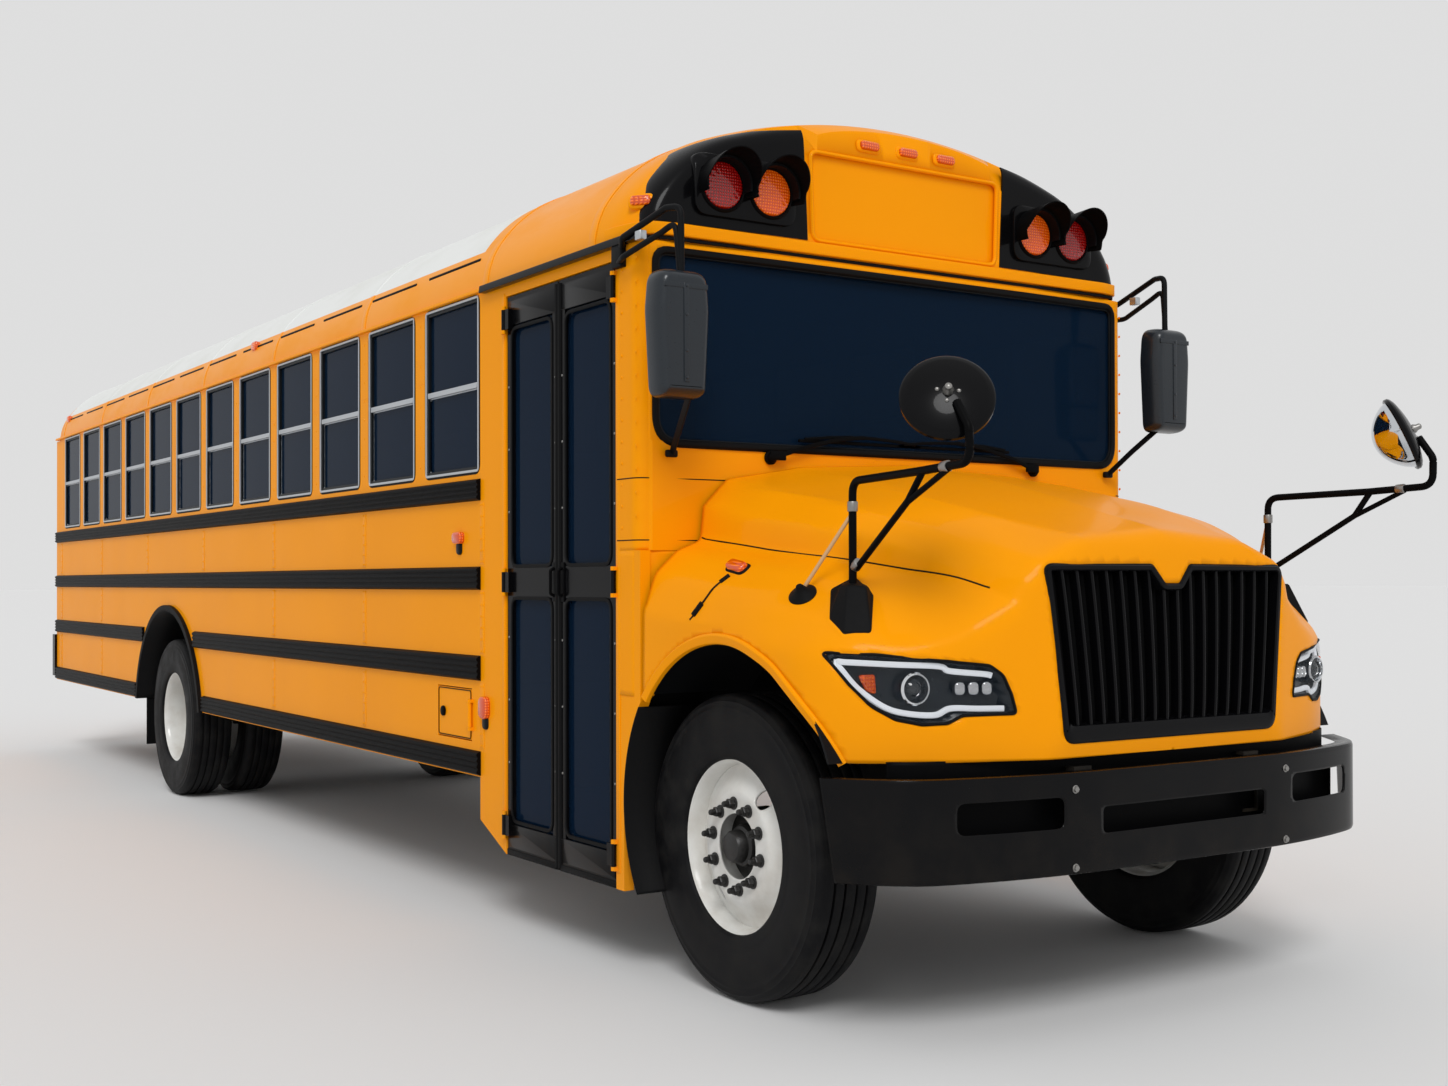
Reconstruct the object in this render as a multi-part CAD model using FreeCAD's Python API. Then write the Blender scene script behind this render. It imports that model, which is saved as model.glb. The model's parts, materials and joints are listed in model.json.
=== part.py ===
"""School bus with a forward engine: body, chassis, running gear, hood and doors.

Units are millimetres. The bus faces -Y, +X is the driver's side and +Z is up.
Everything is drawn with Y = 0 at the front axle and Z = 0 on the ground; `save`
then moves each piece so that the origin is below the middle of the whole bus.
"""
import FreeCAD, Part
import math
import os
from FreeCAD import Vector

# ---- driving dimensions -------------------------------------------------------------

WHEELBASE = 6450
BODY_HALF_WIDTH = 1200
WALL = 40                      # thickness of body walls and of the rear wall
ROOF_THICKNESS = 35
ROOF_TOP_Z = 3170
HEAD_Z = 2580                  # top of the side walls, foot of the roof and caps
SILL_Z = 1850                  # lower edge of the side windows
SKIRT_Z = 585                  # lower edge of the side skirts
FLOOR_TOP_Z = 980
FLOOR_THICKNESS = 40
COWL_FRONT_Y = 375             # front face of the cowl panel below the windshield
JAMB_FRONT_Y = 545             # front edge of the entrance opening
JAMB_REAR_Y = 1435             # rear edge of the entrance opening
REAR_FACE_Y = 10100            # outer face of the rear wall
RUN_GAP = 5                    # clearance around doors and other moving panels
SEAT_GAP = 0.3                 # clearance where a curved piece sits on another

TYRE_RADIUS = 510
TYRE_WIDTH = 254
RIM_SEAT_RADIUS = 286
RIM_FLANGE_RADIUS = 303
FRONT_WHEEL_X = 960            # middle plane of a front tyre
REAR_OUTER_X = 1070            # middle plane of an outer rear tyre
REAR_INNER_X = 735             # middle plane of an inner rear tyre
WHEEL_Z = TYRE_RADIUS

KINGPIN_X = 900
KINGPIN_RADIUS = 18
STEER_ARM = 150                # from the kingpin back to the tie rod's pin
TIE_ROD_Z = 430

RAIL_OUTER_X = 430             # chassis rails
RAIL_WIDTH = 75
RAIL_BOTTOM_Z = 620
RAIL_TOP_Z = 820
RAIL_WEB = 10

WINDOW_COUNT = 12
WINDOW_PITCH = 681
WINDOW_FIRST_Y = 1690
WINDOW_WIDTH = 550
SASH_BAR_Z = 2210

DOOR_SILL_Z = 300
DOOR_HEAD_Z = HEAD_Z - 44

BUMPER_FRONT_Y = -1000
BUMPER_BOTTOM_Z = 505
BUMPER_TOP_Z = 815
REAR_BUMPER_Y = 10170          # rear face of the rear bumper
REAR_BUMPER_Z = (615, 960)

HOOD_REAR_Y = 360
HOOD_BOTTOM_Z = 850
HOOD_SKIN = 22
HOOD_PIVOT = (-965, 840)       # (y, z) of the hood's tilt axis

FRONT_ARCH = (-110, 620, 600)  # (y, z, radius) of the opening over a front wheel
REAR_ARCH = (WHEELBASE + 77, 437, 775)     # the same over the rear wheels

CROSS_ARM_REACH_Y = -1156      # foremost bend of the cross-view mirror arms
CROSS_ARM_RADIUS = 14

FRONT_Y = CROSS_ARM_REACH_Y - CROSS_ARM_RADIUS
MIDDLE_Y = (FRONT_Y + REAR_BUMPER_Y) / 2

# ---- helpers ------------------------------------------------------------------------


def box(x, y, z):
    """Box between a (low, high) pair along each axis."""
    return Part.makeBox(x[1] - x[0], y[1] - y[0], z[1] - z[0], Vector(x[0], y[0], z[0]))


def rod(start, end, radius):
    """Cylinder between two points."""
    way = Vector(*end) - Vector(*start)
    return Part.makeCylinder(radius, way.Length, Vector(*start), way)


def plate(outline, axis, low, high):
    """Flat plate: an outline of points in the plane across `axis`, between low and high."""
    place = {"x": lambda a, b: Vector(low, a, b),
             "y": lambda a, b: Vector(a, low, b),
             "z": lambda a, b: Vector(a, b, low)}[axis]
    way = {"x": Vector(high - low, 0, 0),
           "y": Vector(0, high - low, 0),
           "z": Vector(0, 0, high - low)}[axis]
    points = [place(a, b) for a, b in outline]
    return Part.Face(Part.makePolygon(points + points[:1])).extrude(way)


def turned(profile, centre):
    """Solid of revolution about the X direction through `centre`.

    The profile's points are (x offset, radius)."""
    cx, cy, cz = centre
    points = [Vector(cx + dx, cy, cz + r) for dx, r in profile]
    face = Part.Face(Part.makePolygon(points + points[:1]))
    return face.revolve(Vector(cx, cy, cz), Vector(1, 0, 0), 360)


def mirrored(shape):
    """The same shape on the other side of the bus."""
    return shape.mirror(Vector(0, 0, 0), Vector(1, 0, 0))


def both_sides(shapes):
    """The shapes and their mirror images."""
    return shapes + [mirrored(shape) for shape in shapes]


def fused(shapes):
    """One shape made of shapes that touch or cross."""
    return shapes[0].multiFuse(shapes[1:]).removeSplitter() if len(shapes) > 1 else shapes[0]


def bent_path(points, bend):
    """Wire of straight runs joined by tangent arcs of radius `bend`."""
    points = [Vector(*p) for p in points]
    edges = []
    start = points[0]
    for before, corner, after in zip(points, points[1:], points[2:]):
        come = (corner - before).normalize()
        go = (after - corner).normalize()
        half_turn = come.getAngle(go) / 2
        cut = bend * math.tan(half_turn)
        arc_start = corner - come * cut
        arc_end = corner + go * cut
        inward = (go - come).normalize()
        middle = corner + inward * (bend / math.cos(half_turn) - bend)
        edges.append(Part.LineSegment(start, arc_start).toShape())
        edges.append(Part.Arc(arc_start, middle, arc_end).toShape())
        start = arc_end
    edges.append(Part.LineSegment(start, points[-1]).toShape())
    return Part.Wire(edges)


def bent_tube(points, radius, bend):
    """Round bar along a bent path."""
    path = bent_path(points, bend)
    way = Vector(*points[1]) - Vector(*points[0])
    circle = Part.Wire(Part.makeCircle(radius, Vector(*points[0]), way))
    return path.makePipeShell([circle], True, False)


HINGE_PIN = 5
HINGE_BARREL = 9
HINGE_EAR = 14


def hinge_barrel(centre, way, half):
    """Bored barrel that turns on a hinge's pin."""
    centre, way = Vector(*centre), Vector(*way)
    barrel = Part.makeCylinder(HINGE_BARREL, 2 * half, centre - way * half, way)
    return barrel.cut(Part.makeCylinder(HINGE_PIN + 0.05, 2 * half + 2, centre - way * (half + 1),
                                        way))


def hinge_pin(centre, way, half):
    """Fixed pin with the two ears that hold its ends, 1 mm clear of the barrel."""
    centre, way = Vector(*centre), Vector(*way)
    reach = half + 1 + HINGE_EAR
    pin = Part.makeCylinder(HINGE_PIN, 2 * reach, centre - way * reach, way)
    ears = [Part.makeCylinder(HINGE_BARREL, HINGE_EAR, centre + way * start, way)
            for start in (half + 1, -reach)]
    return fused([pin] + ears)


def save(name, shapes):
    """Write one node from a shape or a list of shapes."""
    shapes = shapes if isinstance(shapes, list) else [shapes]
    solids = [solid for shape in shapes for solid in shape.Solids]
    shape = Part.makeCompound(solids) if len(solids) > 1 else solids[0]
    shape = shape.copy()
    shape.translate(Vector(0, -MIDDLE_Y, 0))
    shape.exportStep(os.path.join("parts", name + ".step"))


# ---- roof section -------------------------------------------------------------------

SHOULDER_TURN = math.radians(35)   # turn of each of the two side arcs
SIDE_ARC = 330                     # radii of those arcs on the full section
UPPER_ARC = 650


def roof_wire(half_width, foot_z, spring_z, crown_z, y):
    """Closed section across the roof: flat foot, upright sides, five tangent arcs.

    The two lower arcs keep the proportion SIDE_ARC to UPPER_ARC; the crown's arc
    takes up the rest of the width, and all are scaled so that they reach crown_z."""
    a, b = SHOULDER_TURN, 2 * SHOULDER_TURN
    rise_side = SIDE_ARC * math.sin(a) + UPPER_ARC * (math.sin(b) - math.sin(a))
    run_side = SIDE_ARC * (1 - math.cos(a)) + UPPER_ARC * (math.cos(a) - math.cos(b))
    crown_share = (1 - math.sin(b)) / math.cos(b)
    scale = (crown_z - spring_z - crown_share * half_width) / (rise_side - crown_share * run_side)
    side, upper = SIDE_ARC * scale, UPPER_ARC * scale
    crown = (half_width - run_side * scale) / math.cos(b)

    def on_arc(centre, radius, angle):
        return (centre[0] + radius * math.cos(angle), centre[1] + radius * math.sin(angle))

    side_centre = (half_width - side, spring_z)
    upper_centre = (side_centre[0] + (side - upper) * math.cos(a),
                    side_centre[1] + (side - upper) * math.sin(a))
    p0 = (half_width, foot_z)
    p1 = (half_width, spring_z)
    p2 = on_arc(side_centre, side, a)
    p3 = on_arc(upper_centre, upper, b)
    m1 = on_arc(side_centre, side, a / 2)
    m2 = on_arc(upper_centre, upper, (a + b) / 2)

    def point(p, sign=1):
        return Vector(sign * p[0], y, p[1])

    edges = [Part.LineSegment(point(p0, -1), point(p0)),
             Part.LineSegment(point(p0), point(p1)),
             Part.Arc(point(p1), point(m1), point(p2)),
             Part.Arc(point(p2), point(m2), point(p3)),
             Part.Arc(point(p3), Vector(0, y, p3[1] + crown * (1 - math.sin(b))), point(p3, -1)),
             Part.Arc(point(p3, -1), point(m2, -1), point(p2, -1)),
             Part.Arc(point(p2, -1), point(m1, -1), point(p1, -1)),
             Part.LineSegment(point(p1, -1), point(p0, -1))]
    return Part.Wire([edge.toShape() for edge in edges])


ROOF_SPRING_Z = HEAD_Z + 16


def roof_solid(sections):
    """Ruled loft through sections given as (y, half width, foot z, crown z)."""
    wires = [roof_wire(half, foot, max(ROOF_SPRING_Z, foot + 10), crown, y)
             for y, half, foot, crown in sections]
    return Part.makeLoft(wires, True, True)


# ---- body shell ---------------------------------------------------------------------

ROOF_FRONT_Y = 700
ROOF_REAR_Y = REAR_FACE_Y - 300
HATCH_HALF = 300                # half the side of a square roof hatch opening
HATCH_FRONT_Y = (3050, 8150)    # front edges of the two openings
HATCH_RIM = 25                  # height of the rim around an opening, above the crown
HATCH_HINGE_BACK = 58           # from an opening's front edge forward to its hinge axis
HATCH_HINGE_Z = ROOF_TOP_Z + 14
HATCH_HINGE_HALF = 80


def roof():
    """Long middle stretch of the roof, with two hatch openings and their rims."""
    outer = roof_solid([(ROOF_FRONT_Y, BODY_HALF_WIDTH, HEAD_Z, ROOF_TOP_Z),
                        (ROOF_REAR_Y, BODY_HALF_WIDTH, HEAD_Z, ROOF_TOP_Z)])
    t = ROOF_THICKNESS
    inner = roof_solid([(ROOF_FRONT_Y - 1, BODY_HALF_WIDTH - t, HEAD_Z - 1, ROOF_TOP_Z - t),
                        (ROOF_REAR_Y + 1, BODY_HALF_WIDTH - t, HEAD_Z - 1, ROOF_TOP_Z - t)])
    shell = outer.cut(inner)
    for y in HATCH_FRONT_Y:
        rim = box((-HATCH_HALF - 20, HATCH_HALF + 20), (y - 20, y + 2 * HATCH_HALF + 20),
                  (ROOF_TOP_Z - t - 20, ROOF_TOP_Z + HATCH_RIM - RUN_GAP)).cut(inner)
        shell = shell.fuse(rim)
    for y in HATCH_FRONT_Y:
        shell = shell.cut(box((-HATCH_HALF, HATCH_HALF), (y, y + 2 * HATCH_HALF),
                              (ROOF_TOP_Z - 200, ROOF_TOP_Z + 100)))
        hinge_y = y - HATCH_HINGE_BACK
        pieces = [hinge_pin((0, hinge_y, HATCH_HINGE_Z), (1, 0, 0), HATCH_HINGE_HALF)]
        for low in (HATCH_HINGE_HALF + 1, -HATCH_HINGE_HALF - 1 - HINGE_EAR):
            pieces.append(box((low, low + HINGE_EAR), (hinge_y - 6, hinge_y + 6),
                              (ROOF_TOP_Z - 12, HATCH_HINGE_Z)))
        shell = fused([shell] + pieces)
    return shell


# (y, half width, crown z) of the front and rear caps, from the end face to the roof
FRONT_CAP = [(372, BODY_HALF_WIDTH - 100, ROOF_TOP_Z - 110),
             (405, BODY_HALF_WIDTH - 48, ROOF_TOP_Z - 65),
             (470, BODY_HALF_WIDTH - 20, ROOF_TOP_Z - 42),
             (ROOF_FRONT_Y, BODY_HALF_WIDTH, ROOF_TOP_Z)]
REAR_CAP = [(REAR_FACE_Y, BODY_HALF_WIDTH - 50, ROOF_TOP_Z - 180),
            (REAR_FACE_Y - 50, BODY_HALF_WIDTH - 20, ROOF_TOP_Z - 85),
            (REAR_FACE_Y - 140, BODY_HALF_WIDTH - 5, ROOF_TOP_Z - 25),
            (ROOF_REAR_Y, BODY_HALF_WIDTH, ROOF_TOP_Z)]
VISOR_Z = (HEAD_Z + 27, HEAD_Z + 72)          # raised band across the foot of the front cap
RECESS_DEPTH = 12
RECESS_Z = (VISOR_Z[1] + 13, ROOF_TOP_Z - 160, ROOF_TOP_Z - 130)     # foot, corner, top
RECESS = [(-445, RECESS_Z[0]), (445, RECESS_Z[0]), (490, RECESS_Z[1]), (460, RECESS_Z[2]),
          (-460, RECESS_Z[2]), (-490, RECESS_Z[1])]


def cap(sections, way):
    """Hollow end cap of the roof; `way` is +1 where the cap's face looks to -Y."""
    t = ROOF_THICKNESS
    outer = roof_solid([(y, half, HEAD_Z, crown) for y, half, crown in sections])
    inner = [(y + way * t, half - t, HEAD_Z - 1, crown - t) for y, half, crown in sections[:-1]]
    y, half, crown = sections[-1]
    inner.append((y + way, half - t, HEAD_Z - 1, crown - t))
    return outer.cut(roof_solid(inner))


def front_cap():
    """Front cap with its visor band and the recessed sign panel."""
    shell = cap(FRONT_CAP, 1)
    y, half = FRONT_CAP[0][0], FRONT_CAP[0][1]
    visor = plate([(-half - 40, y + 60), (-half, y - 10), (half, y - 10), (half + 40, y + 60),
                   (half, y + 20), (-half, y + 20)], "z", *VISOR_Z)
    recess = plate(RECESS, "y", y - 1, y + RECESS_DEPTH)
    return shell.fuse(visor).cut(recess).removeSplitter()


def rear_cap():
    """Rear cap above the rear wall."""
    return cap(REAR_CAP, -1)


def window_openings():
    """(low y, high y) of each passenger window, front to rear."""
    return [(WINDOW_FIRST_Y + i * WINDOW_PITCH, WINDOW_FIRST_Y + i * WINDOW_PITCH + WINDOW_WIDTH)
            for i in range(WINDOW_COUNT)]


DRIVER_WINDOW = (620, 1480)     # (low y, high y)
DRIVER_WINDOW_Z = (SILL_Z - 70, HEAD_Z - 80)
WALL_X = (BODY_HALF_WIDTH - WALL, BODY_HALF_WIDTH)
BATTERY_DOOR_Y = (1762, 2112)
BATTERY_DOOR_Z = (726, 946)
BATTERY_HINGE = (-BODY_HALF_WIDTH - 11, BATTERY_DOOR_Y[0])     # (x, y)
BATTERY_HINGE_HALF = 50


def cut_windows(wall):
    for y in window_openings():
        wall = wall.cut(box((WALL_X[0] - 1, WALL_X[1] + 1), y, (SILL_Z, HEAD_Z + 1)))
    return wall


def rear_arch_cut():
    y, z, radius = REAR_ARCH
    return rod((WALL_X[0] - 1, y, z), (WALL_X[1] + 1, y, z), radius)


def side_wall_left():
    """Driver's side: skirt, window posts and the driver's window."""
    rear = REAR_FACE_Y - WALL
    outline = [(JAMB_FRONT_Y, SKIRT_Z), (rear, SKIRT_Z), (rear, HEAD_Z), (JAMB_FRONT_Y, HEAD_Z)]
    wall = plate(outline, "x", *WALL_X).cut(rear_arch_cut())
    wall = wall.cut(box((WALL_X[0] - 1, WALL_X[1] + 1), DRIVER_WINDOW, DRIVER_WINDOW_Z))
    return cut_windows(wall)


def side_wall_right():
    """Kerb side: entrance opening, skirt, window posts and the battery opening."""
    rear = REAR_FACE_Y - WALL
    outline = [(JAMB_REAR_Y, DOOR_SILL_Z), (1680, 410), (1680, SKIRT_Z), (rear, SKIRT_Z),
               (rear, HEAD_Z), (JAMB_FRONT_Y, HEAD_Z), (JAMB_FRONT_Y, DOOR_HEAD_Z),
               (JAMB_REAR_Y, DOOR_HEAD_Z)]
    wall = plate(outline, "x", *WALL_X).cut(rear_arch_cut())
    wall = wall.cut(box((WALL_X[0] - 1, WALL_X[1] + 1), BATTERY_DOOR_Y, BATTERY_DOOR_Z))
    wall = mirrored(cut_windows(wall))
    pins = entry_pins(JAMB_REAR_Y, -1)
    hinge_x, hinge_y = BATTERY_HINGE
    centre = (hinge_x, hinge_y, sum(BATTERY_DOOR_Z) / 2)
    pins.append(hinge_pin(centre, (0, 0, 1), BATTERY_HINGE_HALF))
    for low in (centre[2] + BATTERY_HINGE_HALF + 1, centre[2] - BATTERY_HINGE_HALF - 1 - HINGE_EAR):
        pins.append(box((hinge_x - 4, -BODY_HALF_WIDTH + 1), (hinge_y - 14, hinge_y),
                        (low, low + HINGE_EAR)))
    return fused([wall] + pins)


WINDSHIELD_Z = (1885, HEAD_Z - 31)
PILLAR_X = BODY_HALF_WIDTH - 70                 # inner edge of the windshield pillars


def cowl():
    """Lower front of the body: firewall, corner panels, windshield pillars and header."""
    arch_y, arch_z, arch_r = FRONT_ARCH
    x_in, x_out = WALL_X
    corner = plate([(HOOD_REAR_Y + 15, HEAD_Z), (HOOD_REAR_Y + 15, 900), (arch_y + arch_r, 620),
                    (arch_y + arch_r, DOOR_SILL_Z), (JAMB_FRONT_Y, DOOR_SILL_Z),
                    (JAMB_FRONT_Y, HEAD_Z)], "x", x_in, x_out)
    corner = corner.cut(rod((x_in - 1, arch_y, arch_z), (x_out + 1, arch_y, arch_z), arch_r))
    corners = both_sides([corner])
    firewall = box((-x_in, x_in), (440, 460), (FLOOR_TOP_Z - FLOOR_THICKNESS, WINDSHIELD_Z[0]))
    upper = box((-x_in, x_in), (COWL_FRONT_Y, COWL_FRONT_Y + 35), (1500, WINDSHIELD_Z[0]))
    ledge = box((-x_in, x_in), (COWL_FRONT_Y, 460), (1500, 1520))
    pillar = box((PILLAR_X, x_in), (COWL_FRONT_Y + 5, 460), (WINDSHIELD_Z[0], HEAD_Z))
    header = box((-x_in, x_in), (COWL_FRONT_Y + 5, 440), (WINDSHIELD_Z[1], HEAD_Z))
    shape = fused(corners + [firewall, upper, ledge, header] + both_sides([pillar]))
    pins = entry_pins(JAMB_FRONT_Y, 1)
    edge = [(x_out - 60, COWL_FRONT_Y - 10), (x_out + 10, COWL_FRONT_Y - 10),
            (x_out + 10, COWL_FRONT_Y + 60)]
    trim = both_sides([plate(edge, "z", 1500, HEAD_Z + 1)])
    return fused([shape.cut(trim[0]).cut(trim[1])] + pins)


REAR_DOOR_HALF = 460
REAR_DOOR_Z = (FLOOR_TOP_Z + 5, HEAD_Z - 75)
REAR_PANE_X = (REAR_DOOR_HALF + 100, BODY_HALF_WIDTH - 140)
REAR_PANE_Z = (SILL_Z, HEAD_Z - 160)


def rear_wall():
    """Rear wall with the emergency door's opening and two fixed panes."""
    y = (REAR_FACE_Y - WALL, REAR_FACE_Y)
    wall = box((-BODY_HALF_WIDTH, BODY_HALF_WIDTH), y, (SKIRT_Z, HEAD_Z))
    y_cut = (y[0] - 1, y[1] + 1)
    wall = wall.cut(box((-REAR_DOOR_HALF, REAR_DOOR_HALF), y_cut, REAR_DOOR_Z))
    for pane in both_sides([box(REAR_PANE_X, y_cut, REAR_PANE_Z)]):
        wall = wall.cut(pane)
    uprights = [edge for edge in wall.Edges
                if abs(abs(edge.CenterOfMass.x) - BODY_HALF_WIDTH) < 1
                and abs(edge.CenterOfMass.y - REAR_FACE_Y) < 1]
    wall = wall.makeFillet(WALL - 2, uprights)
    pins = []
    hinge_x, hinge_y = REAR_HINGE
    for z in REAR_HINGE_Z:
        pins.append(hinge_pin((hinge_x, hinge_y, z), (0, 0, 1), REAR_HINGE_HALF))
        for low in (z + REAR_HINGE_HALF + 1, z - REAR_HINGE_HALF - 1 - HINGE_EAR):
            pins.append(box((hinge_x - 14, hinge_x), (REAR_FACE_Y - 1, hinge_y + 4),
                            (low, low + HINGE_EAR)))
    return fused([wall] + pins)


# ---- floor, steps and wheelhouses ----------------------------------------------------

STEPWELL_Y = (JAMB_FRONT_Y + 17, JAMB_REAR_Y - 10)
STEPWELL_IN_X = BODY_HALF_WIDTH - 640
STEP_PLATE = 10
STEP_COUNT = 3
WHEELHOUSE_Y = (WHEELBASE - 660, WHEELBASE + 815)
WHEELHOUSE_TOP_Z = 1235
WHEELHOUSE_IN_X = REAR_INNER_X - 175
CROSS_SILL_WIDTH = 60


def floor():
    """Floor with its cross sills, the entrance steps and the rear wheelhouses."""
    x = WALL_X[0]
    bottom = FLOOR_TOP_Z - FLOOR_THICKNESS
    slab = box((-x, x), (460, REAR_FACE_Y - WALL), (bottom, FLOOR_TOP_Z))
    pieces = [slab]
    for i in range(WINDOW_COUNT + 1):
        y = WINDOW_FIRST_Y + i * WINDOW_PITCH
        pieces.append(box((-x, x), (y, y + CROSS_SILL_WIDTH), (RAIL_TOP_Z, bottom)))
    shape = fused(pieces)
    well = box((-x - 1, -STEPWELL_IN_X), STEPWELL_Y, (0, FLOOR_TOP_Z + 1))
    shape = shape.cut(well)
    houses = both_sides([box((WHEELHOUSE_IN_X, x + 1), WHEELHOUSE_Y, (0, FLOOR_TOP_Z + 1))])
    for house in houses:
        shape = shape.cut(house)
    return [fused([shape] + both_sides([wheelhouse()])), stepwell()]


def stepwell():
    """Three treads and risers between two side plates."""
    x_out, x_in = -WALL_X[0] + 6, -STEPWELL_IN_X - STEP_PLATE - SEAT_GAP
    y = (STEPWELL_Y[0] + SEAT_GAP, STEPWELL_Y[1] - SEAT_GAP)
    low = DOOR_SILL_Z + 30
    rise = (FLOOR_TOP_Z - low) / STEP_COUNT
    depth = (x_in - x_out - 80) / STEP_COUNT
    outline_top = []
    outline_low = []
    x = x_out
    for i in range(STEP_COUNT):
        z = low + i * rise
        reach = x + depth + (80 if i == 0 else 0)
        outline_top += [(x, z), (reach, z)]
        outline_low += [(x + (0 if i == 0 else STEP_PLATE), z - STEP_PLATE),
                        (reach + STEP_PLATE, z - STEP_PLATE)]
        x = reach
    outline_top.append((x, FLOOR_TOP_Z))
    outline_low.append((x + STEP_PLATE, FLOOR_TOP_Z))
    treads = plate(outline_top + outline_low[::-1], "y", *y)
    side = [(x_out, low - STEP_PLATE)] + outline_low[1:]
    side += [(x_in, FLOOR_TOP_Z), (x_out, FLOOR_TOP_Z)]
    front = plate(side, "y", y[0], y[0] + STEP_PLATE)
    rear = plate(side, "y", y[1] - STEP_PLATE, y[1])
    return fused([treads, front, rear])


def wheelhouse():
    """Box over the rear wheels on the driver's side, open below and outward."""
    x = (WHEELHOUSE_IN_X, WALL_X[0])
    outer = box(x, WHEELHOUSE_Y, (FLOOR_TOP_Z - FLOOR_THICKNESS, WHEELHOUSE_TOP_Z))
    t = 12
    inner = box((x[0] + t, x[1] + 1), (WHEELHOUSE_Y[0] + t, WHEELHOUSE_Y[1] - t),
                (FLOOR_TOP_Z - FLOOR_THICKNESS - 1, WHEELHOUSE_TOP_Z - t))
    return outer.cut(inner)


# ---- windows, rails, trims -----------------------------------------------------------

FRAME_BAR = 22
GLASS = 6
GLASS_X = BODY_HALF_WIDTH - 22                 # inner face of the side panes


def window_frames():
    """Aluminium frame and sash bar in every passenger window, and the driver's window."""
    frames = []
    x = (GLASS_X - 10, BODY_HALF_WIDTH - 4)
    for low, high in window_openings():
        frame = box(x, (low, high), (SILL_Z, HEAD_Z))
        for z in ((SILL_Z + FRAME_BAR, SASH_BAR_Z - FRAME_BAR / 2),
                  (SASH_BAR_Z + FRAME_BAR / 2, HEAD_Z - FRAME_BAR)):
            frame = frame.cut(box((x[0] - 1, x[1] + 1), (low + FRAME_BAR, high - FRAME_BAR), z))
        frames.append(frame)
    frames = both_sides(frames)
    low, high = DRIVER_WINDOW
    frame = box(x, DRIVER_WINDOW, DRIVER_WINDOW_Z)
    middle = (low + high) / 2
    for y in ((low + FRAME_BAR, middle - FRAME_BAR / 2), (middle + FRAME_BAR / 2, high - FRAME_BAR)):
        frame = frame.cut(box((x[0] - 1, x[1] + 1), y,
                              (DRIVER_WINDOW_Z[0] + FRAME_BAR, DRIVER_WINDOW_Z[1] - FRAME_BAR)))
    return frames + [frame]


def body_glass():
    """Windshield, side panes, driver's panes and rear panes."""
    x = (GLASS_X, GLASS_X + GLASS)
    panes = []
    for low, high in window_openings():
        y = (low + FRAME_BAR, high - FRAME_BAR)
        panes.append(box(x, y, (SILL_Z + FRAME_BAR, SASH_BAR_Z - FRAME_BAR / 2)))
        panes.append(box(x, y, (SASH_BAR_Z + FRAME_BAR / 2, HEAD_Z - FRAME_BAR)))
    panes = both_sides(panes)
    low, high = DRIVER_WINDOW
    middle = (low + high) / 2
    z = (DRIVER_WINDOW_Z[0] + FRAME_BAR, DRIVER_WINDOW_Z[1] - FRAME_BAR)
    panes.append(box(x, (low + FRAME_BAR, middle - FRAME_BAR / 2), z))
    panes.append(box(x, (middle + FRAME_BAR / 2, high - FRAME_BAR), z))
    y = (COWL_FRONT_Y + 15, COWL_FRONT_Y + 15 + GLASS)
    panes.append(box((-PILLAR_X, PILLAR_X), y, WINDSHIELD_Z))
    y = (REAR_FACE_Y - 20, REAR_FACE_Y - 20 + GLASS)
    panes += both_sides([box(REAR_PANE_X, y, REAR_PANE_Z)])
    return panes


RUB_RAIL_DEPTH = 20
RUB_RAIL_Y = (JAMB_REAR_Y + 240, REAR_FACE_Y - 60)
# low z, high z, whether the rear wheel arch breaks the rail
RUB_RAILS = [(1728, 1819, False), (1358, 1455, False), (982, 1086, True), (590, 691, True)]


def rub_rails():
    """Four pressed rails along each side; the arch breaks the two lower ones."""
    arch_y, arch_z, arch_r = REAR_ARCH
    rails = []
    for low, high, broken in RUB_RAILS:
        x = (BODY_HALF_WIDTH, BODY_HALF_WIDTH + RUB_RAIL_DEPTH)
        rail = box(x, RUB_RAIL_Y, (low, high))
        outer_edges = [edge for edge in rail.Edges
                       if edge.BoundBox.YLength > 1000 and edge.CenterOfMass.x > x[1] - 1]
        rail = rail.makeChamfer(RUB_RAIL_DEPTH * 0.6, outer_edges)
        if broken:
            rail = rail.cut(rod((x[0] - 1, arch_y, arch_z), (x[1] + 1, arch_y, arch_z),
                                arch_r + ARCH_LIP))
        rails.append(rail)
    return both_sides(rails)


ARCH_LIP = 32
FLAP_Y = WHEELBASE + 840
FLAP_X = (REAR_INNER_X - 115, BODY_HALF_WIDTH - 50)
FLAP_Z = 260


def rubber_trims():
    """Rubber lips round the rear arches and mud flaps behind the rear wheels."""
    arch_y, arch_z, arch_r = REAR_ARCH
    x = (BODY_HALF_WIDTH - 10, BODY_HALF_WIDTH + 24)
    outer = rod((BODY_HALF_WIDTH, arch_y, arch_z), (x[1], arch_y, arch_z), arch_r + ARCH_LIP)
    lip = outer.cut(rod((x[0] - 50, arch_y, arch_z), (x[1] + 1, arch_y, arch_z), arch_r))
    lip = lip.cut(box((x[0] - 60, x[1] + 60), (arch_y - 2000, arch_y + 2000), (-900, SKIRT_Z)))
    flap = box(FLAP_X, (FLAP_Y, FLAP_Y + 10), (FLAP_Z, FLOOR_TOP_Z - FLOOR_THICKNESS))
    return both_sides([lip, flap])


# ---- bumpers ------------------------------------------------------------------------

BUMPER_PLATE = 10
BUMPER_FLANGE = 70
# (x, y behind the bumper's front face) along the front bumper, from the centre outward
BUMPER_PLAN = [(0, 0), (500, 0), (874, 70), (1050, 150), (1208, 330)]


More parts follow.
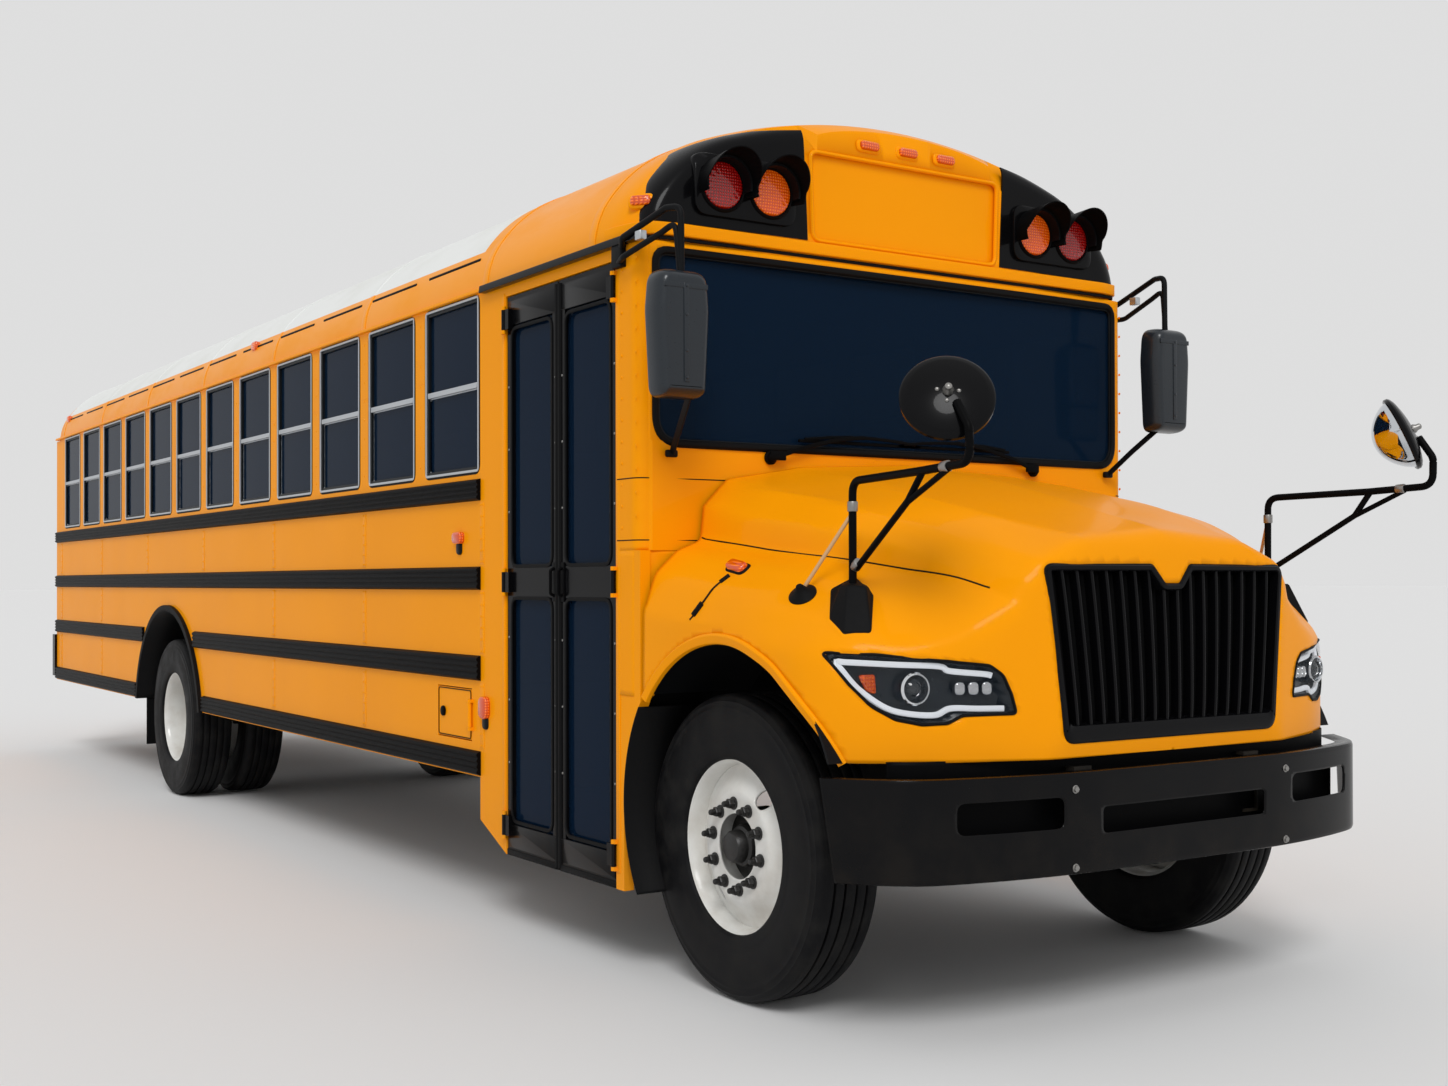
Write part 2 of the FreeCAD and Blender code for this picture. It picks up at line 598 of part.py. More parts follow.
def front_bumper():
    """Pressed channel swept back at its ends, with three air slots and the hood's pivots."""

    def band(inset, depth, z):
        front = [(x - (inset if x == BUMPER_PLAN[-1][0] else 0), BUMPER_FRONT_Y + back + inset)
                 for x, back in BUMPER_PLAN]
        rear = [(x - (depth if x > 0 else 0) * (back > 0), BUMPER_FRONT_Y + back + depth)
                for x, back in BUMPER_PLAN]
        half = front + rear[::-1]
        return both_sides([plate(half, "z", *z)])

    outer = fused(band(0, BUMPER_FLANGE, (BUMPER_BOTTOM_Z, BUMPER_TOP_Z)))
    inner = fused(band(BUMPER_PLATE, BUMPER_FLANGE + 40,
                       (BUMPER_BOTTOM_Z + BUMPER_PLATE, BUMPER_TOP_Z - BUMPER_PLATE)))
    shape = outer.cut(inner)
    slots = [box((-376, 376), (-1100, -900), (622, 703))]
    slots += both_sides([box((530, 898), (-1100, -820), (650, 735))])
    for slot in slots:
        shape = shape.cut(slot)
    y, z = HOOD_PIVOT
    lugs = []
    inner = HOOD_LUG / 2 + HOOD_LUG_GAP
    for x in (HOOD_LUG_X - inner - HOOD_LUG, HOOD_LUG_X + inner):
        lugs.append(box((x, x + HOOD_LUG), (y - 22, y + 14), (BUMPER_TOP_Z - BUMPER_PLATE, z + 18)))
    lugs.append(rod((HOOD_LUG_X - inner - HOOD_LUG, y, z), (HOOD_LUG_X + inner + HOOD_LUG, y, z),
                    HOOD_PIN_RADIUS))
    return fused([shape] + both_sides(lugs))


HOOD_LUG_X = 500
HOOD_LUG = 12                   # thickness of each hinge plate of the hood
HOOD_LUG_GAP = 2
HOOD_PIN_RADIUS = 8


def rear_bumper():
    """Channel across the rear that wraps the body's corners."""
    x = BODY_HALF_WIDTH + RUB_RAIL_DEPTH
    shape = box((-x, x), (REAR_FACE_Y - 50, REAR_BUMPER_Y), REAR_BUMPER_Z)
    uprights = [edge for edge in shape.Edges
                if edge.BoundBox.ZLength > 100 and edge.CenterOfMass.y > REAR_BUMPER_Y - 1]
    shape = shape.makeFillet(40, uprights)
    inside = box((-BODY_HALF_WIDTH, BODY_HALF_WIDTH), (REAR_FACE_Y - 60, REAR_FACE_Y),
                 (REAR_BUMPER_Z[0] - 1, REAR_BUMPER_Z[1] + 1))
    hollow = box((-BODY_HALF_WIDTH + 40, BODY_HALF_WIDTH - 40),
                 (REAR_FACE_Y - 60, REAR_BUMPER_Y - BUMPER_PLATE),
                 (REAR_BUMPER_Z[0] - 1, REAR_BUMPER_Z[1] - BUMPER_PLATE))
    return shape.cut(inside).cut(hollow)


# ---- hood ---------------------------------------------------------------------------

# Half sections of hood and front fenders, rear to front. Columns: y, then (x, z) of the
# crown, crown edge, shoulder top, shoulder foot, valley, fender top, fender shoulder, side.
HOOD_SECTIONS = [
    (360, (0, 1838), (523, 1812), (850, 1758), (950, 1660), (964, 1537), (1060, 1500),
     (1150, 1420), (1196, 1280)),
    (0, (0, 1778), (520, 1748), (835, 1690), (930, 1600), (945, 1492), (1050, 1455),
     (1145, 1370), (1195, 1250)),
    (-420, (0, 1682), (520, 1655), (790, 1605), (880, 1535), (900, 1451), (1000, 1400),
     (1125, 1300), (1194, 1190)),
    (-650, (0, 1618), (470, 1592), (680, 1535), (780, 1470), (810, 1405), (930, 1330),
     (1080, 1225), (1190, 1120)),
    (-800, (0, 1580), (400, 1552), (590, 1490), (650, 1430), (680, 1369), (800, 1270),
     (960, 1160), (1180, 1060)),
    (-960, (0, 1540), (380, 1510), (540, 1440), (590, 1380), (620, 1310), (720, 1210),
     (880, 1090), (1160, 1000)),
]
# (y, z) of the hood's front profile from the crown to the lower edge
NOSE_PROFILE = [(-860, 1600), (-912, 1540), (-940, 1400), (-955, 1000), (-940, HOOD_BOTTOM_Z)]
# (x, y) of the front of the hood seen from above, from the centre outward
NOSE_PLAN = [(0, -962), (470, -955), (640, -905), (870, -820), (1050, -715), (1150, -610),
             (1200, -480)]


def hood_form(inset):
    """The solid that hood and fenders enclose, `inset` inside their outer faces."""
    wires = []
    sections = HOOD_SECTIONS
    for y, *points in sections:
        top = [(max(x - inset, 0) if i else 0, z - inset) for i, (x, z) in enumerate(points)]
        foot = HOOD_BOTTOM_Z - (1 if inset else 0)
        ring = top + [(top[-1][0], foot), (-top[-1][0], foot)]
        ring += [(-x, z) for x, z in top[:0:-1]]
        if inset and y == sections[0][0]:
            y += 1
        vectors = [Vector(x, y, z) for x, z in ring]
        wires.append(Part.makePolygon(vectors + vectors[:1]))
    form = Part.makeLoft(wires, True, True)
    rear = HOOD_REAR_Y + 10
    side = [(rear, 2000)] + [(y + inset, z - inset * (i == 0)) for i, (y, z) in
                             enumerate(NOSE_PROFILE)]
    side[1:1] = [(-700, 2000), (-800, 1650 - inset)]
    side[-1] = (side[-1][0], HOOD_BOTTOM_Z - 5)
    side.append((rear, HOOD_BOTTOM_Z - 5))
    form = form.common(plate(side, "x", -1300, 1300))
    plan = [(x - inset * (x > 0), y + inset) for x, y in NOSE_PLAN]
    plan += [(plan[-1][0], rear), (0, rear)]
    half = plate(plan, "z", HOOD_BOTTOM_Z - 10, 2100)
    return form.common(fused(both_sides([half])))


# (x, z) outline of a headlamp seen from the front, and of the grille
HEADLAMP = [(655, 985), (800, 955), (1000, 985), (1230, 1050), (1230, 1180), (1080, 1190),
            (700, 1130), (640, 1060)]
GRILLE = [(-470, 895), (470, 895), (552, 1436), (28, 1436), (12, 1386), (-12, 1386),
          (-28, 1436), (-552, 1436)]
SLAT_COUNT = 16
SLAT_WIDTH = 14
GRILLE_RIM = 45


def hood():
    """Hood skin with both front fenders; also returns the grille and headlamp solids."""
    outer = hood_form(0)
    skin = outer.cut(hood_form(HOOD_SKIN))
    arch_y, arch_z, arch_r = FRONT_ARCH
    arches = both_sides([rod((740, arch_y, arch_z), (1300, arch_y, arch_z), arch_r)])
    for arch in arches:
        skin = skin.cut(arch)
    lamp_space = both_sides([plate(HEADLAMP, "y", -1000, -440)])
    lamps = [skin.common(space) for space in lamp_space]
    for space in lamp_space:
        skin = skin.cut(space)
    grille_space = plate(GRILLE, "y", -1000, -700)
    front = skin.common(grille_space)
    skin = skin.cut(grille_space)
    solids = sorted(skin.Solids, key=lambda s: s.Volume)
    lug_y, lug_z = HOOD_PIVOT
    lug_outline = [(lug_y - 14, lug_z - 10), (lug_y + 10, lug_z - 10), (lug_y + 60, lug_z + 12),
                   (lug_y + 60, lug_z + 60), (lug_y + 14, lug_z + 60), (lug_y - 14, lug_z + 14)]
    lug = plate(lug_outline, "x", HOOD_LUG_X - HOOD_LUG / 2, HOOD_LUG_X + HOOD_LUG / 2)
    lug = lug.cut(rod((HOOD_LUG_X - 50, lug_y, lug_z), (HOOD_LUG_X + 50, lug_y, lug_z),
                      HOOD_PIN_RADIUS + 0.05))
    shell = fused([solids[-1]] + both_sides([lug]))
    return shell, front, lamps


def grille(front):
    """Black grille: a rim, upright slats and a thick lower bar."""
    low, high = GRILLE[0][1] + 2 * GRILLE_RIM, GRILLE[2][1] - GRILLE_RIM
    half_low = GRILLE[1][0] - GRILLE_RIM / 2
    half_high = GRILLE[2][0] - GRILLE_RIM / 2
    gaps = SLAT_COUNT + 1
    shape = front
    for i in range(gaps):
        left, right = i / gaps, (i + 1) / gaps

        def across(share, half, side):
            return -half + 2 * half * share + side * SLAT_WIDTH / 2

        top = high - (60 if abs(i - SLAT_COUNT / 2) < 1 else 0)
        slot = [(across(left, half_low, 1), low), (across(right, half_low, -1), low),
                (across(right, half_high, -1), top), (across(left, half_high, 1), top)]
        shape = shape.cut(plate(slot, "y", -1000, -700))
    return shape


def hood_liners():
    """Black splash shields over the front wheels, carried under the fenders."""
    y, z, radius = FRONT_ARCH
    x = (760, BODY_HALF_WIDTH - HOOD_SKIN - 12)
    ring = rod((x[0], y, z), (x[1], y, z), radius - SEAT_GAP)
    ring = ring.cut(rod((x[0] - 1, y, z), (x[1] + 1, y, z), radius - 10))
    ring = ring.cut(box((0, 2000), (-2000, 2000), (0, HOOD_BOTTOM_Z)))
    ring = ring.cut(box((0, 2000), (HOOD_REAR_Y - 20, 2000), (0, 3000)))
    return both_sides([ring])


MIRROR_FOOT = (985, -575, 1400)    # where a cross-view mirror post stands on the fender
MIRROR_HEAD = (1031, -1035, 1893)
MIRROR_HEAD_RADIUS = 135


def cross_mirrors():
    """Cross-view mirrors on bent tubes in front of the hood."""
    x, y, z = MIRROR_FOOT
    hx, hy, hz = MIRROR_HEAD
    bend_x = hx + 31
    post = bent_tube([(x, y, z - 40), (x - 8, y + 10, z + 266), (bend_x - 10, hy - 90, z + 325),
                      (bend_x, CROSS_ARM_REACH_Y + 10, hz - 60), (hx + 12, hy - 40, hz - 10)],
                     CROSS_ARM_RADIUS, 35)
    foot = box((x - 35, x + 35), (y - 45, y + 45), (z - 160, z + 5))
    brace = bent_tube([(x - 40, y + 60, z - 20), (x - 22, y + 20, z + 130), (x - 8, y - 20, z + 262)],
                      8, 40)
    toward = Vector(-(hx - 450), 900 - hy, 150).normalize()
    centre = Vector(hx, hy, hz)
    head = Part.makeSphere(MIRROR_HEAD_RADIUS * 1.25, centre - toward * 100)
    head = head.common(Part.makeCylinder(MIRROR_HEAD_RADIUS, 80, centre, toward))
    back = Part.makeCylinder(MIRROR_HEAD_RADIUS, 34, centre - toward * 30, toward)
    head = head.fuse(back)
    hub = Part.makeCylinder(28, 40, centre - toward * 60, toward)
    outer = hood_form(0)
    shape = fused([post, foot, brace, head, hub]).cut(outer)
    return both_sides([max(shape.Solids, key=lambda s: s.Volume)])


# ---- lamps --------------------------------------------------------------------------

LAMP_RADIUS = 89
LAMP_Z = 2807
AMBER_LAMP_X = 658
RED_LAMP_X = 869
CLEARANCE_X = (0, 190, -190)
CLEARANCE_Z = 3040


def lamp(x, y, z, radius, way, depth=30):
    """Round lamp standing out of a face at y; `way` is -1 on the front of the bus."""
    return rod((x, y, z), (x, y + way * depth, z), radius)


def lamps():
    """Amber, red and housing solids of the lamps on the body."""
    front_y = FRONT_CAP[0][0]
    rear_y = REAR_CAP[0][0]
    amber = both_sides([lamp(AMBER_LAMP_X, front_y, LAMP_Z, LAMP_RADIUS, -1),
                        lamp(AMBER_LAMP_X, rear_y, LAMP_Z, LAMP_RADIUS, 1),
                        lamp(980, rear_y, 1330, LAMP_RADIUS * 0.8, 1, 24)])
    amber += both_sides([box((BODY_HALF_WIDTH, BODY_HALF_WIDTH + 18), (1590, 1655), (855, 895)),
                         box((BODY_HALF_WIDTH, BODY_HALF_WIDTH + 18), (1840, 1920), (1560, 1596))])
    for x in CLEARANCE_X:
        amber.append(box((x - 45, x + 45), (front_y - 20, front_y), (CLEARANCE_Z - 18,
                                                                     CLEARANCE_Z + 18)))
    red = both_sides([lamp(RED_LAMP_X, front_y, LAMP_Z, LAMP_RADIUS, -1),
                      lamp(RED_LAMP_X, rear_y, LAMP_Z, LAMP_RADIUS, 1),
                      lamp(980, rear_y, 1560, LAMP_RADIUS, 1, 24)])
    for x in CLEARANCE_X:
        red.append(box((x - 45, x + 45), (rear_y, rear_y + 20), (2890, 2926)))
    hoods = []
    for x in (AMBER_LAMP_X, RED_LAMP_X):
        for y, way in ((front_y, -1), (rear_y, 1)):
            ring = rod((x, y, LAMP_Z), (x, y + way * 70, LAMP_Z), LAMP_RADIUS + 9)
            ring = ring.cut(rod((x, y - way, LAMP_Z), (x, y + way * 71, LAMP_Z),
                                LAMP_RADIUS + SEAT_GAP))
            low = box((x - 200, x + 200), (y - 200, y + 200), (LAMP_Z - 200, LAMP_Z - 20))
            hoods.append(ring.cut(low))
    return amber, red, both_sides(hoods)


STOP_HINGE = (BODY_HALF_WIDTH + 30, 780)   # (x, y) of the stop arm's upright axis
STOP_Z = 1500
STOP_ACROSS = 450
STOP_PLATE = 10


def stop_arm():
    """Blank octagonal arm folded against the driver's side."""
    hx, hy = STOP_HINGE
    centre_y = hy + 60 + STOP_ACROSS / 2
    corner = STOP_ACROSS / 2 / math.cos(math.pi / 8)
    octagon = [(centre_y + corner * math.cos(math.radians(a)),
                STOP_Z + corner * math.sin(math.radians(a))) for a in
               [22.5 + 45 * i for i in range(8)]]
    sign = plate(octagon, "x", hx - STOP_PLATE / 2, hx + STOP_PLATE / 2)
    arm = box((hx - 5, hx + 5), (hy, hy + 90), (STOP_Z - 90, STOP_Z + 90))
    barrel = rod((hx, hy, STOP_Z - 90), (hx, hy, STOP_Z + 90), 12)
    shape = fused([sign, arm, barrel])
    return shape.cut(rod((hx, hy, STOP_Z - 100), (hx, hy, STOP_Z + 100), 5.05))


def stop_bracket():
    """Fixed bracket and pin that carry the stop arm."""
    hx, hy = STOP_HINGE
    pin = rod((hx, hy, STOP_Z - 112), (hx, hy, STOP_Z + 112), 5)
    ears = [box((BODY_HALF_WIDTH, hx + 14), (hy - 20, hy + 20), (z, z + 12))
            for z in (STOP_Z - 112, STOP_Z + 100)]
    return fused([pin] + ears)


# ---- side mirrors and wipers ---------------------------------------------------------

SIDE_MIRROR = (1190, 130, 2220)    # centre of a side mirror's housing
SIDE_MIRROR_SIZE = (220, 90, 440)


def side_mirrors():
    """Tall mirror housings hung from two bent tubes, steadied by a rod below."""
    x, y, z = SIDE_MIRROR
    sx, sy, sz = SIDE_MIRROR_SIZE
    head = box((x - sx / 2, x + sx / 2), (y - sy / 2, y + sy / 2), (z - sz / 2, z + sz / 2))
    edges = [edge for edge in head.Edges if edge.CenterOfMass.y < y - sy / 2 + 1]
    head = head.makeFillet(30, edges)
    top = z + sz / 2
    side = BODY_HALF_WIDTH
    root = side + 16                # where the tubes start, clear of the wall
    upper = bent_tube([(root, 480, 2555), (side + 45, 400, 2600), (side + 15, y + 40, 2650),
                       (x - 10, y, 2610), (x - 10, y, top - 20)], 13, 30)
    lower = bent_tube([(root, 515, 2520), (side + 50, 440, 2530), (x + 60, y + 60, 2570),
                       (x + 30, y, 2540), (x + 30, y, top - 20)], 13, 20)
    steady = bent_tube([(x - 40, y, z - sz / 2 + 20), (x - 60, y, z - sz / 2 - 60),
                        (1080, COWL_FRONT_Y - 70, 1838), (1080, COWL_FRONT_Y, 1838)], 11, 20)
    base = box((side, side + 24), (455, 535), (2500, 2575))
    return both_sides([fused([head, upper, lower, steady, base])])


WIPER_PIVOT = (655, 1862)       # (x, z)


def wipers():
    """Two parked wipers: pivot boss, arm and blade."""
    px, pz = WIPER_PIVOT
    y = COWL_FRONT_Y
    boss = rod((px, y, pz), (px, y - 28, pz), 20)
    tip = (px - 430, pz + 95)
    arm = plate([(px, pz - 10), (px, pz + 10), (tip[0], tip[1] + 6), (tip[0], tip[1] - 6)],
                "y", y - 26, y - 14)
    blade = plate([(px - 60, pz + 55), (px - 60, pz + 75), (px - 640, pz + 75),
                   (px - 640, pz + 55)], "y", y - 14, y - 0)
    strut = box((tip[0] - 15, tip[0] + 15), (y - 26, y - 2), (pz + 58, tip[1] + 6))
    return both_sides([fused([boss, arm, blade, strut])])


# ---- chassis ------------------------------------------------------------------------

FRAME_REAR_Y = REAR_FACE_Y - 150
CROSSMEMBER_Y = (-640, 900, 2300, 3400, 4500, WHEELBASE - 900, WHEELBASE + 1050,
                 WHEELBASE + 2150, FRAME_REAR_Y - 250)


def frame():
    """Two channel rails with tow eyes at both ends, and the crossmembers between them."""
    x = (RAIL_OUTER_X - RAIL_WIDTH, RAIL_OUTER_X)
    y = (BUMPER_FRONT_Y + BUMPER_FLANGE, FRAME_REAR_Y)
    rail = box(x, y, (RAIL_BOTTOM_Z, RAIL_TOP_Z))
    rail = rail.cut(box((x[0] - 1, x[1] - RAIL_WEB), (y[0] - 1, y[1] + 1),
                        (RAIL_BOTTOM_Z + RAIL_WEB, RAIL_TOP_Z - RAIL_WEB)))
    members = [box((-x[1] + RAIL_WEB, x[1] - RAIL_WEB), (m, m + 60),
                   (RAIL_BOTTOM_Z + RAIL_WEB, RAIL_TOP_Z - RAIL_WEB - 30)) for m in CROSSMEMBER_Y]
    eyes = []
    for eye_y in TOW_EYE_Y:
        eye = box((x[0], x[1] + 2 * TOW_EYE_OUT), (eye_y - TOW_EYE_OUT, eye_y + TOW_EYE_OUT),
                  (RAIL_BOTTOM_Z - TOW_EYE_PLATE, RAIL_BOTTOM_Z))
        eyes.append(eye.cut(rod((x[1] + TOW_EYE_OUT, eye_y, 0), (x[1] + TOW_EYE_OUT, eye_y, 999),
                                TOW_EYE_RADIUS)))
    rails = fused([rail] + eyes)
    return both_sides([rails]), members


TOW_EYE_RADIUS = 25
TOW_EYE_PLATE = 25
TOW_EYE_OUT = 45                # from a rail's side to the middle of the eye beside it
TOW_EYE_Y = (BUMPER_FRONT_Y + 150, FRAME_REAR_Y - 80)

AXLE_HALF_BEAM = 45
EYE_RADIUS = 38
EYE_HALF_HEIGHT = 50


def front_axle():
    """Beam with a bored eye for each kingpin."""
    beam = box((-KINGPIN_X, KINGPIN_X), (-AXLE_HALF_BEAM, AXLE_HALF_BEAM),
               (WHEEL_Z - 45, WHEEL_Z + 40))
    beam = beam.cut(box((-KINGPIN_X - 100, -KINGPIN_X + 5), (-200, 200), (0, 900)))
    beam = beam.cut(box((KINGPIN_X - 5, KINGPIN_X + 100), (-200, 200), (0, 900)))
    for y in (AXLE_HALF_BEAM - 30, -AXLE_HALF_BEAM - 1):
        beam = beam.cut(box((-KINGPIN_X + 80, KINGPIN_X - 80), (y, y + 31),
                            (WHEEL_Z - 30, WHEEL_Z + 25)))
    eyes = [rod((x, 0, WHEEL_Z - EYE_HALF_HEIGHT), (x, 0, WHEEL_Z + EYE_HALF_HEIGHT), EYE_RADIUS)
            for x in (KINGPIN_X, -KINGPIN_X)]
    shape = fused([beam] + eyes)
    for x in (KINGPIN_X, -KINGPIN_X):
        shape = shape.cut(rod((x, 0, 0), (x, 0, 1000), KINGPIN_RADIUS + 0.05))
    return shape


SPINDLE_RADIUS = 30
YOKE_PLATE_X = 947
YOKE_PLATE = 18
HUB_IN_X = 972
TIE_PIN_RADIUS = 10


def knuckle():
    """Driver's side knuckle: kingpin, yoke, spindle and steering arm."""
    x, z = KINGPIN_X, WHEEL_Z
    gap, arm = 1, 35
    pin = rod((x, 0, z - EYE_HALF_HEIGHT - arm), (x, 0, z + EYE_HALF_HEIGHT + arm), KINGPIN_RADIUS)
    parts = [pin]
    for low in (z + EYE_HALF_HEIGHT + gap, z - EYE_HALF_HEIGHT - gap - arm):
        parts.append(rod((x, 0, low), (x, 0, low + arm), EYE_RADIUS))
        parts.append(box((x, YOKE_PLATE_X + YOKE_PLATE), (-35, 35), (low, low + arm)))
    parts.append(box((YOKE_PLATE_X, YOKE_PLATE_X + YOKE_PLATE), (-35, 35),
                     (z - EYE_HALF_HEIGHT - gap - arm, z + EYE_HALF_HEIGHT + gap + arm)))
    parts.append(rod((YOKE_PLATE_X + 5, 0, z), (HUB_FRONT_OUT_X - 20, 0, z), SPINDLE_RADIUS))
    low = z - EYE_HALF_HEIGHT - gap - arm
    parts.append(box((x - 16, x + 16), (0, STEER_ARM), (low, low + 20)))
    parts.append(rod((x, STEER_ARM, low), (x, STEER_ARM, low + 20), 22))
    parts.append(rod((x, STEER_ARM, low - 30), (x, STEER_ARM, low + 10), TIE_PIN_RADIUS))
    return fused(parts)


def tie_rod():
    """Bar between the steering arms, with an open eye on the kerb side."""
    z = WHEEL_Z - EYE_HALF_HEIGHT - 36
    low, high = z - 26, z - 2
    bar = rod((-KINGPIN_X + 20, STEER_ARM, z - 14), (KINGPIN_X - 20, STEER_ARM, z - 14), 11)
    ends = [rod((x, STEER_ARM, low), (x, STEER_ARM, high), 24) for x in (KINGPIN_X, -KINGPIN_X)]
    shape = fused([bar] + ends)
    for x, slack in ((KINGPIN_X, 0.05), (-KINGPIN_X, 0.5)):
        shape = shape.cut(rod((x, STEER_ARM, 0), (x, STEER_ARM, 900), TIE_PIN_RADIUS + slack))
    return shape


HUB_FRONT_OUT_X = 1085
DISC_PLATE = 12
HAND_HOLE_RADIUS = 32
HAND_HOLE_CIRCLE = 205


def tyre(x, y):
    """Tyre whose middle plane is at x."""
    half = TYRE_WIDTH / 2
    seat = RIM_SEAT_RADIUS + SEAT_GAP
    profile = [(-half + 25, seat), (-half + 6, RIM_FLANGE_RADIUS + 25), (-half, 400),
               (-half + 8, TYRE_RADIUS - 32), (-half + 28, TYRE_RADIUS - 6),
               (-half + 45, TYRE_RADIUS), (half - 45, TYRE_RADIUS),
               (half - 28, TYRE_RADIUS - 6), (half - 8, TYRE_RADIUS - 32), (half, 400),
               (half - 6, RIM_FLANGE_RADIUS + 25), (half - 25, seat)]
    return turned(profile, (x, y, WHEEL_Z))


def rim_solid(x, y, disc_dx, hub):
    """Rim at the middle plane x. disc_dx places its disc; hub is (low x, high x, radius, bore)."""
    half = TYRE_WIDTH / 2 - 26
    seat = RIM_SEAT_RADIUS
    profile = [(-half, seat - 14), (half, seat - 14), (half, seat), (-half, seat)]
    ring = turned(profile, (x, y, WHEEL_Z))
    disc = turned([(disc_dx, hub[3]), (disc_dx + DISC_PLATE, hub[3]),
                   (disc_dx + DISC_PLATE, 175), (disc_dx + DISC_PLATE + hub[4], 250),
                   (disc_dx + DISC_PLATE + hub[4], seat - 13), (disc_dx + hub[4], seat - 13),
                   (disc_dx + hub[4], 250), (disc_dx, 175)], (x, y, WHEEL_Z))
    for i in range(2):
        angle = math.radians(HAND_HOLE_ANGLE + 180 * i)
        cy = y + 212 * math.cos(angle)
        cz = WHEEL_Z + 212 * math.sin(angle)
        disc = disc.cut(rod((x + disc_dx - 100, cy, cz), (x + disc_dx + 100, cy, cz),
                            HAND_HOLE_RADIUS))
    low, high, radius, bore = hub[:4]
    nave = rod((low, y, WHEEL_Z), (high, y, WHEEL_Z), radius)
    nave = nave.cut(rod((low - 1, y, WHEEL_Z), (high - hub[5], y, WHEEL_Z), bore))
    nuts = []
    for i in range(STUD_COUNT):
        angle = 2 * math.pi * i / STUD_COUNT
        cy = y + STUD_CIRCLE / 2 * math.cos(angle)
        cz = WHEEL_Z + STUD_CIRCLE / 2 * math.sin(angle)
        face = x + disc_dx + DISC_PLATE
        nuts.append(rod((face - 2, cy, cz), (face + 30, cy, cz), 17))
    return fused([ring, disc, nave] + nuts)


HAND_HOLE_ANGLE = 20
STUD_COUNT = 10
STUD_CIRCLE = 285


def front_wheel():
    """Tyre and rim of the driver's front wheel."""
    hub = (HUB_IN_X, HUB_FRONT_OUT_X, 75, SPINDLE_RADIUS + 0.05, -45, 18)
    rim = rim_solid(FRONT_WHEEL_X, 0, 78, hub)
    return tyre(FRONT_WHEEL_X, 0), rim


REAR_SPINDLE_RADIUS = 45
REAR_HUB_X = (800, 1060)
AXLE_NOSE = 330                 # from the rear axle's middle forward to its shaft flange


def rear_wheel():
    """Twin tyres and rims on one hub, driver's side."""
    y = WHEELBASE
    tyres = [tyre(x, y) for x in (REAR_INNER_X, REAR_OUTER_X)]
    hub = (*REAR_HUB_X, 100, REAR_SPINDLE_RADIUS + 0.05, 45, 20)
    outer = rim_solid(REAR_OUTER_X, y, -95, hub)
    seat = RIM_SEAT_RADIUS
    half = TYRE_WIDTH / 2 - 26
    ring = turned([(-half, seat - 14), (half, seat - 14), (half, seat), (-half, seat)],
                  (REAR_INNER_X, y, WHEEL_Z))
    disc = turned([(half - 12, 99), (half, 99), (half, seat - 13), (half - 12, seat - 13)],
                  (REAR_INNER_X, y, WHEEL_Z))
    spacer = rod((REAR_INNER_X + half - 1, y, WHEEL_Z), (REAR_OUTER_X - 94, y, WHEEL_Z), 175)
    spacer = spacer.cut(rod((0, y, WHEEL_Z), (2000, y, WHEEL_Z), 99))
    return tyres, fused([outer, ring, disc, spacer])


def rear_axle():
    """Axle tube with the differential and the spindles."""
    y, z = WHEELBASE, WHEEL_Z
    tube = rod((-REAR_HUB_X[0] + 10, y, z), (REAR_HUB_X[0] - 10, y, z), 65)
    spindles = [rod((-1030, y, z), (1030, y, z), REAR_SPINDLE_RADIUS)]
    case = Part.makeSphere(190, Vector(0, y, z)).common(
        box((-130, 130), (y - 200, y + 200), (z - 200, z + 200)))
    nose = rod((0, y - 150, z + 20), (0, y - AXLE_NOSE, z + 20), 70)
    return fused([tube, case, nose] + spindles)


SPRING_X = (347, 422)


def leaf_springs():
    """A leaf spring and its hangers at each corner, between axle and rail."""
    springs = []
    for y, half, axle_top in ((0, 600, WHEEL_Z + 40), (WHEELBASE, 680, WHEEL_Z + 65)):
        leaves = [plate([(y - half, RAIL_BOTTOM_Z - 45), (y - 120, axle_top), (y + 120, axle_top),
                         (y + half, RAIL_BOTTOM_Z - 45), (y + half, RAIL_BOTTOM_Z - 33),
                         (y + 120, axle_top + 28), (y - 120, axle_top + 28),
                         (y - half, RAIL_BOTTOM_Z - 33)], "x", *SPRING_X)]
        for end in (y - half, y + half - 60):
            leaves.append(box(SPRING_X, (end, end + 60), (RAIL_BOTTOM_Z - 55, RAIL_BOTTOM_Z)))
        springs.append(fused(leaves))
    return both_sides(springs)


ENGINE_HALF = 300
GEARBOX_REAR_Y = 890
SHAFT_RADIUS = 45
SHAFT_Z = (560, WHEEL_Z + 20)      # height at the gearbox and at the rear axle


def engine():
    """One plain block for engine and gearbox, with feet on the rails."""
    block = box((-ENGINE_HALF, ENGINE_HALF), (-430, 435), (720, 1400))
    gearbox = box((-190, 190), (434, GEARBOX_REAR_Y), (500, 900))
    inner = RAIL_OUTER_X - RAIL_WEB
    feet = both_sides([box((ENGINE_HALF - 1, inner), (y, y + 90), (725, 785))
                       for y in (-380, 300)])
    return fused([block, gearbox] + feet)


def radiator():
    """Radiator core on the front crossmember."""
    top = RAIL_TOP_Z - RAIL_WEB - 30
    return box((-330, 330), (-640, -580), (top, 1380))


def drive_shaft():
    """Propeller shaft from the gearbox to the rear axle's nose, its ends cut upright."""
    y = (GEARBOX_REAR_Y, WHEELBASE - AXLE_NOSE)
    slope = (SHAFT_Z[1] - SHAFT_Z[0]) / (y[1] - y[0])
    shaft = rod((0, y[0] - 100, SHAFT_Z[0] - 100 * slope), (0, y[1] + 100, SHAFT_Z[1] + 100 * slope),
                SHAFT_RADIUS)
    return shaft.common(box((-200, 200), y, (0, 1000)))


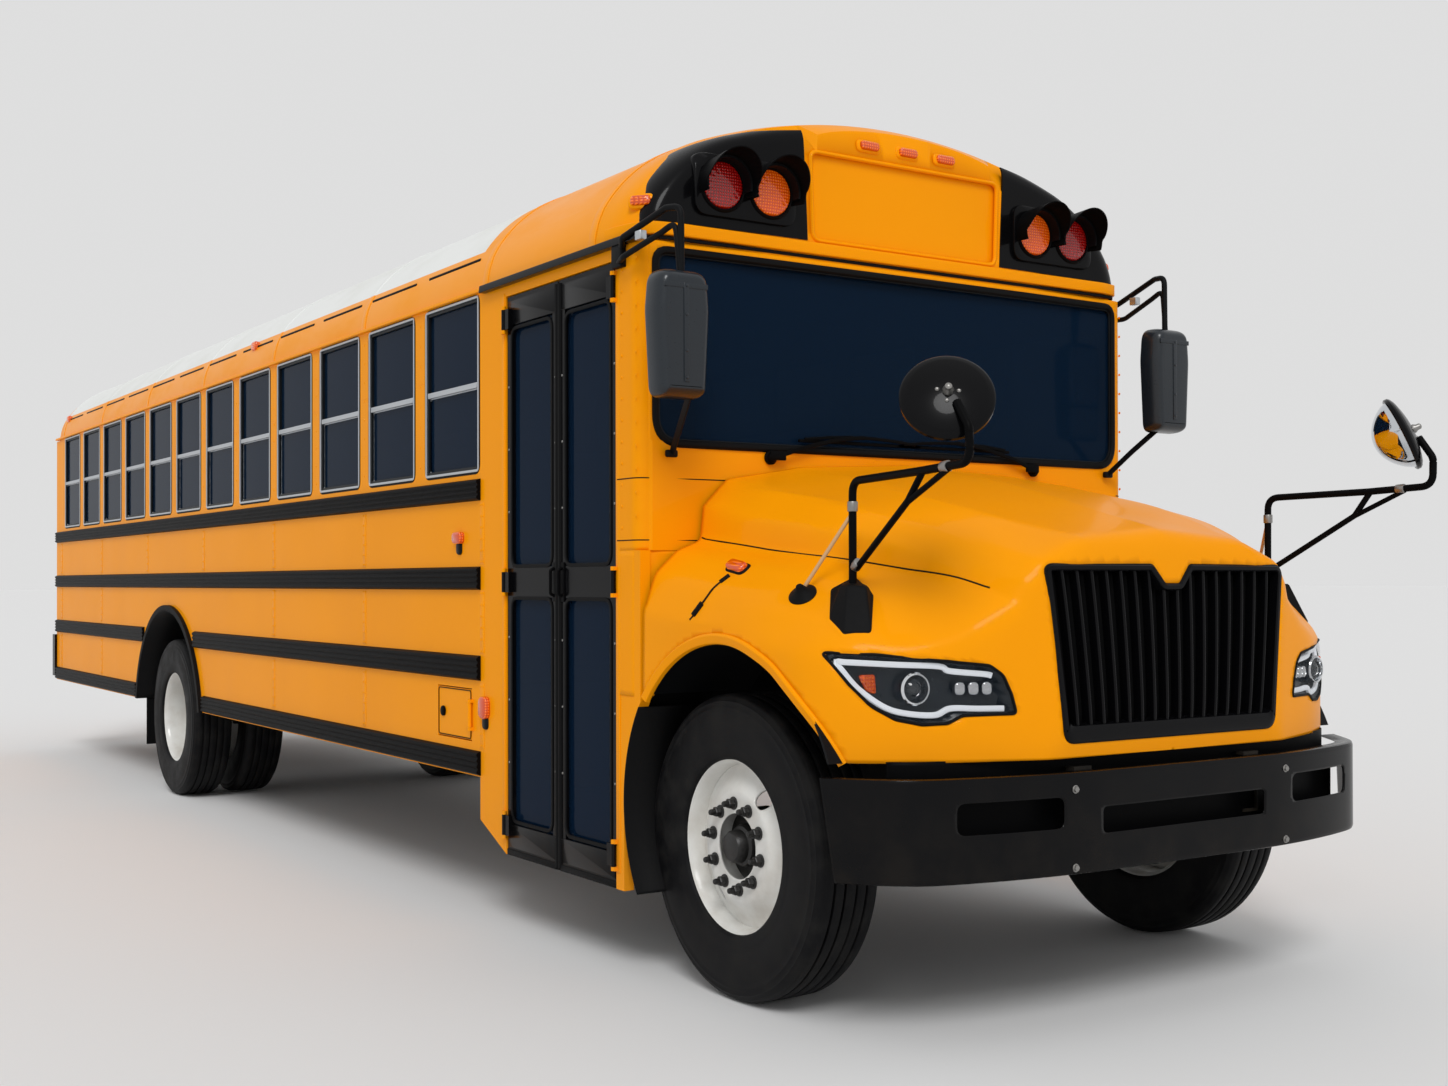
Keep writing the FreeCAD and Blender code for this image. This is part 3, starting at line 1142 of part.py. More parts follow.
def fuel_tank():
    """Tank between the rails behind the rear axle, hung from two straps."""
    x = RAIL_OUTER_X - RAIL_WEB
    y = (WHEELBASE + 1170, WHEELBASE + 2110)
    tank = box((-320, 320), y, (480, RAIL_TOP_Z - 40))
    straps = [box((-x, x), (low, low + 50), (RAIL_TOP_Z - 75, RAIL_TOP_Z - 45))
              for low in (y[0] + 130, y[1] - 210)]
    return fused([tank] + straps)


def exhaust():
    """Silencer and pipes on the driver's side of the frame, as one piece."""
    x, z, radius = 560, 540, 45
    pipe = bent_tube([(ENGINE_HALF, 100, 880), (480, 100, 880), (510, 560, 560),
                      (x, 1000, z), (x, 2500, z)], radius, 60)
    can = rod((x, 2480, z), (x, 3500, z), 130)
    end = WHEELBASE - 850
    tail = rod((x, 3480, z), (x, end, z), radius)
    turn_out = bent_tube([(x, end - 10, z), (x, end + 100, z), (x + 120, end + 160, z - 60)],
                         radius, 60)
    hangers = [box((RAIL_OUTER_X, x), (y, y + 30), (z, RAIL_BOTTOM_Z + 60))
               for y in (2700, 3300, end - 800)]
    return fused([pipe, can, tail, turn_out] + hangers)


BATTERY_BOX_X = (760, BODY_HALF_WIDTH - 50)


def battery_box():
    """Battery tray behind its door, hung from the floor, with two battery blocks."""
    y = (BATTERY_DOOR_Y[0] + 10, BATTERY_DOOR_Y[1] - 10)
    x = BATTERY_BOX_X
    bottom, top = BATTERY_DOOR_Z[0] - 20, FLOOR_TOP_Z - FLOOR_THICKNESS
    tray = box(x, y, (bottom, bottom + 8))
    sides = [box(x, (edge, edge + 8), (bottom, top)) for edge in (y[0], y[1] - 8)]
    cells = [box((x[0] + 20, x[1] - 30), (low, low + 150), (bottom + 8, bottom + 200))
             for low in (y[0] + 12, y[0] + 168)]
    return mirrored(fused([tray] + sides + cells))


# ---- cabin --------------------------------------------------------------------------

SEAT_X = (175, BODY_HALF_WIDTH - 50)
SEAT_FIRST_Y = 1800
SEAT_DEPTH = 430
SEAT_BACK = 90
SEAT_Z = (1300, 1420)
SEAT_BACK_TOP_Z = 2000
SEAT_LEG_X = (230, 290)
DRIVER_X = (300, 800)
DRIVER_SEAT_Y = 1120


def seats():
    """Passenger cushions and backs, and the driver's."""
    pads = []
    for i in range(WINDOW_COUNT - 1):
        y = SEAT_FIRST_Y + i * WINDOW_PITCH
        side = [(y, SEAT_Z[0]), (y + SEAT_DEPTH, SEAT_Z[0]),
                (y + SEAT_DEPTH + SEAT_BACK, SEAT_Z[0]),
                (y + SEAT_DEPTH + SEAT_BACK + 60, SEAT_BACK_TOP_Z),
                (y + SEAT_DEPTH + 80, SEAT_BACK_TOP_Z), (y + SEAT_DEPTH, SEAT_Z[1]),
                (y, SEAT_Z[1])]
        pads.append(plate(side, "x", *SEAT_X))
    pads = both_sides(pads)
    y, z = DRIVER_SEAT_Y, 1390
    side = [(y, z), (y + 480, z), (y + 590, z + 720), (y + 500, z + 720), (y + 400, z + 110),
            (y, z + 110)]
    pads.append(plate(side, "x", *DRIVER_X))
    return pads


def seat_frames():
    """A leg at the aisle end of each seat, a rail along each wall, the driver's pedestal."""
    x = WALL_X[0]
    frames = []
    for i in range(WINDOW_COUNT - 1):
        y = SEAT_FIRST_Y + i * WINDOW_PITCH
        frames.append(box(SEAT_LEG_X, (y + 60, y + 400), (FLOOR_TOP_Z, SEAT_Z[0])))
    last = SEAT_FIRST_Y + (WINDOW_COUNT - 2) * WINDOW_PITCH + SEAT_DEPTH + SEAT_BACK
    frames.append(box((SEAT_X[1] - 60, x), (SEAT_FIRST_Y, last), (SEAT_Z[0] - 40, SEAT_Z[0])))
    frames = both_sides(frames)
    middle = (DRIVER_X[0] + DRIVER_X[1]) / 2
    frames.append(box((middle - 120, middle + 120), (DRIVER_SEAT_Y + 100, DRIVER_SEAT_Y + 380),
                      (FLOOR_TOP_Z, 1390)))
    return frames


WHEEL_HUB = (550, 900, 1750)       # centre of the steering wheel
COLUMN_TILT = math.radians(50)     # of the column above the horizontal
STEERING_WHEEL_RADIUS = 225
COLUMN_RADIUS = 30
COLUMN_SHAFT = 12


def column_way():
    """Direction of the steering column, up towards the driver."""
    return Vector(0, math.cos(COLUMN_TILT), math.sin(COLUMN_TILT))


def dashboard():
    """Dashboard across the firewall, with the steering column and its shaft."""
    side = [(460, 1300), (640, 1300), (700, 1560), (640, 1700), (460, 1800)]
    board = plate(side, "x", -500, WALL_X[0])
    way = column_way()
    hub = Vector(*WHEEL_HUB)
    column = Part.makeCylinder(COLUMN_RADIUS, 380, hub - way * 420, way)
    shaft = Part.makeCylinder(COLUMN_SHAFT, 60, hub - way * 60, way)
    return fused([board, column, shaft])


def steering_wheel():
    """Rim, two spokes and hub, turning on the column's shaft."""
    way = column_way()
    hub = Vector(*WHEEL_HUB)
    ring = Part.makeTorus(STEERING_WHEEL_RADIUS, 16, hub, way)
    spokes = []
    across = Vector(1, 0, 0)
    for sign in (1, -1):
        spokes.append(Part.makeCylinder(11, STEERING_WHEEL_RADIUS, hub, across * sign))
    down = way.cross(across)
    spokes.append(Part.makeCylinder(11, STEERING_WHEEL_RADIUS, hub, down))
    boss = Part.makeCylinder(42, 60, hub - way * 35, way)
    shape = fused([ring, boss] + spokes)
    bore = Part.makeCylinder(COLUMN_SHAFT + 0.05, 100, hub - way * 98, way)
    return shape.cut(bore)


# ---- doors and lids ------------------------------------------------------------------

ENTRY_HINGE_X = -BODY_HALF_WIDTH - 11
ENTRY_HINGE_IN = 2              # from the jamb's edge to the hinge axis
ENTRY_HINGE_Z = (420, 1390, 2440)
ENTRY_HINGE_HALF = 40
REAR_HINGE = (-REAR_DOOR_HALF, REAR_FACE_Y + 11)    # (x, y)
REAR_HINGE_Z = (1180, 1735, 2330)
REAR_HINGE_HALF = 50

LEAF_THICKNESS = 35
LEAF_RIM = 45
LEAF_BAR_Z = (1330, 1450)
DOOR_GLASS = 6
MEETING_GAP = 6                 # from each entrance leaf's free edge to the middle


def door_leaf(y):
    """One entrance leaf between y[0] and y[1], with its two panes."""
    x = (-BODY_HALF_WIDTH + RUN_GAP, -BODY_HALF_WIDTH + RUN_GAP + LEAF_THICKNESS)
    z = (DOOR_SILL_Z, DOOR_HEAD_Z - RUN_GAP)
    leaf = box(x, y, z)
    panes = []
    for low, high in ((z[0] + LEAF_RIM, LEAF_BAR_Z[0]), (LEAF_BAR_Z[1], z[1] - LEAF_RIM)):
        opening = (y[0] + LEAF_RIM, y[1] - LEAF_RIM)
        leaf = leaf.cut(box((x[0] - 1, x[1] + 1), opening, (low, high)))
        middle = (x[0] + x[1]) / 2
        panes.append(box((middle - DOOR_GLASS / 2, middle + DOOR_GLASS / 2), opening,
                         (low, high)))
    return leaf, panes


def entry_leaves():
    """The two leaves that meet in the middle of the entrance."""
    middle = (JAMB_FRONT_Y + JAMB_REAR_Y) / 2
    front, front_panes = door_leaf((JAMB_FRONT_Y + RUN_GAP, middle - MEETING_GAP))
    rear, rear_panes = door_leaf((middle + MEETING_GAP, JAMB_REAR_Y - RUN_GAP))
    leaves = []
    for leaf, edge, way in ((front, JAMB_FRONT_Y, 1), (rear, JAMB_REAR_Y, -1)):
        for z in ENTRY_HINGE_Z:
            hinge_y = edge + way * ENTRY_HINGE_IN
            barrel = hinge_barrel((ENTRY_HINGE_X, hinge_y, z), (0, 0, 1), ENTRY_HINGE_HALF)
            strap = box((ENTRY_HINGE_X - 2, -BODY_HALF_WIDTH + RUN_GAP + 1),
                        sorted((hinge_y + way * 8, hinge_y + way * 45)),
                        (z - ENTRY_HINGE_HALF, z + ENTRY_HINGE_HALF))
            leaf = leaf.fuse([barrel, strap])
        leaves.append(leaf.removeSplitter())
    return (leaves[0], front_panes), (leaves[1], rear_panes)


def entry_pins(edge, way):
    """Fixed pins of one leaf's hinges, with blocks on the jamb whose edge is at `edge`."""
    pins = []
    y = edge + way * ENTRY_HINGE_IN
    for z in ENTRY_HINGE_Z:
        pins.append(hinge_pin((ENTRY_HINGE_X, y, z), (0, 0, 1), ENTRY_HINGE_HALF))
        for low in (z + ENTRY_HINGE_HALF + 1, z - ENTRY_HINGE_HALF - 1 - HINGE_EAR):
            pins.append(box((ENTRY_HINGE_X - 4, -BODY_HALF_WIDTH + 1),
                            sorted((y, edge - way * 14)), (low, low + HINGE_EAR)))
    return pins


def rear_door():
    """Emergency door in the rear wall, with an upper and a lower pane."""
    x = (-REAR_DOOR_HALF + RUN_GAP, REAR_DOOR_HALF - RUN_GAP)
    z = (REAR_DOOR_Z[0] + RUN_GAP, REAR_DOOR_Z[1] - RUN_GAP)
    y = (REAR_FACE_Y - 38, REAR_FACE_Y - 2)
    door = box(x, y, z)
    panes = []
    for low, high in ((1150, 1620), REAR_PANE_Z):
        opening = (x[0] + 80, x[1] - 80)
        door = door.cut(box(opening, (y[0] - 1, y[1] + 1), (low, high)))
        panes.append(box(opening, (REAR_FACE_Y - 23, REAR_FACE_Y - 17), (low, high)))
    pieces = [door, box((x[1] - 60, x[1] - 30), (y[1], y[1] + 30), (1680, 1820))]
    hinge_x, hinge_y = REAR_HINGE
    for z_hinge in REAR_HINGE_Z:
        pieces.append(hinge_barrel((hinge_x, hinge_y, z_hinge), (0, 0, 1), REAR_HINGE_HALF))
        pieces.append(box((hinge_x + 8, hinge_x + 60), (y[1] - 1, hinge_y + 2),
                          (z_hinge - REAR_HINGE_HALF, z_hinge + REAR_HINGE_HALF)))
    return fused(pieces), panes


def roof_hatch(y):
    """Lid over a roof hatch opening, turned down over the rim."""
    half = HATCH_HALF + 20 + 2 * RUN_GAP
    low = ROOF_TOP_Z + 2
    outer = box((-half - 12, half + 12), (y + HATCH_HALF - half - 12, y + HATCH_HALF + half + 12),
                (low, ROOF_TOP_Z + HATCH_RIM + 30))
    upper = [edge for edge in outer.Edges if edge.CenterOfMass.z > ROOF_TOP_Z + HATCH_RIM + 29]
    outer = outer.makeFillet(14, upper)
    inner = box((-half, half), (y + HATCH_HALF - half, y + HATCH_HALF + half),
                (low - 1, ROOF_TOP_Z + HATCH_RIM))
    hinge_y, hinge_z = y - HATCH_HINGE_BACK, HATCH_HINGE_Z
    barrel = hinge_barrel((0, hinge_y, hinge_z), (1, 0, 0), HATCH_HINGE_HALF)
    strap = box((-HATCH_HINGE_HALF, HATCH_HINGE_HALF),
                (hinge_y + 7, y + HATCH_HALF - half - 8), (hinge_z, hinge_z + 8))
    return fused([outer.cut(inner), barrel, strap])


def battery_door():
    """Flush door over the battery box."""
    gap = RUN_GAP
    panel = mirrored(box((BODY_HALF_WIDTH - 18, BODY_HALF_WIDTH - 1),
                         (BATTERY_DOOR_Y[0] + gap, BATTERY_DOOR_Y[1] - gap),
                         (BATTERY_DOOR_Z[0] + gap, BATTERY_DOOR_Z[1] - gap)))
    hinge_x, hinge_y = BATTERY_HINGE
    middle = sum(BATTERY_DOOR_Z) / 2
    barrel = hinge_barrel((hinge_x, hinge_y, middle), (0, 0, 1), BATTERY_HINGE_HALF)
    strap = box((hinge_x - 2, -BODY_HALF_WIDTH + 2), (hinge_y + 8, hinge_y + 40),
                (middle - BATTERY_HINGE_HALF, middle + BATTERY_HINGE_HALF))
    return fused([panel, barrel, strap])


# ---- all nodes ----------------------------------------------------------------------


def main():
    os.makedirs("parts", exist_ok=True)
    rails, members = frame()
    save("frame_rails", rails)
    save("crossmembers", members)
    save("floor", floor())
    save("roof", roof())
    save("front_cap", front_cap())
    save("rear_cap", rear_cap())
    save("side_wall_left", side_wall_left())
    save("side_wall_right", side_wall_right())
    save("cowl", cowl())
    save("rear_wall", rear_wall())
    save("window_frames", window_frames())
    save("body_glass", body_glass())
    save("rub_rails", rub_rails())
    save("rubber_trims", rubber_trims())
    save("front_bumper", front_bumper())
    save("rear_bumper", rear_bumper())
    amber, red, lamp_hoods = lamps()
    save("amber_lamps", amber)
    save("red_lamps", red)
    save("lamp_hoods", lamp_hoods + [stop_bracket()])
    save("side_mirrors", side_mirrors())
    save("wipers", wipers())
    save("front_axle", front_axle())
    save("rear_axle", rear_axle())
    save("leaf_springs", leaf_springs())
    save("engine", engine())
    save("radiator", radiator())
    save("drive_shaft", drive_shaft())
    save("fuel_tank", fuel_tank())
    save("exhaust", exhaust())
    save("battery_box", battery_box())
    save("seats", seats())
    save("seat_frames", seat_frames())
    save("dashboard", dashboard())
    save("steering_wheel", steering_wheel())

    shell, front, headlamps = hood()
    save("hood", shell)
    save("grille", grille(front))
    save("headlamps", headlamps)
    save("hood_liners", hood_liners())
    save("cross_mirrors", cross_mirrors())

    front_tyre, front_rim = front_wheel()
    rear_tyres, rear_rim = rear_wheel()
    for side, place in (("left", lambda s: s), ("right", mirrored)):
        save("knuckle_" + side, place(knuckle()))
        save("front_tyre_" + side, place(front_tyre))
        save("front_rim_" + side, place(front_rim))
        save("rear_tyres_" + side, [place(t) for t in rear_tyres])
        save("rear_rim_" + side, place(rear_rim))
    save("tie_rod", tie_rod())

    for name, (leaf, panes) in zip(("front", "rear"), entry_leaves()):
        save("entry_leaf_" + name, leaf)
        save("entry_glass_" + name, panes)
    door, panes = rear_door()
    save("rear_door", door)
    save("rear_door_glass", panes)
    for name, y in zip(("front", "rear"), HATCH_FRONT_Y):
        save("roof_hatch_" + name, roof_hatch(y))
    save("battery_door", battery_door())
    save("stop_arm", stop_arm())


main()
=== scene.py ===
import json
import math
import bmesh
import bpy
import numpy as np
from mathutils import Matrix, Vector


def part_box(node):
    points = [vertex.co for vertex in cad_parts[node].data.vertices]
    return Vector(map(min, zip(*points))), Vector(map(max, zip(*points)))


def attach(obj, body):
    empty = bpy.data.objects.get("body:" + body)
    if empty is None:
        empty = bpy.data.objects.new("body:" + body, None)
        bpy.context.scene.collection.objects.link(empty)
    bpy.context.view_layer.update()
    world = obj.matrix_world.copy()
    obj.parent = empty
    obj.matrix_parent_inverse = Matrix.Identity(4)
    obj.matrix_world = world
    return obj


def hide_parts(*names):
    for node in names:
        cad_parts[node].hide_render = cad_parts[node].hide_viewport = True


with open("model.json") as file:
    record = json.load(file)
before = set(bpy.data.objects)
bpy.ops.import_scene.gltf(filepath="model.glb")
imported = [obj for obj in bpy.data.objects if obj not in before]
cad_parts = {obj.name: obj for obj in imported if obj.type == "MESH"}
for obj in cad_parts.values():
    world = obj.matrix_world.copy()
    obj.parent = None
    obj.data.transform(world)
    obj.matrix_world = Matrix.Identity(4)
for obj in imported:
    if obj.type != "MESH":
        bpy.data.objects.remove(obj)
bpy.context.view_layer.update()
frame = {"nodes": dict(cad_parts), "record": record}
NODES = frame["nodes"]


def middle(node):
    """Middle of a node's box."""
    low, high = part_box(node)
    return (np.array(low) + np.array(high)) / 2


# All shapes are worked out in metres with y = 0 at the front axle, then moved by AXLE_Y.
AXLE_Y = float(middle("front_tyre_left")[1])
REAR_AXLE = float(middle("rear_tyres_left")[1]) - AXLE_Y
WHEEL_Z = float(middle("front_tyre_left")[2])
HALF = 1.2                      # outer faces of the side walls
LEFT, RIGHT = 1, -1             # driver's side and kerb side
SIDES = (LEFT, RIGHT)
FORWARD, REARWARD, OUTWARD = (0, -1, 0), (0, 1, 0), (1, 0, 0)

# ---- meshes ---------------------------------------------------------------------------


def grid_faces(rows, cols, wrap_rows=False, wrap_cols=False):
    """Quads between neighbours on a rows x cols grid of points numbered row by row."""
    r = np.arange(rows if wrap_rows else rows - 1)
    c = np.arange(cols if wrap_cols else cols - 1)
    a, b = r[:, None], c[None, :]
    a2, b2 = (a + 1) % rows, (b + 1) % cols
    quads = np.stack([a * cols + b, a2 * cols + b, a2 * cols + b2, a * cols + b2], -1)
    return quads.reshape(-1, 4).tolist()


def grid(points, wrap_rows=False, wrap_cols=False, cap_rows=False):
    """(points, faces) of a grid of points; cap_rows closes its first and last row by a face."""
    rows, cols = points.shape[:2]
    faces = grid_faces(rows, cols, wrap_rows, wrap_cols)
    if cap_rows:
        faces.append(list(range(cols)))
        faces.append(list(range((rows - 1) * cols, rows * cols))[::-1])
    return points.reshape(-1, 3), faces


def loft(rings):
    """Closed body through rings of points, with a face at either end."""
    return grid(np.stack(rings), wrap_cols=True, cap_rows=True)


def join(parts):
    """One (points, faces) from several."""
    points, faces, start = [], [], 0
    for part_points, part_faces in parts:
        points.append(part_points)
        faces += [[i + start for i in face] for face in part_faces]
        start += len(part_points)
    return np.concatenate(points), faces


def flipped(part):
    """The same faces, looking the other way."""
    return part[0], [face[::-1] for face in part[1]]


def moved(part, by=(0, 0, 0), scale=(1, 1, 1)):
    """Points times scale plus by; a mirror keeps its faces outwards."""
    points = part[0] * np.array(scale, float) + np.array(by, float)
    return (points, part[1]) if np.prod(scale) > 0 else flipped((points, part[1]))


def kerb(part):
    """The mirror image of a part across the middle of the bus."""
    return moved(part, scale=(-1, 1, 1))


def both(part):
    """The part and its mirror image."""
    return join([part, kerb(part)])


def repeated(part, places):
    """Copies of a small part, one at each place."""
    places = np.array(places, float)
    count = len(part[0])
    points = (part[0][None] + places[:, None]).reshape(-1, 3)
    faces = [[i + n * count for i in face] for n in range(len(places)) for face in part[1]]
    return points, faces


def piece(name, part, finish, body="body", replaces="", smooth=35, wall=0.0,
          recalc=True):
    """Makes the object of a part, gives it its finish and puts it on its body.

    smooth is the angle in degrees above which an edge stays sharp, and wall is the
    thickness that a sheet gets on its inner side."""
    points, faces = part
    mesh = bpy.data.meshes.new(name)
    mesh.from_pydata((points + np.array([0, AXLE_Y, 0])).tolist(), [], faces)
    mesh.validate()
    made = bpy.data.objects.new(name, mesh)
    bpy.context.collection.objects.link(made)
    for material in finish if isinstance(finish, list) else [finish]:
        mesh.materials.append(material)
    if recalc:
        outwards(mesh)
    mesh.shade_smooth()
    mesh.set_sharp_from_angle(angle=math.radians(smooth))
    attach(made, body)
    if replaces:
        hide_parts(replaces)
    if wall:
        solid = made.modifiers.new("wall", "SOLIDIFY")
        solid.thickness = wall
        solid.offset = -1
    return made


def outwards(mesh):
    """Merges doubled points and turns every face outwards."""
    work = bmesh.new()
    work.from_mesh(mesh)
    bmesh.ops.remove_doubles(work, verts=work.verts, dist=1e-5)
    bmesh.ops.recalc_face_normals(work, faces=work.faces)
    work.to_mesh(mesh)
    work.free()


# ---- curves and profiles --------------------------------------------------------------


def unit(vectors):
    """Vectors scaled to length 1 along the last axis."""
    return vectors / np.maximum(np.linalg.norm(vectors, axis=-1, keepdims=True), 1e-12)


def eased(points, count):
    """A smooth curve of `count` points through the given ones.

    Catmull-Rom: between p1 and p2 the point at t is the cubic with end slopes
    (p2 - p0) / 2 and (p3 - p1) / 2; the points are spaced evenly by chord length."""
    p = np.array(points, float)
    p = np.vstack([2 * p[0] - p[1], p, 2 * p[-1] - p[-2]])
    spans = len(p) - 3
    s = np.linspace(0, spans, 40 * spans + 1)
    i = np.minimum(s.astype(int), spans - 1)
    t = (s - i)[:, None]
    p0, p1, p2, p3 = p[i], p[i + 1], p[i + 2], p[i + 3]
    fine = 0.5 * (2 * p1 + (p2 - p0) * t + (2 * p0 - 5 * p1 + 4 * p2 - p3) * t ** 2
                  + (3 * p1 - p0 - 3 * p2 + p3) * t ** 3)
    return spaced(fine, count)


def spaced(points, count, closed=False):
    """`count` points at equal steps along a polyline; a closed one leaves out its end."""
    p = np.array(points, float)
    steps = np.linalg.norm(np.diff(p, axis=0), axis=1)
    along = np.concatenate([[0], np.cumsum(steps)])
    want = np.linspace(0, along[-1], count + 1)[:-1] if closed else np.linspace(0, along[-1], count)
    return np.stack([np.interp(want, along, p[:, k]) for k in range(p.shape[1])], -1)


def rounded(points, radius, steps=5, closed=True):
    """A polygon with its corners rounded off by `radius`, or by one radius for each corner.

    Each corner becomes the quadratic curve that leaves one side and meets the next
    at the radius's tangent points, but never past the middle of a side."""
    p = np.array(points, float)
    n = len(p)
    radii = np.broadcast_to(np.array(radius, float), (n,))
    t = np.linspace(0, 1, steps + 1)[:, None]
    out = []
    for i in range(n):
        if not closed and i in (0, n - 1):
            out.append(p[i][None])
            continue
        before, here, after = p[i - 1], p[i], p[(i + 1) % n]
        a, b = before - here, after - here
        la, lb = np.linalg.norm(a), np.linalg.norm(b)
        cosine = np.clip(a @ b / (la * lb), -1, 1)
        cut = radii[i] / max(math.tan(math.acos(cosine) / 2), 1e-3)
        cut = min(cut, la * 0.49, lb * 0.49)
        start, end = here + a / la * cut, here + b / lb * cut
        out.append((1 - t) ** 2 * start + 2 * t * (1 - t) * here + t ** 2 * end)
    return np.concatenate(out)


def rectangle(across, up, radius, steps):
    """Outline of a rectangle between (low, high) pairs, with rounded corners."""
    (a0, a1), (b0, b1) = across, up
    return rounded([(a0, b0), (a1, b0), (a1, b1), (a0, b1)], radius, steps)


def turn_steps(count):
    """Angles of one full turn in equal steps."""
    return np.linspace(0, 2 * math.pi, count, endpoint=False)


def points_at(*coordinates):
    """Points from their coordinates, which may be numbers or arrays that fit together."""
    return np.stack(np.broadcast_arrays(*coordinates), -1)


def inset(outline, by):
    """A closed flat outline moved inwards by `by` along its own normals (anticlockwise)."""
    p = np.array(outline, float)
    into = unit(p - np.roll(p, 1, axis=0))
    away = unit(np.roll(p, -1, axis=0) - p)
    normal_a = points_at(-into[:, 1], into[:, 0])
    normal_b = points_at(-away[:, 1], away[:, 0])
    mean = unit(normal_a + normal_b)
    stretch = 1 / np.maximum((mean * normal_a).sum(-1, keepdims=True), 0.4)
    return p + mean * stretch * by


def anticlockwise(outline):
    """The outline in anticlockwise order."""
    p = np.array(outline, float)
    x, y = p[:, 0], p[:, 1]
    turn = (x * np.roll(y, -1) - np.roll(x, -1) * y).sum()
    return p if turn > 0 else p[::-1]


def grown(pair, by):
    """A (low, high) pair made longer by `by` at both ends."""
    return pair[0] - by, pair[1] + by


PLANES = {"x": (1, 2, 0), "y": (2, 0, 1), "z": (0, 1, 2)}       # its two axes, then the one across


def slab(outline, axis, levels):
    """Closed plate whose outline runs across `axis`; levels are (position, inset) rings.

    The outline is given in the plane's own order: (y, z) across x, (x, z) across y and
    (x, y) across z. Each ring is the outline moved in by its inset; faces close both ends."""
    outline = np.array(outline, float)
    if axis == "y":
        outline = outline[:, ::-1]
    outline = anticlockwise(outline)
    first, second, along = PLANES[axis]
    rings = np.zeros((len(levels), len(outline), 3))
    for ring, (position, by) in zip(rings, levels):
        ring[:, (first, second)] = inset(outline, by)
        ring[:, along] = position
    if levels[-1][0] < levels[0][0]:
        rings = rings[::-1]
    return flipped(loft(rings))


def bevelled(outline, axis, low, high, edge=0.003):
    """A slab with its edges rounded by `edge`."""
    e = edge * 0.3
    return slab(outline, axis, [(low, edge), (low + e, e), (low + edge, 0),
                                (high - edge, 0), (high - e, e), (high, edge)])


def block(x, y, z, edge=0.004, axis="z"):
    """Box between (low, high) pairs with rounded edges."""
    across, up, along = {"x": (y, z, x), "y": (x, z, y), "z": (x, y, z)}[axis]
    return bevelled(rectangle(across, up, edge * 1.5, 4), axis, *along, edge)


def lathe(profile, centre=(0, 0, 0), axis=FORWARD, sides=48, closed=False):
    """Surface of revolution: profile points are (distance along axis, radius)."""
    profile = np.array(profile, float)
    way = unit(np.array(axis, float))
    helper = np.array([0, 0, 1.0]) if abs(way[2]) < 0.9 else np.array([1.0, 0, 0])
    across = unit(np.cross(helper, way))
    up = np.cross(way, across)
    angle = turn_steps(sides)
    ring = np.cos(angle)[:, None] * across + np.sin(angle)[:, None] * up
    points = (np.array(centre, float) + profile[:, 0, None, None] * way
              + profile[:, 1, None, None] * ring[None])
    return flipped(grid(points, wrap_rows=closed, wrap_cols=True, cap_rows=not closed))


def disc_profile(low, high, radius, edge=0.003):
    """Profile of a short round bar with rounded rims, for `lathe`."""
    e = edge * 0.3
    return [(low, radius - edge), (low + e, radius - e), (low + edge, radius),
            (high - edge, radius), (high - e, radius - e), (high, radius - edge)]


def swept(path, section, closed=False, up=(0, 0, 1)):
    """A flat section carried along a path; the section's points are (across, up).

    At each path point the section stands square to the path, its second axis as
    near to `up` as it can be."""
    path = np.array(path, float)
    if closed:
        way = unit(np.roll(path, -1, axis=0) - np.roll(path, 1, axis=0))
    else:
        way = unit(np.gradient(path, axis=0))
    across = unit(np.cross(way, np.broadcast_to(np.array(up, float), path.shape)))
    rise = np.cross(across, way)
    section = np.array(section, float)
    points = (path[:, None] + section[None, :, 0, None] * across[:, None]
              + section[None, :, 1, None] * rise[:, None])
    return grid(points, wrap_rows=closed, wrap_cols=True, cap_rows=not closed)


def circle(radius, sides=12):
    """Points round a circle, in the order that `swept` takes."""
    angle = turn_steps(sides)
    return points_at(radius * np.cos(angle), radius * np.sin(angle))


def tube(path, radius, sides=12, up=(0, 0, 1)):
    """Round bar along a path."""
    return swept(path, circle(radius, sides), up=up)


def bent(points, bend, step=8):
    """A path of straight runs with rounded bends."""
    return rounded(points, bend, step, closed=False)

# ---- finishes -------------------------------------------------------------------------


def paint(*rgb):
    """A colour given as 0 to 255 on a screen, as the linear one that shaders take."""
    c = np.array(rgb, float) / 255
    return (*np.where(c <= 0.04045, c / 12.92, ((c + 0.055) / 1.055) ** 2.4).tolist(), 1.0)


class Value:
    """A shader socket's value; arithmetic on it adds Math nodes."""

    def __init__(self, finish, socket):
        self.finish, self.socket = finish, socket

    def math(self, operation, *values):
        """The result of a Math node with these inputs."""
        return self.finish.add("ShaderNodeMath", {"operation": operation}, dict(enumerate(values)))

    def __add__(self, other):
        return self.math("ADD", self, other)

    def __sub__(self, other):
        return self.math("SUBTRACT", self, other)

    def __rsub__(self, other):
        return self.math("SUBTRACT", other, self)

    def __mul__(self, other):
        return self.math("MULTIPLY", self, other)

    def step(self, low, high):
        """0 below low, 1 above high, smooth between."""
        return self.finish.add("ShaderNodeMapRange", {"interpolation_type": "SMOOTHSTEP"},
                               {"Value": self, "From Min": low, "From Max": high})

    def wave(self, period):
        """A sine of this value with the given period, from 0 to 1."""
        return self.math("SINE", self * (2 * math.pi / period)) * 0.5 + 0.5


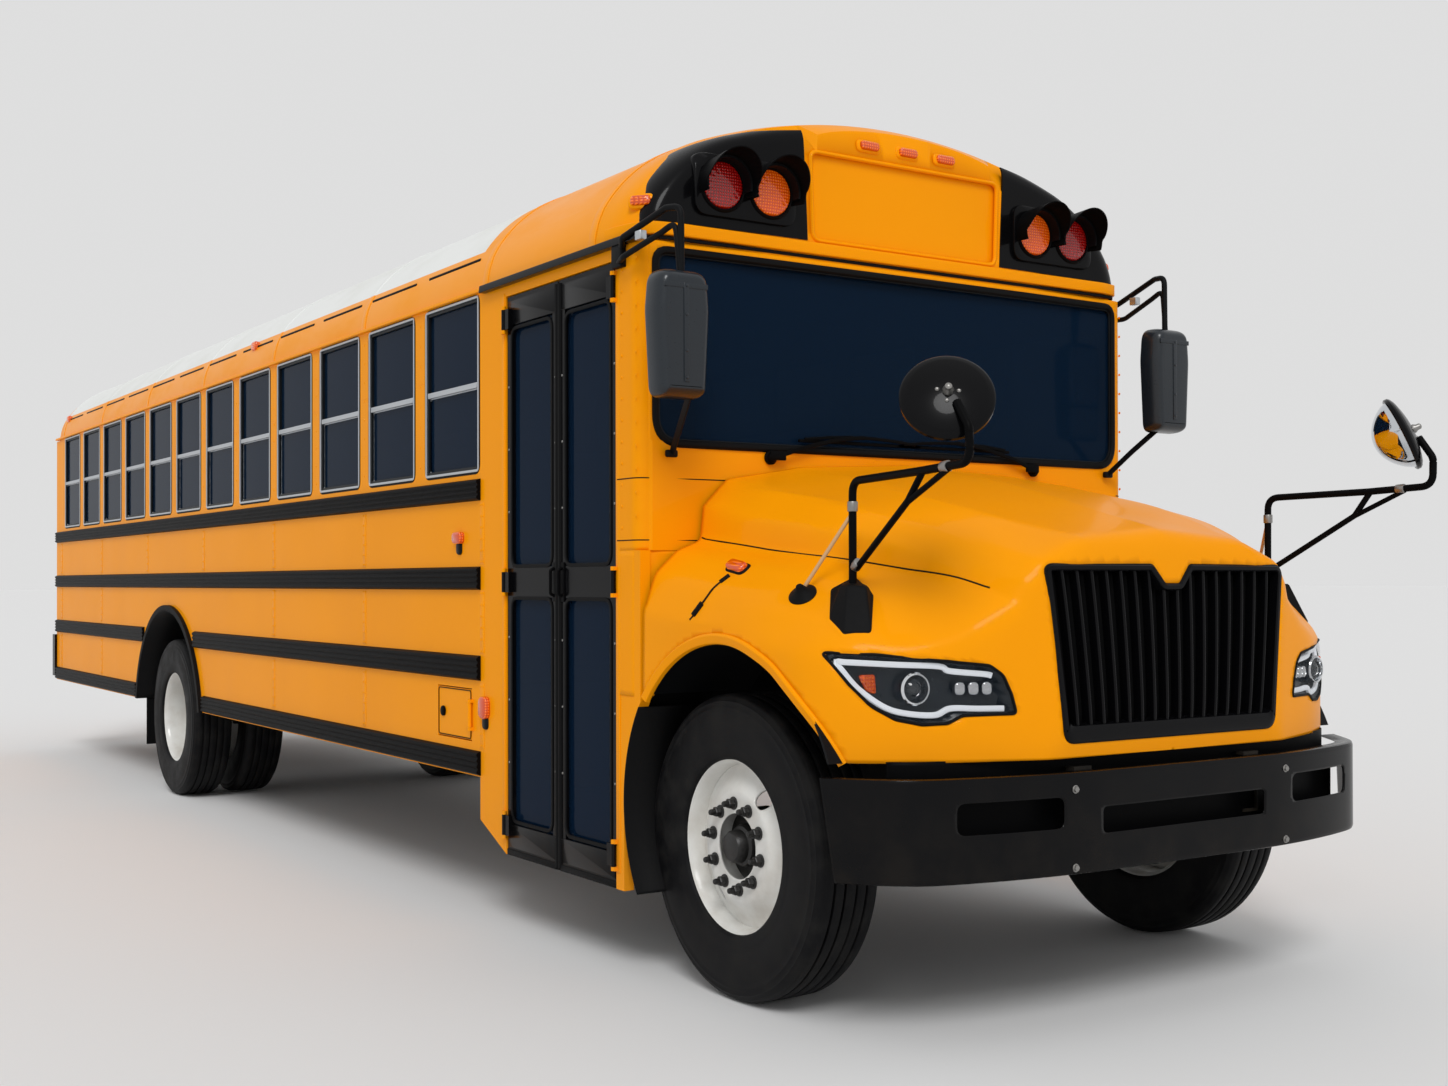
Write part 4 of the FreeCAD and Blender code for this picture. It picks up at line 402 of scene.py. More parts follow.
class Nodes:
    """A shader's node tree."""

    def __init__(self, tree):
        self.tree = tree

    def add(self, kind, settings, inputs, output=0):
        """Adds a node: its settings first, then the values or links of its sockets."""
        made = self.tree.nodes.new(kind)
        for key, value in settings.items():
            setattr(made, key, value)
        for key, value in inputs.items():
            self.plug(made.inputs[key], value)
        return Value(self, made.outputs[output])

    def plug(self, socket, value):
        """Links a Value to a socket, or sets a constant on it."""
        if isinstance(value, Value):
            self.tree.links.new(value.socket, socket)
        else:
            socket.default_value = value


class Finish(Nodes):
    """A material whose surface is one Principled shader."""

    def __init__(self, name, colour, roughness=0.5, **fixed):
        self.material = bpy.data.materials.new(name)
        self.material.use_nodes = True
        super().__init__(self.material.node_tree)
        self.shader = self.tree.nodes["Principled BSDF"]
        self.set("Base Color", colour)
        self.set("Roughness", roughness)
        for socket, value in fixed.items():
            self.set(socket.replace("_", " "), value)
        self.place = self.add("ShaderNodeTexCoord", {}, {}, "Object")
        axes = self.add("ShaderNodeSeparateXYZ", {}, {0: self.place}).socket.node.outputs
        self.x, self.z = Value(self, axes[0]), Value(self, axes[2])
        self.y = Value(self, axes[1]) - AXLE_Y

    def set(self, socket, value):
        """Gives the surface one of its inputs."""
        self.plug(self.shader.inputs[socket], value)

    def noise(self, size, detail=3.0, where=None):
        """Smooth random values whose patches are about `size` metres across."""
        return self.add("ShaderNodeTexNoise", {}, {
            "Vector": where or self.place, "Scale": 1 / size, "Detail": detail,
            "Roughness": 0.55})

    def stretched(self, x=1, y=1, z=1):
        """Object coordinates scaled along each axis, to draw a pattern out."""
        return self.add("ShaderNodeMapping", {}, {"Vector": self.place, "Scale": (x, y, z)})

    def mix(self, share, a, b):
        """Colour a where share is 0, b where it is 1."""
        return self.add("ShaderNodeMix", {"data_type": "RGBA"}, {0: share, 6: a, 7: b}, 2)

    def bump(self, height, distance):
        """Relief whose full height is `distance` metres."""
        self.set("Normal", self.add("ShaderNodeBump", {}, {
            "Height": height, "Distance": distance, "Strength": 1.0}))


YELLOW = paint(252, 158, 4)
WORN_YELLOW = paint(240, 148, 10)
DUST = paint(150, 132, 108)


def yellow_paint():
    """School bus yellow in gloss enamel: orange peel, slightly wavy sheet, road dust low down."""
    made = Finish("yellow_paint", YELLOW, Specular_IOR_Level=0.02, Coat_Weight=0.08,
                  Coat_Roughness=0.05)
    share = (1 - made.z.step(0.2, 1.0)) * made.noise(0.25, 5) * 0.16
    tone = made.noise(0.9, 2)
    worn = made.mix(tone.step(0.35, 0.75) * 0.35, YELLOW, WORN_YELLOW)
    made.set("Base Color", made.mix(share, worn, DUST))
    made.set("Roughness", made.noise(0.4, 4) * 0.12 + 0.27 + share * 0.5)
    peel = made.noise(0.006, 1) * 0.02
    sheet = made.noise(0.55, 1, where=made.stretched(1, 0.8, 0.6))
    made.bump(sheet + peel, 0.0035)
    return made.material


def plain(name, colour, roughness, metallic=0.0, spread=0.1, size=0.05, relief=0.0,
          dusty=None, **fixed):
    """A finish with fine variation in its roughness, shade and relief."""
    made = Finish(name, colour, roughness, Metallic=metallic, **fixed)
    grain = made.noise(size, 5)
    darker = tuple(c * (1 - spread) for c in colour[:3]) + (1.0,)
    shade = made.mix(grain, darker, colour)
    sheen = grain * 0.16 + (roughness - 0.08)
    if dusty:
        low, high, most = dusty
        share = (1 - made.z.step(low, high)) * made.noise(0.12, 6).step(0.3, 0.8) * most
        shade = made.mix(share, shade, DUST)
        sheen = sheen + share * 0.5
    made.set("Base Color", shade)
    made.set("Roughness", sheen)
    if relief:
        made.bump(grain, relief)
    return made.material


def seen_through(name, colour, alpha):
    """Tinted glass: a dark gloss surface that lets part of the light through."""
    made = Finish(name, colour, 0.06, Alpha=alpha, IOR=1.5, Specular_IOR_Level=0.03)
    made.set("Roughness", made.noise(0.35, 5) * 0.05 + 0.04)
    made.bump(made.noise(0.9, 1), 0.002)
    return made.material


YELLOW_PAINT = yellow_paint()
GLOSS_BLACK = plain("gloss_black_paint", paint(9, 9, 11), 0.24, size=0.3, relief=0.0003,
                    dusty=(0.3, 1.0, 0.025), Specular_IOR_Level=0.05, Coat_Weight=0.14,
                    Coat_Roughness=0.05)
SATIN_BLACK = plain("satin_black_paint", paint(12, 12, 13), 0.42, size=0.02, relief=0.0002,
                    Specular_IOR_Level=0.03)
BLACK_PLASTIC = plain("grained_black_plastic", paint(15, 16, 18), 0.5, size=0.003, relief=0.0003,
                      Specular_IOR_Level=0.09)
RUBBER = plain("black_rubber", paint(13, 13, 14), 0.62, size=0.01, relief=0.0003,
               Specular_IOR_Level=0.1)
CHASSIS_BLACK = plain("chassis_black", paint(17, 16, 15), 0.6, size=0.06, relief=0.001,
                      dusty=(0.2, 1.2, 0.25), Specular_IOR_Level=0.25)
DARK_FRAME = plain("dark_window_frame", paint(20, 22, 24), 0.4, size=0.03, relief=0.0002,
                   Specular_IOR_Level=0.12)
IRON = plain("cast_iron", paint(78, 78, 80), 0.65, metallic=0.6, size=0.02, relief=0.001)
STEEL = plain("bare_steel", paint(150, 148, 145), 0.38, metallic=0.9, size=0.03, relief=0.0003)
CHROME = plain("bright_chrome", paint(220, 222, 225), 0.1, metallic=1.0, spread=0.03)
ALUMINIUM = plain("anodised_aluminium", paint(196, 200, 204), 0.36, metallic=0.85, size=0.02,
                  relief=0.0002)
SIDE_GLASS = seen_through("tinted_side_glass", paint(12, 30, 50), 0.88)
CLEAR_GLASS = seen_through("clear_lamp_glass", paint(40, 48, 56), 0.12)
MIRROR_FACE = plain("mirror_face", paint(210, 214, 218), 0.06, metallic=1.0, spread=0.02)
VINYL = plain("seat_vinyl", paint(58, 76, 62), 0.46, size=0.004, relief=0.0008, spread=0.2)
SEAT_FRAME = plain("seat_frame_paint", paint(60, 60, 62), 0.45)
WHEEL_WHITE = plain("white_wheel_paint", paint(226, 226, 222), 0.32, size=0.08, spread=0.05,
                    relief=0.0003, dusty=(0.0, 1.4, 0.45), Coat_Weight=0.3)


def tyre_finish():
    """Black tyre rubber, greyed by dust on the tread and mottled on the walls."""
    made = Finish("tyre_rubber", paint(20, 20, 21), 0.7, Specular_IOR_Level=0.1)
    grain = made.noise(0.004, 4)
    film = made.noise(0.09, 5).step(0.35, 0.8)
    shade = made.mix(film * 0.5, paint(15, 15, 17), paint(46, 45, 43))
    made.set("Base Color", shade)
    made.set("Roughness", film * 0.22 + 0.5)
    made.bump(grain, 0.0006)
    return made.material


def lens_finish(name, colour, deep, glow=0.25):
    """A moulded lens: small round lenslets in rows, with painted shade in the hollows between them,
    lit a little from inside.
    """
    made = Finish(name, colour, 0.18, Coat_Weight=0.5, Coat_Roughness=0.05,
                  Emission_Strength=glow)
    lenslets = made.x.wave(0.011) * made.z.wave(0.011)
    # painted shade: the darker colour deep fills the hollows between the lenslets, the lens colour
    # their tops; the glow takes the same shading
    shade = made.mix(lenslets, deep, colour)
    made.set("Base Color", shade)
    made.set("Emission Color", shade)
    made.set("Roughness", lenslets * 0.1 + 0.14)
    made.bump(lenslets, 0.002)
    return made.material


def glow_finish(name, colour, strength):
    """A lit lamp face."""
    made = Finish(name, colour, 0.35, Emission_Strength=strength)
    made.set("Emission Color", made.mix(made.noise(0.01, 2) * 0.1, colour, paint(255, 255, 255)))
    return made.material


TYRE = tyre_finish()
# the second colour of each lens is the painted shade in the hollows between its lenslets
AMBER_LENS = lens_finish("amber_lens", paint(250, 120, 10), paint(190, 62, 0))
RED_LENS = lens_finish("red_lens", paint(196, 18, 10), paint(110, 2, 2), 0.15)
LED_WHITE = glow_finish("white_light_guide", paint(240, 244, 250), 0.24)

ROOF_WHITE_Z, ROOF_WHITE_Y = 2.774, 1.74        # white begins above and behind these


def sheet_metal_white():
    """Roof enamel with rain streaks: white above and behind two straight edges, else yellow."""
    made = Finish("white_roof_enamel", paint(232, 234, 232), 0.4, Specular_IOR_Level=0.15,
                  Coat_Weight=0.04)
    streak = made.noise(0.5, 5, where=made.stretched(0.3, 1, 3)).step(0.4, 0.8)
    white = made.mix(streak * 0.3, paint(233, 235, 233), paint(205, 204, 196))
    share = made.z.step(ROOF_WHITE_Z - 0.001, ROOF_WHITE_Z + 0.001) * made.y.step(
        ROOF_WHITE_Y - 0.001, ROOF_WHITE_Y + 0.001)
    made.set("Base Color", made.mix(share, made.mix(streak * 0.2, YELLOW, WORN_YELLOW), white))
    made.set("Roughness", streak * 0.2 + 0.32)
    made.bump(made.noise(0.5, 1), 0.004)
    return made.material


WHITE_ROOF = sheet_metal_white()


def stop_red():
    """Red reflective sheet, slightly mottled; its white border is a piece of its own."""
    made = Finish("stop_arm_sheet", paint(190, 16, 20), 0.35, Coat_Weight=0.4)
    dots = made.noise(0.004, 1)
    made.set("Base Color", made.mix(dots * 0.3, paint(190, 16, 20), paint(165, 8, 12)))
    made.set("Roughness", dots * 0.2 + 0.28)
    return made.material


STOP_RED = stop_red()

NODE_FINISH = {
    "body_paint": YELLOW_PAINT, "roof_paint": WHITE_ROOF, "black_paint": GLOSS_BLACK,
    "chassis_paint": CHASSIS_BLACK, "engine_iron": IRON, "bare_steel": STEEL,
    "aluminium": ALUMINIUM, "glass": SIDE_GLASS, "lamp_glass": CLEAR_GLASS,
    "amber_lens": AMBER_LENS, "red_lens": RED_LENS, "sign_red": STOP_RED,
    "black_plastic": BLACK_PLASTIC, "rubber": RUBBER, "tyre": TYRE,
    "wheel_paint": WHEEL_WHITE, "seat_vinyl": VINYL, "seat_frame": SEAT_FRAME}
for part in frame["record"]["subparts"]:
    node = NODES[part["node"]]
    for material_slot in node.material_slots:
        material_slot.material = NODE_FINISH[part["material_slot"]]
for material_slot in NODES["window_frames"].material_slots:
    material_slot.material = DARK_FRAME

# ---- hood and fenders ------------------------------------------------------------------

HOOD_REAR_Y = 0.36
# Half sections of hood and fenders from rear to front: y, then (x, z) of crown, crown edge,
# shoulder top, shoulder foot, valley, fender top, fender shoulder, side, foot.
HOOD_SECTIONS = [
    (HOOD_REAR_Y, (0, 1.838), (0.523, 1.812), (0.85, 1.758), (0.95, 1.66), (0.964, 1.537),
     (1.06, 1.5), (1.15, 1.42), (1.196, 1.28), (1.2, 0.85)),
    (0.0, (0, 1.778), (0.52, 1.748), (0.835, 1.69), (0.93, 1.6), (0.945, 1.492),
     (1.05, 1.455), (1.145, 1.37), (1.195, 1.25), (1.2, 0.85)),
    (-0.42, (0, 1.682), (0.52, 1.655), (0.79, 1.605), (0.88, 1.535), (0.9, 1.451),
     (1.0, 1.4), (1.125, 1.3), (1.194, 1.19), (1.2, 0.85)),
    (-0.65, (0, 1.618), (0.47, 1.592), (0.68, 1.535), (0.78, 1.47), (0.81, 1.405),
     (0.93, 1.33), (1.08, 1.225), (1.19, 1.12), (1.2, 0.85)),
    (-0.80, (0, 1.58), (0.4, 1.552), (0.59, 1.49), (0.65, 1.43), (0.68, 1.369),
     (0.8, 1.27), (0.96, 1.16), (1.18, 1.06), (1.2, 0.85)),
    (-0.96, (0, 1.54), (0.38, 1.51), (0.54, 1.44), (0.59, 1.38), (0.62, 1.31),
     (0.72, 1.21), (0.88, 1.09), (1.16, 1.0), (1.2, 0.85)),
]
NOSE_PROFILE = [(1.70, -0.80), (1.60, -0.86), (1.54, -0.912), (1.40, -0.94), (1.0, -0.955),
                (0.84, -0.94)]                                     # (z, y)
NOSE_PLAN = [(0, -0.962), (0.25, -0.961), (0.47, -0.955), (0.64, -0.905), (0.87, -0.82),
             (1.05, -0.715), (1.15, -0.61), (1.2, -0.48), (1.21, -0.2)]   # (x, y)
SECTION_EYE = 0.85              # height of the point that section angles are measured from


def section_table():
    """Distance from the eye point to each section's outline, by angle, smoothed by splines.

    Rows are sections, columns the angles 0 (sideways) to 90 degrees (up)."""
    angles = np.linspace(0, math.pi / 2, 181)
    rows = []
    for y, *points in HOOD_SECTIONS:
        outline = eased(rounded(points, [0, .3, .05, .03, .03, .05, .08, .1, 0], 4, False), 400)
        theta = np.arctan2(outline[:, 1] - SECTION_EYE, outline[:, 0])
        reach = np.hypot(outline[:, 0], outline[:, 1] - SECTION_EYE)
        order = np.argsort(theta)
        rows.append(np.interp(angles, theta[order], reach[order]))
    return angles, np.array([s[0] for s in HOOD_SECTIONS]), np.array(rows)


SECTION_ANGLES, SECTION_Y, SECTION_REACH = section_table()
FINE_Y = np.linspace(SECTION_Y[-1], SECTION_Y[0], 133)


def hermite(y_known, values, y_wanted):
    """Cubic Hermite curve through values at y_known, with central-difference slopes."""
    slope = np.gradient(values, y_known, axis=0)
    i = np.clip(np.searchsorted(y_known, y_wanted) - 1, 0, len(y_known) - 2)
    h = (y_known[i + 1] - y_known[i])[:, None]
    t = ((y_wanted - y_known[i]) / h[:, 0])[:, None]
    return ((1 + 2 * t) * (1 - t) ** 2 * values[i] + t * (1 - t) ** 2 * h * slope[i]
            + t * t * (3 - 2 * t) * values[i + 1] - t * t * (1 - t) * h * slope[i + 1])


REACH_FINE = hermite(SECTION_Y[::-1], SECTION_REACH[::-1], FINE_Y)
NOSE_Z, NOSE_Y = eased(NOSE_PROFILE, 200).T
PLAN_X, PLAN_Y = eased(NOSE_PLAN, 300).T


def section_reach(y, theta):
    """Bilinear look-up of the sections' distance from the eye point."""
    u = np.clip((y - FINE_Y[0]) / (FINE_Y[1] - FINE_Y[0]), 0, len(FINE_Y) - 1.001)
    v = np.clip(theta / SECTION_ANGLES[1], 0, len(SECTION_ANGLES) - 1.001)
    i, j = u.astype(int), v.astype(int)
    u, v = u - i, v - j
    r = REACH_FINE
    return ((1 - u) * (1 - v) * r[i, j] + u * (1 - v) * r[i + 1, j]
            + (1 - u) * v * r[i, j + 1] + u * v * r[i + 1, j + 1])


def soft_max(values, radius):
    """The largest of several distances, blended over about `radius` where they are near."""
    values = np.stack(values)
    top = values.max(0)
    return top + radius * np.log(np.exp((values - top) / radius).sum(0))


def hood_outside(p):
    """How far each point is outside the hood: below 0 inside, 0 on its skin.

    The smooth largest of three distances: to the sections, to the nose's side
    profile and to its plan."""
    x, y, z = np.abs(p[..., 0]), p[..., 1], p[..., 2]
    theta = np.clip(np.arctan2(np.maximum(z - SECTION_EYE, 0), x), 0, math.pi / 2)
    low = z < SECTION_EYE
    reach = np.where(low, x, np.hypot(x, z - SECTION_EYE))
    side = reach - section_reach(y, np.where(low, 0, theta))
    profile = np.interp(z, NOSE_Z[::-1], NOSE_Y[::-1]) - y
    plan = (np.interp(x, PLAN_X, PLAN_Y) - y) * 0.85
    return soft_max([side, soft_max([profile, plan], 0.004)], 0.016)


def reach_out(start, way, far, outside=hood_outside):
    """Where rays from start along way leave a form, by 40 halvings of 0 to far."""
    way = np.array(way, float)
    low, high = np.zeros(start.shape[:-1]), np.full(start.shape[:-1], float(far))
    for _ in range(40):
        half = (low + high) / 2
        out = outside(start + way * half[..., None]) > 0
        low, high = np.where(out, low, half), np.where(out, half, high)
    return start + way * high[..., None]


FAN_Y = -0.42                   # rays fan out forward from here


def hood_rays(share, theta):
    """Start points and directions: straight across behind FAN_Y, fanned forward before it.

    share runs 0 to 1 from the hood's rear edge to its nose, theta 0 to 90 degrees
    from the side to the top; both may be arrays of one shape."""
    straight = 0.45
    y = np.where(share < straight,
                 HOOD_REAR_Y + (FAN_Y - HOOD_REAR_Y) * share / straight, FAN_Y)
    turn = np.clip((share - straight) / (1 - straight), 0, 1) * math.pi / 2
    way = points_at(np.cos(theta) * np.cos(turn), -np.sin(turn), np.sin(theta) * np.cos(turn))
    return points_at(0, y, SECTION_EYE), unit(way)


HEADLAMP = rounded([(1.149, 1.178), (1.034, 1.172), (0.855, 1.152), (0.725, 1.137), (0.685, 1.108),
                    (0.659, 1.05), (0.644, 0.992), (0.808, 0.990), (0.850, 0.967), (0.92, 0.964),
                    (0.99, 0.980), (1.05, 1.020), (1.10, 1.085)],
                   [0.008, .1, .1, .03, .05, .1, .01, .05, .03, .05, .05, .1, .1], 5)
GRILLE = rounded([(-0.485, 0.897), (0.485, 0.897), (0.552, 1.440), (0.088, 1.440), (0.034, 1.378),
                  (-0.034, 1.378), (-0.088, 1.440), (-0.552, 1.440)],
                 [0.045, 0.045, 0.03, 0.02, 0.02, 0.02, 0.02, 0.03], 6)     # (x, z)
ARCH = (-0.11, 0.62, 0.60)      # (y, z, radius) over a front wheel


def within(outline, points):
    """Which flat points lie inside a closed outline, by counting crossings to their right."""
    a, b = outline, np.roll(outline, -1, axis=0)
    px, py = points[:, 0, None], points[:, 1, None]
    spans = (a[:, 1] > py) != (b[:, 1] > py)
    cross = a[:, 0] + (py - a[:, 1]) / (b[:, 1] - a[:, 1] + 1e-15) * (b[:, 0] - a[:, 0])
    return (spans & (px < cross)).sum(1) % 2 == 1


def nearest(outline, points):
    """The nearest point of a closed outline to each flat point."""
    a, b = outline, np.roll(outline, -1, axis=0)
    side = b - a
    share = ((points[:, None] - a) * side).sum(-1) / np.maximum((side ** 2).sum(-1), 1e-12)
    foot = a + np.clip(share, 0, 1)[..., None] * side
    far = ((points[:, None] - foot) ** 2).sum(-1)
    return foot[np.arange(len(points)), far.argmin(1)]


def front_at(flat):
    """Points of the hood's front face at the given (x, z)."""
    return reach_out(points_at(flat[:, 0], 0.0, flat[:, 1]), FORWARD, 1.2)


def side_at(flat, side):
    """Points of the fender's outer face at the given (y, z); side is +1 or -1."""
    return reach_out(points_at(0.0, *flat.T), (side, 0, 0), 1.4)


def cut_out(part, outline, axes, project, allowed=None, inside=False):
    """Removes the faces of a part whose middles lie inside an outline and draws the
    edge that is left on to the outline itself; `inside` keeps those faces alone.

    axes picks the two coordinates that the outline is in, project puts flat points back
    on the surface and allowed, where it is given, masks the points that may be cut."""
    points, faces = part
    faces = np.array(faces)
    centre = points[faces].mean(1)
    gone = within(outline, centre[:, axes])
    if allowed:
        gone &= allowed(centre)
    edge = np.intersect1d(faces[gone], faces[~gone])
    points = points.copy()
    points[edge] = project(nearest(outline, points[edge][:, axes]))
    kept = faces[gone] if inside else faces[~gone]
    used = np.unique(kept)
    number = np.zeros(len(points), int)
    number[used] = np.arange(len(used))
    return points[used], number[kept].tolist()


def hood_sheet():
    """The whole hood, fenders and nose as one sheet without openings.

    The surface is where rays fanned out of the hood's inside meet the form of
    `hood_outside`; share runs rear to nose and theta from side over the top to side."""
    theta = np.linspace(0, math.pi, 237)
    share = np.linspace(0, 1, 136) ** 0.93
    start, way = hood_rays(*np.meshgrid(share, theta, indexing="ij"))
    return grid(reach_out(start, way, 1.6))


def on_circle(centre, radius, angle):
    """Flat points round a centre."""
    return points_at(centre[0] + radius * np.cos(angle), centre[1] + radius * np.sin(angle))


def in_front(p):
    """Which points lie on the hood's front, where the lamps' and grille's openings are."""
    return p[:, 1] < -0.44


def lamp_cut(part, side, inside=False):
    """The part without, or with only, its faces inside a headlamp's outline."""
    return cut_out(part, HEADLAMP * [side, 1], [0, 2], front_at, in_front, inside)


def hood_skin():
    """The hood's sheet with the arches, lamps and grille cut out."""
    part = hood_sheet()
    arch = on_circle(ARCH[:2], ARCH[2], turn_steps(240))
    for side in SIDES:
        part = cut_out(part, arch, [1, 2], lambda flat: side_at(flat, side),
                       lambda p: p[:, 0] * side > 0.6)
        part = lamp_cut(part, side)
    return cut_out(part, GRILLE, [0, 2], front_at, in_front)


def arch_lip():
    """Rolled yellow edge along both front wheel arches.

    A rounded section of 38 x 55 mm carried along the arch's circle on the fender."""
    angle = np.linspace(math.radians(38.6), math.radians(157.5), 90)
    path = side_at(on_circle(ARCH[:2], ARCH[2], angle), LEFT)
    section = rounded([(-0.034, -0.012), (-0.030, 0.005), (-0.004, 0.010), (0.004, 0.004),
                       (0.004, -0.045), (-0.001, -0.045), (-0.002, -0.014)], 0.004, 3)
    return both(swept(path, section, up=OUTWARD))


def skin_line(points, count=60):
    """A smooth line laid on the hood through points near it, each moved out to the skin."""
    line = eased(points, count)
    eye = points_at(0, np.maximum(line[:, 1], FAN_Y), SECTION_EYE)
    return reach_out(eye, unit(line - eye), 1.6)


FENDER_SEAM = [(0.963, 0.345, 1.545), (0.963, 0.294, 1.536), (0.946, 0.011, 1.503),
               (0.925, -0.298, 1.472), (0.835, -0.592, 1.431), (0.722, -0.741, 1.399),
               (0.667, -0.815, 1.369)]

hood_cover = piece("hood_cover", hood_skin(), [YELLOW_PAINT, SATIN_BLACK], "hood",
                   "hood", smooth=40, wall=0.005)
hood_cover.modifiers["wall"].material_offset = 1        # its inner face is black
piece("hood_arch_lips", arch_lip(), YELLOW_PAINT, "hood")
piece("hood_seams", both(tube(skin_line(FENDER_SEAM), 0.003, 6)), RUBBER, "hood",
      recalc=False)

# ---- roof and its caps -----------------------------------------------------------------

HEAD_Z = 2.58                   # foot of the roof
CROWN_Z = 3.17
CAP_FRONT_Y, CAP_BACK_Y = 0.372, 0.70
CAP_FACE_Y = 0.45               # the front cap's end face lies before this
ROOF_END_Y, REAR_FACE_Y = 9.80, 10.10


def roof_arcs():
    """Driver's half of the roof's section: an upright, then three tangent arcs.

    The two side arcs turn 35 degrees each, with radii in the proportion 330 to 650; the
    crown's arc takes up the rest, all scaled so that they reach the crown's height."""
    spring = HEAD_Z + 0.016
    a, b = math.radians(35), math.radians(70)
    low, high = 0.33, 0.65
    rise = low * math.sin(a) + high * (math.sin(b) - math.sin(a))
    run = low * (1 - math.cos(a)) + high * (math.cos(a) - math.cos(b))
    share = (1 - math.sin(b)) / math.cos(b)
    scale = (CROWN_Z - spring - share * HALF) / (rise - share * run)
    low, high = low * scale, high * scale
    top = (HALF - run * scale) / math.cos(b)
    c1 = np.array([HALF - low, spring])
    c2 = c1 + (low - high) * np.array([math.cos(a), math.sin(a)])
    c3 = c2 + (high - top) * np.array([math.cos(b), math.sin(b)])
    arcs = [on_circle(c, r, t)
            for c, r, t in ((c1, low, np.linspace(0, a, 60)), (c2, high, np.linspace(a, b, 80)),
                            (c3, top, np.linspace(b, math.pi / 2, 100)))]
    return spaced(np.vstack([[HALF, HEAD_Z]] + arcs), 240)


ROOF_ARC = roof_arcs()
ARC_ANGLE = np.arctan2(ROOF_ARC[:, 1] - HEAD_Z, ROOF_ARC[:, 0])
ARC_REACH = np.hypot(ROOF_ARC[:, 0], ROOF_ARC[:, 1] - HEAD_Z)


def cap_outside(p, front=True):
    """How far points are outside an end cap: the soft largest of the distance past the end
    face and past a roof section that shrinks by a quarter ellipse towards it."""
    x, z = np.abs(p[..., 0]), p[..., 2]
    y = p[..., 1]
    theta = np.arctan2(np.maximum(z - HEAD_Z, 0), x)
    reach = np.where(z < HEAD_Z, x, np.hypot(x, z - HEAD_Z))
    if front:
        t = np.clip((CAP_BACK_Y - 0.1 - y) / (CAP_BACK_Y - 0.1 - CAP_FRONT_Y), 0, 1)
        shrink = 0.085 * (1 - np.sqrt(1 - 0.98 * t ** 2))
        end = CAP_FRONT_Y - y
    else:
        t = np.clip((y - ROOF_END_Y) / (REAR_FACE_Y - ROOF_END_Y), 0, 1)
        shrink = 0.17 * (1 - np.sqrt(1 - 0.98 * t ** 2)) * (0.25 + 0.75 * np.sin(theta))
        end = y - REAR_FACE_Y
    side = reach - np.interp(theta, ARC_ANGLE, ARC_REACH) + shrink
    return soft_max([side, end], 0.014)


def cap_rays(front, share, theta):
    """Rays straight across the cap, then fanned out to its end face."""
    near, far = (CAP_BACK_Y, CAP_FRONT_Y + 0.12) if front else (ROOF_END_Y, REAR_FACE_Y - 0.12)
    straight = 0.2
    y = np.where(share < straight, near + (far - near) * share / straight, far)
    turn = np.clip((share - straight) / (1 - straight), 0, 1) ** 0.55 * math.pi / 2
    way = points_at(np.cos(theta) * np.cos(turn), (-1 if front else 1) * np.sin(turn),
                    np.sin(theta) * np.cos(turn))
    return points_at(0, y, HEAD_Z), way


def on_cap(flat, front=True, lift=0.0):
    """Points of a cap's end face at the given (x, z), raised by `lift`."""
    y, way = (CAP_BACK_Y - 0.08, FORWARD) if front else (ROOF_END_Y + 0.05, REARWARD)
    return reach_out(points_at(flat[..., 0], y, flat[..., 1]), way, 0.6,
                     lambda p: cap_outside(p, front) - lift)


def cap_skin(front):
    """An end cap in one smooth sheet, where rays from the roof's foot meet its form."""
    theta = np.linspace(0, math.pi, 161 if front else 101)
    share = np.linspace(0, 1, 80 if front else 60)
    start, way = cap_rays(front, *np.meshgrid(share, theta, indexing="ij"))
    part = grid(reach_out(start, way, 1.6, lambda p: cap_outside(p, front)))
    return part if front else flipped(part)


def patch(inner, outer, rows, cols):
    """Thin raised panel of the front cap between two edges of (x, z) from bottom to top.

    Each row runs straight from the inner edge to the outer one; the rim goes down into
    the cap all round."""
    a, b = eased(inner, rows), eased(outer, rows)
    t = np.concatenate([[0], np.linspace(0, 1, cols - 2), [1]])
    flat = a[:, None] * (1 - t[None, :, None]) + b[:, None] * t[None, :, None]
    flat = np.concatenate([flat[:1], flat, flat[-1:]])
    top, low = on_cap(flat, lift=0.0035), on_cap(flat, lift=-0.004)
    top[:, [0, -1]] = low[:, [0, -1]]
    top[[0, -1]] = low[[0, -1]]
    return grid(top)


def pad(outline, front, lift, back=0.02, edge=0.006):
    """Closed pad standing on a cap: rings of an (x, z) outline drawn in to its middle."""
    outline = anticlockwise(outline)
    middle_point = outline.mean(0)
    rows = [on_cap(outline, front, -back), on_cap(outline, front, lift - edge),
            on_cap(inset(outline, edge * 0.3), front, lift - edge * 0.3)]
    for share in np.linspace(1, 0.02, 10):
        ring = middle_point + (inset(outline, edge) - middle_point) * share
        rows.append(on_cap(ring, front, lift))
    return loft(rows) if front else flipped(loft(rows))


def cap_belt(z, section):
    """A trim swept round the front cap at a height, from side wall to side wall."""
    angle = np.linspace(0.0, math.pi, 120)
    way = points_at(np.cos(angle), -np.sin(angle), 0)
    line = reach_out(points_at(0 * angle, 0.60, z), way, 1.6, cap_outside)
    return swept(spaced(line, 120), section)


def lamp_lens(radius, depth):
    """Round signal lens facing -y: a flat dome with ribs fanned round its rim.

    The dome is depth * (1 - (r/R)^2)^0.4 and the ribs add 1.2 mm * cos(16 angle)
    between half and nine tenths of the radius."""
    r = np.linspace(0.02, 1.0, 18)[:, None]
    a = turn_steps(96)
    height = depth * (1 - r ** 2) ** 0.4 + 0.0012 * np.cos(16 * a) * np.exp(
        -((r - 0.72) / 0.16) ** 4)
    points = points_at(radius * r * np.cos(a), -height, radius * r * np.sin(a))
    points, faces = grid(points, wrap_cols=True)
    faces.append(list(range(len(a)))[::-1])
    return points, faces


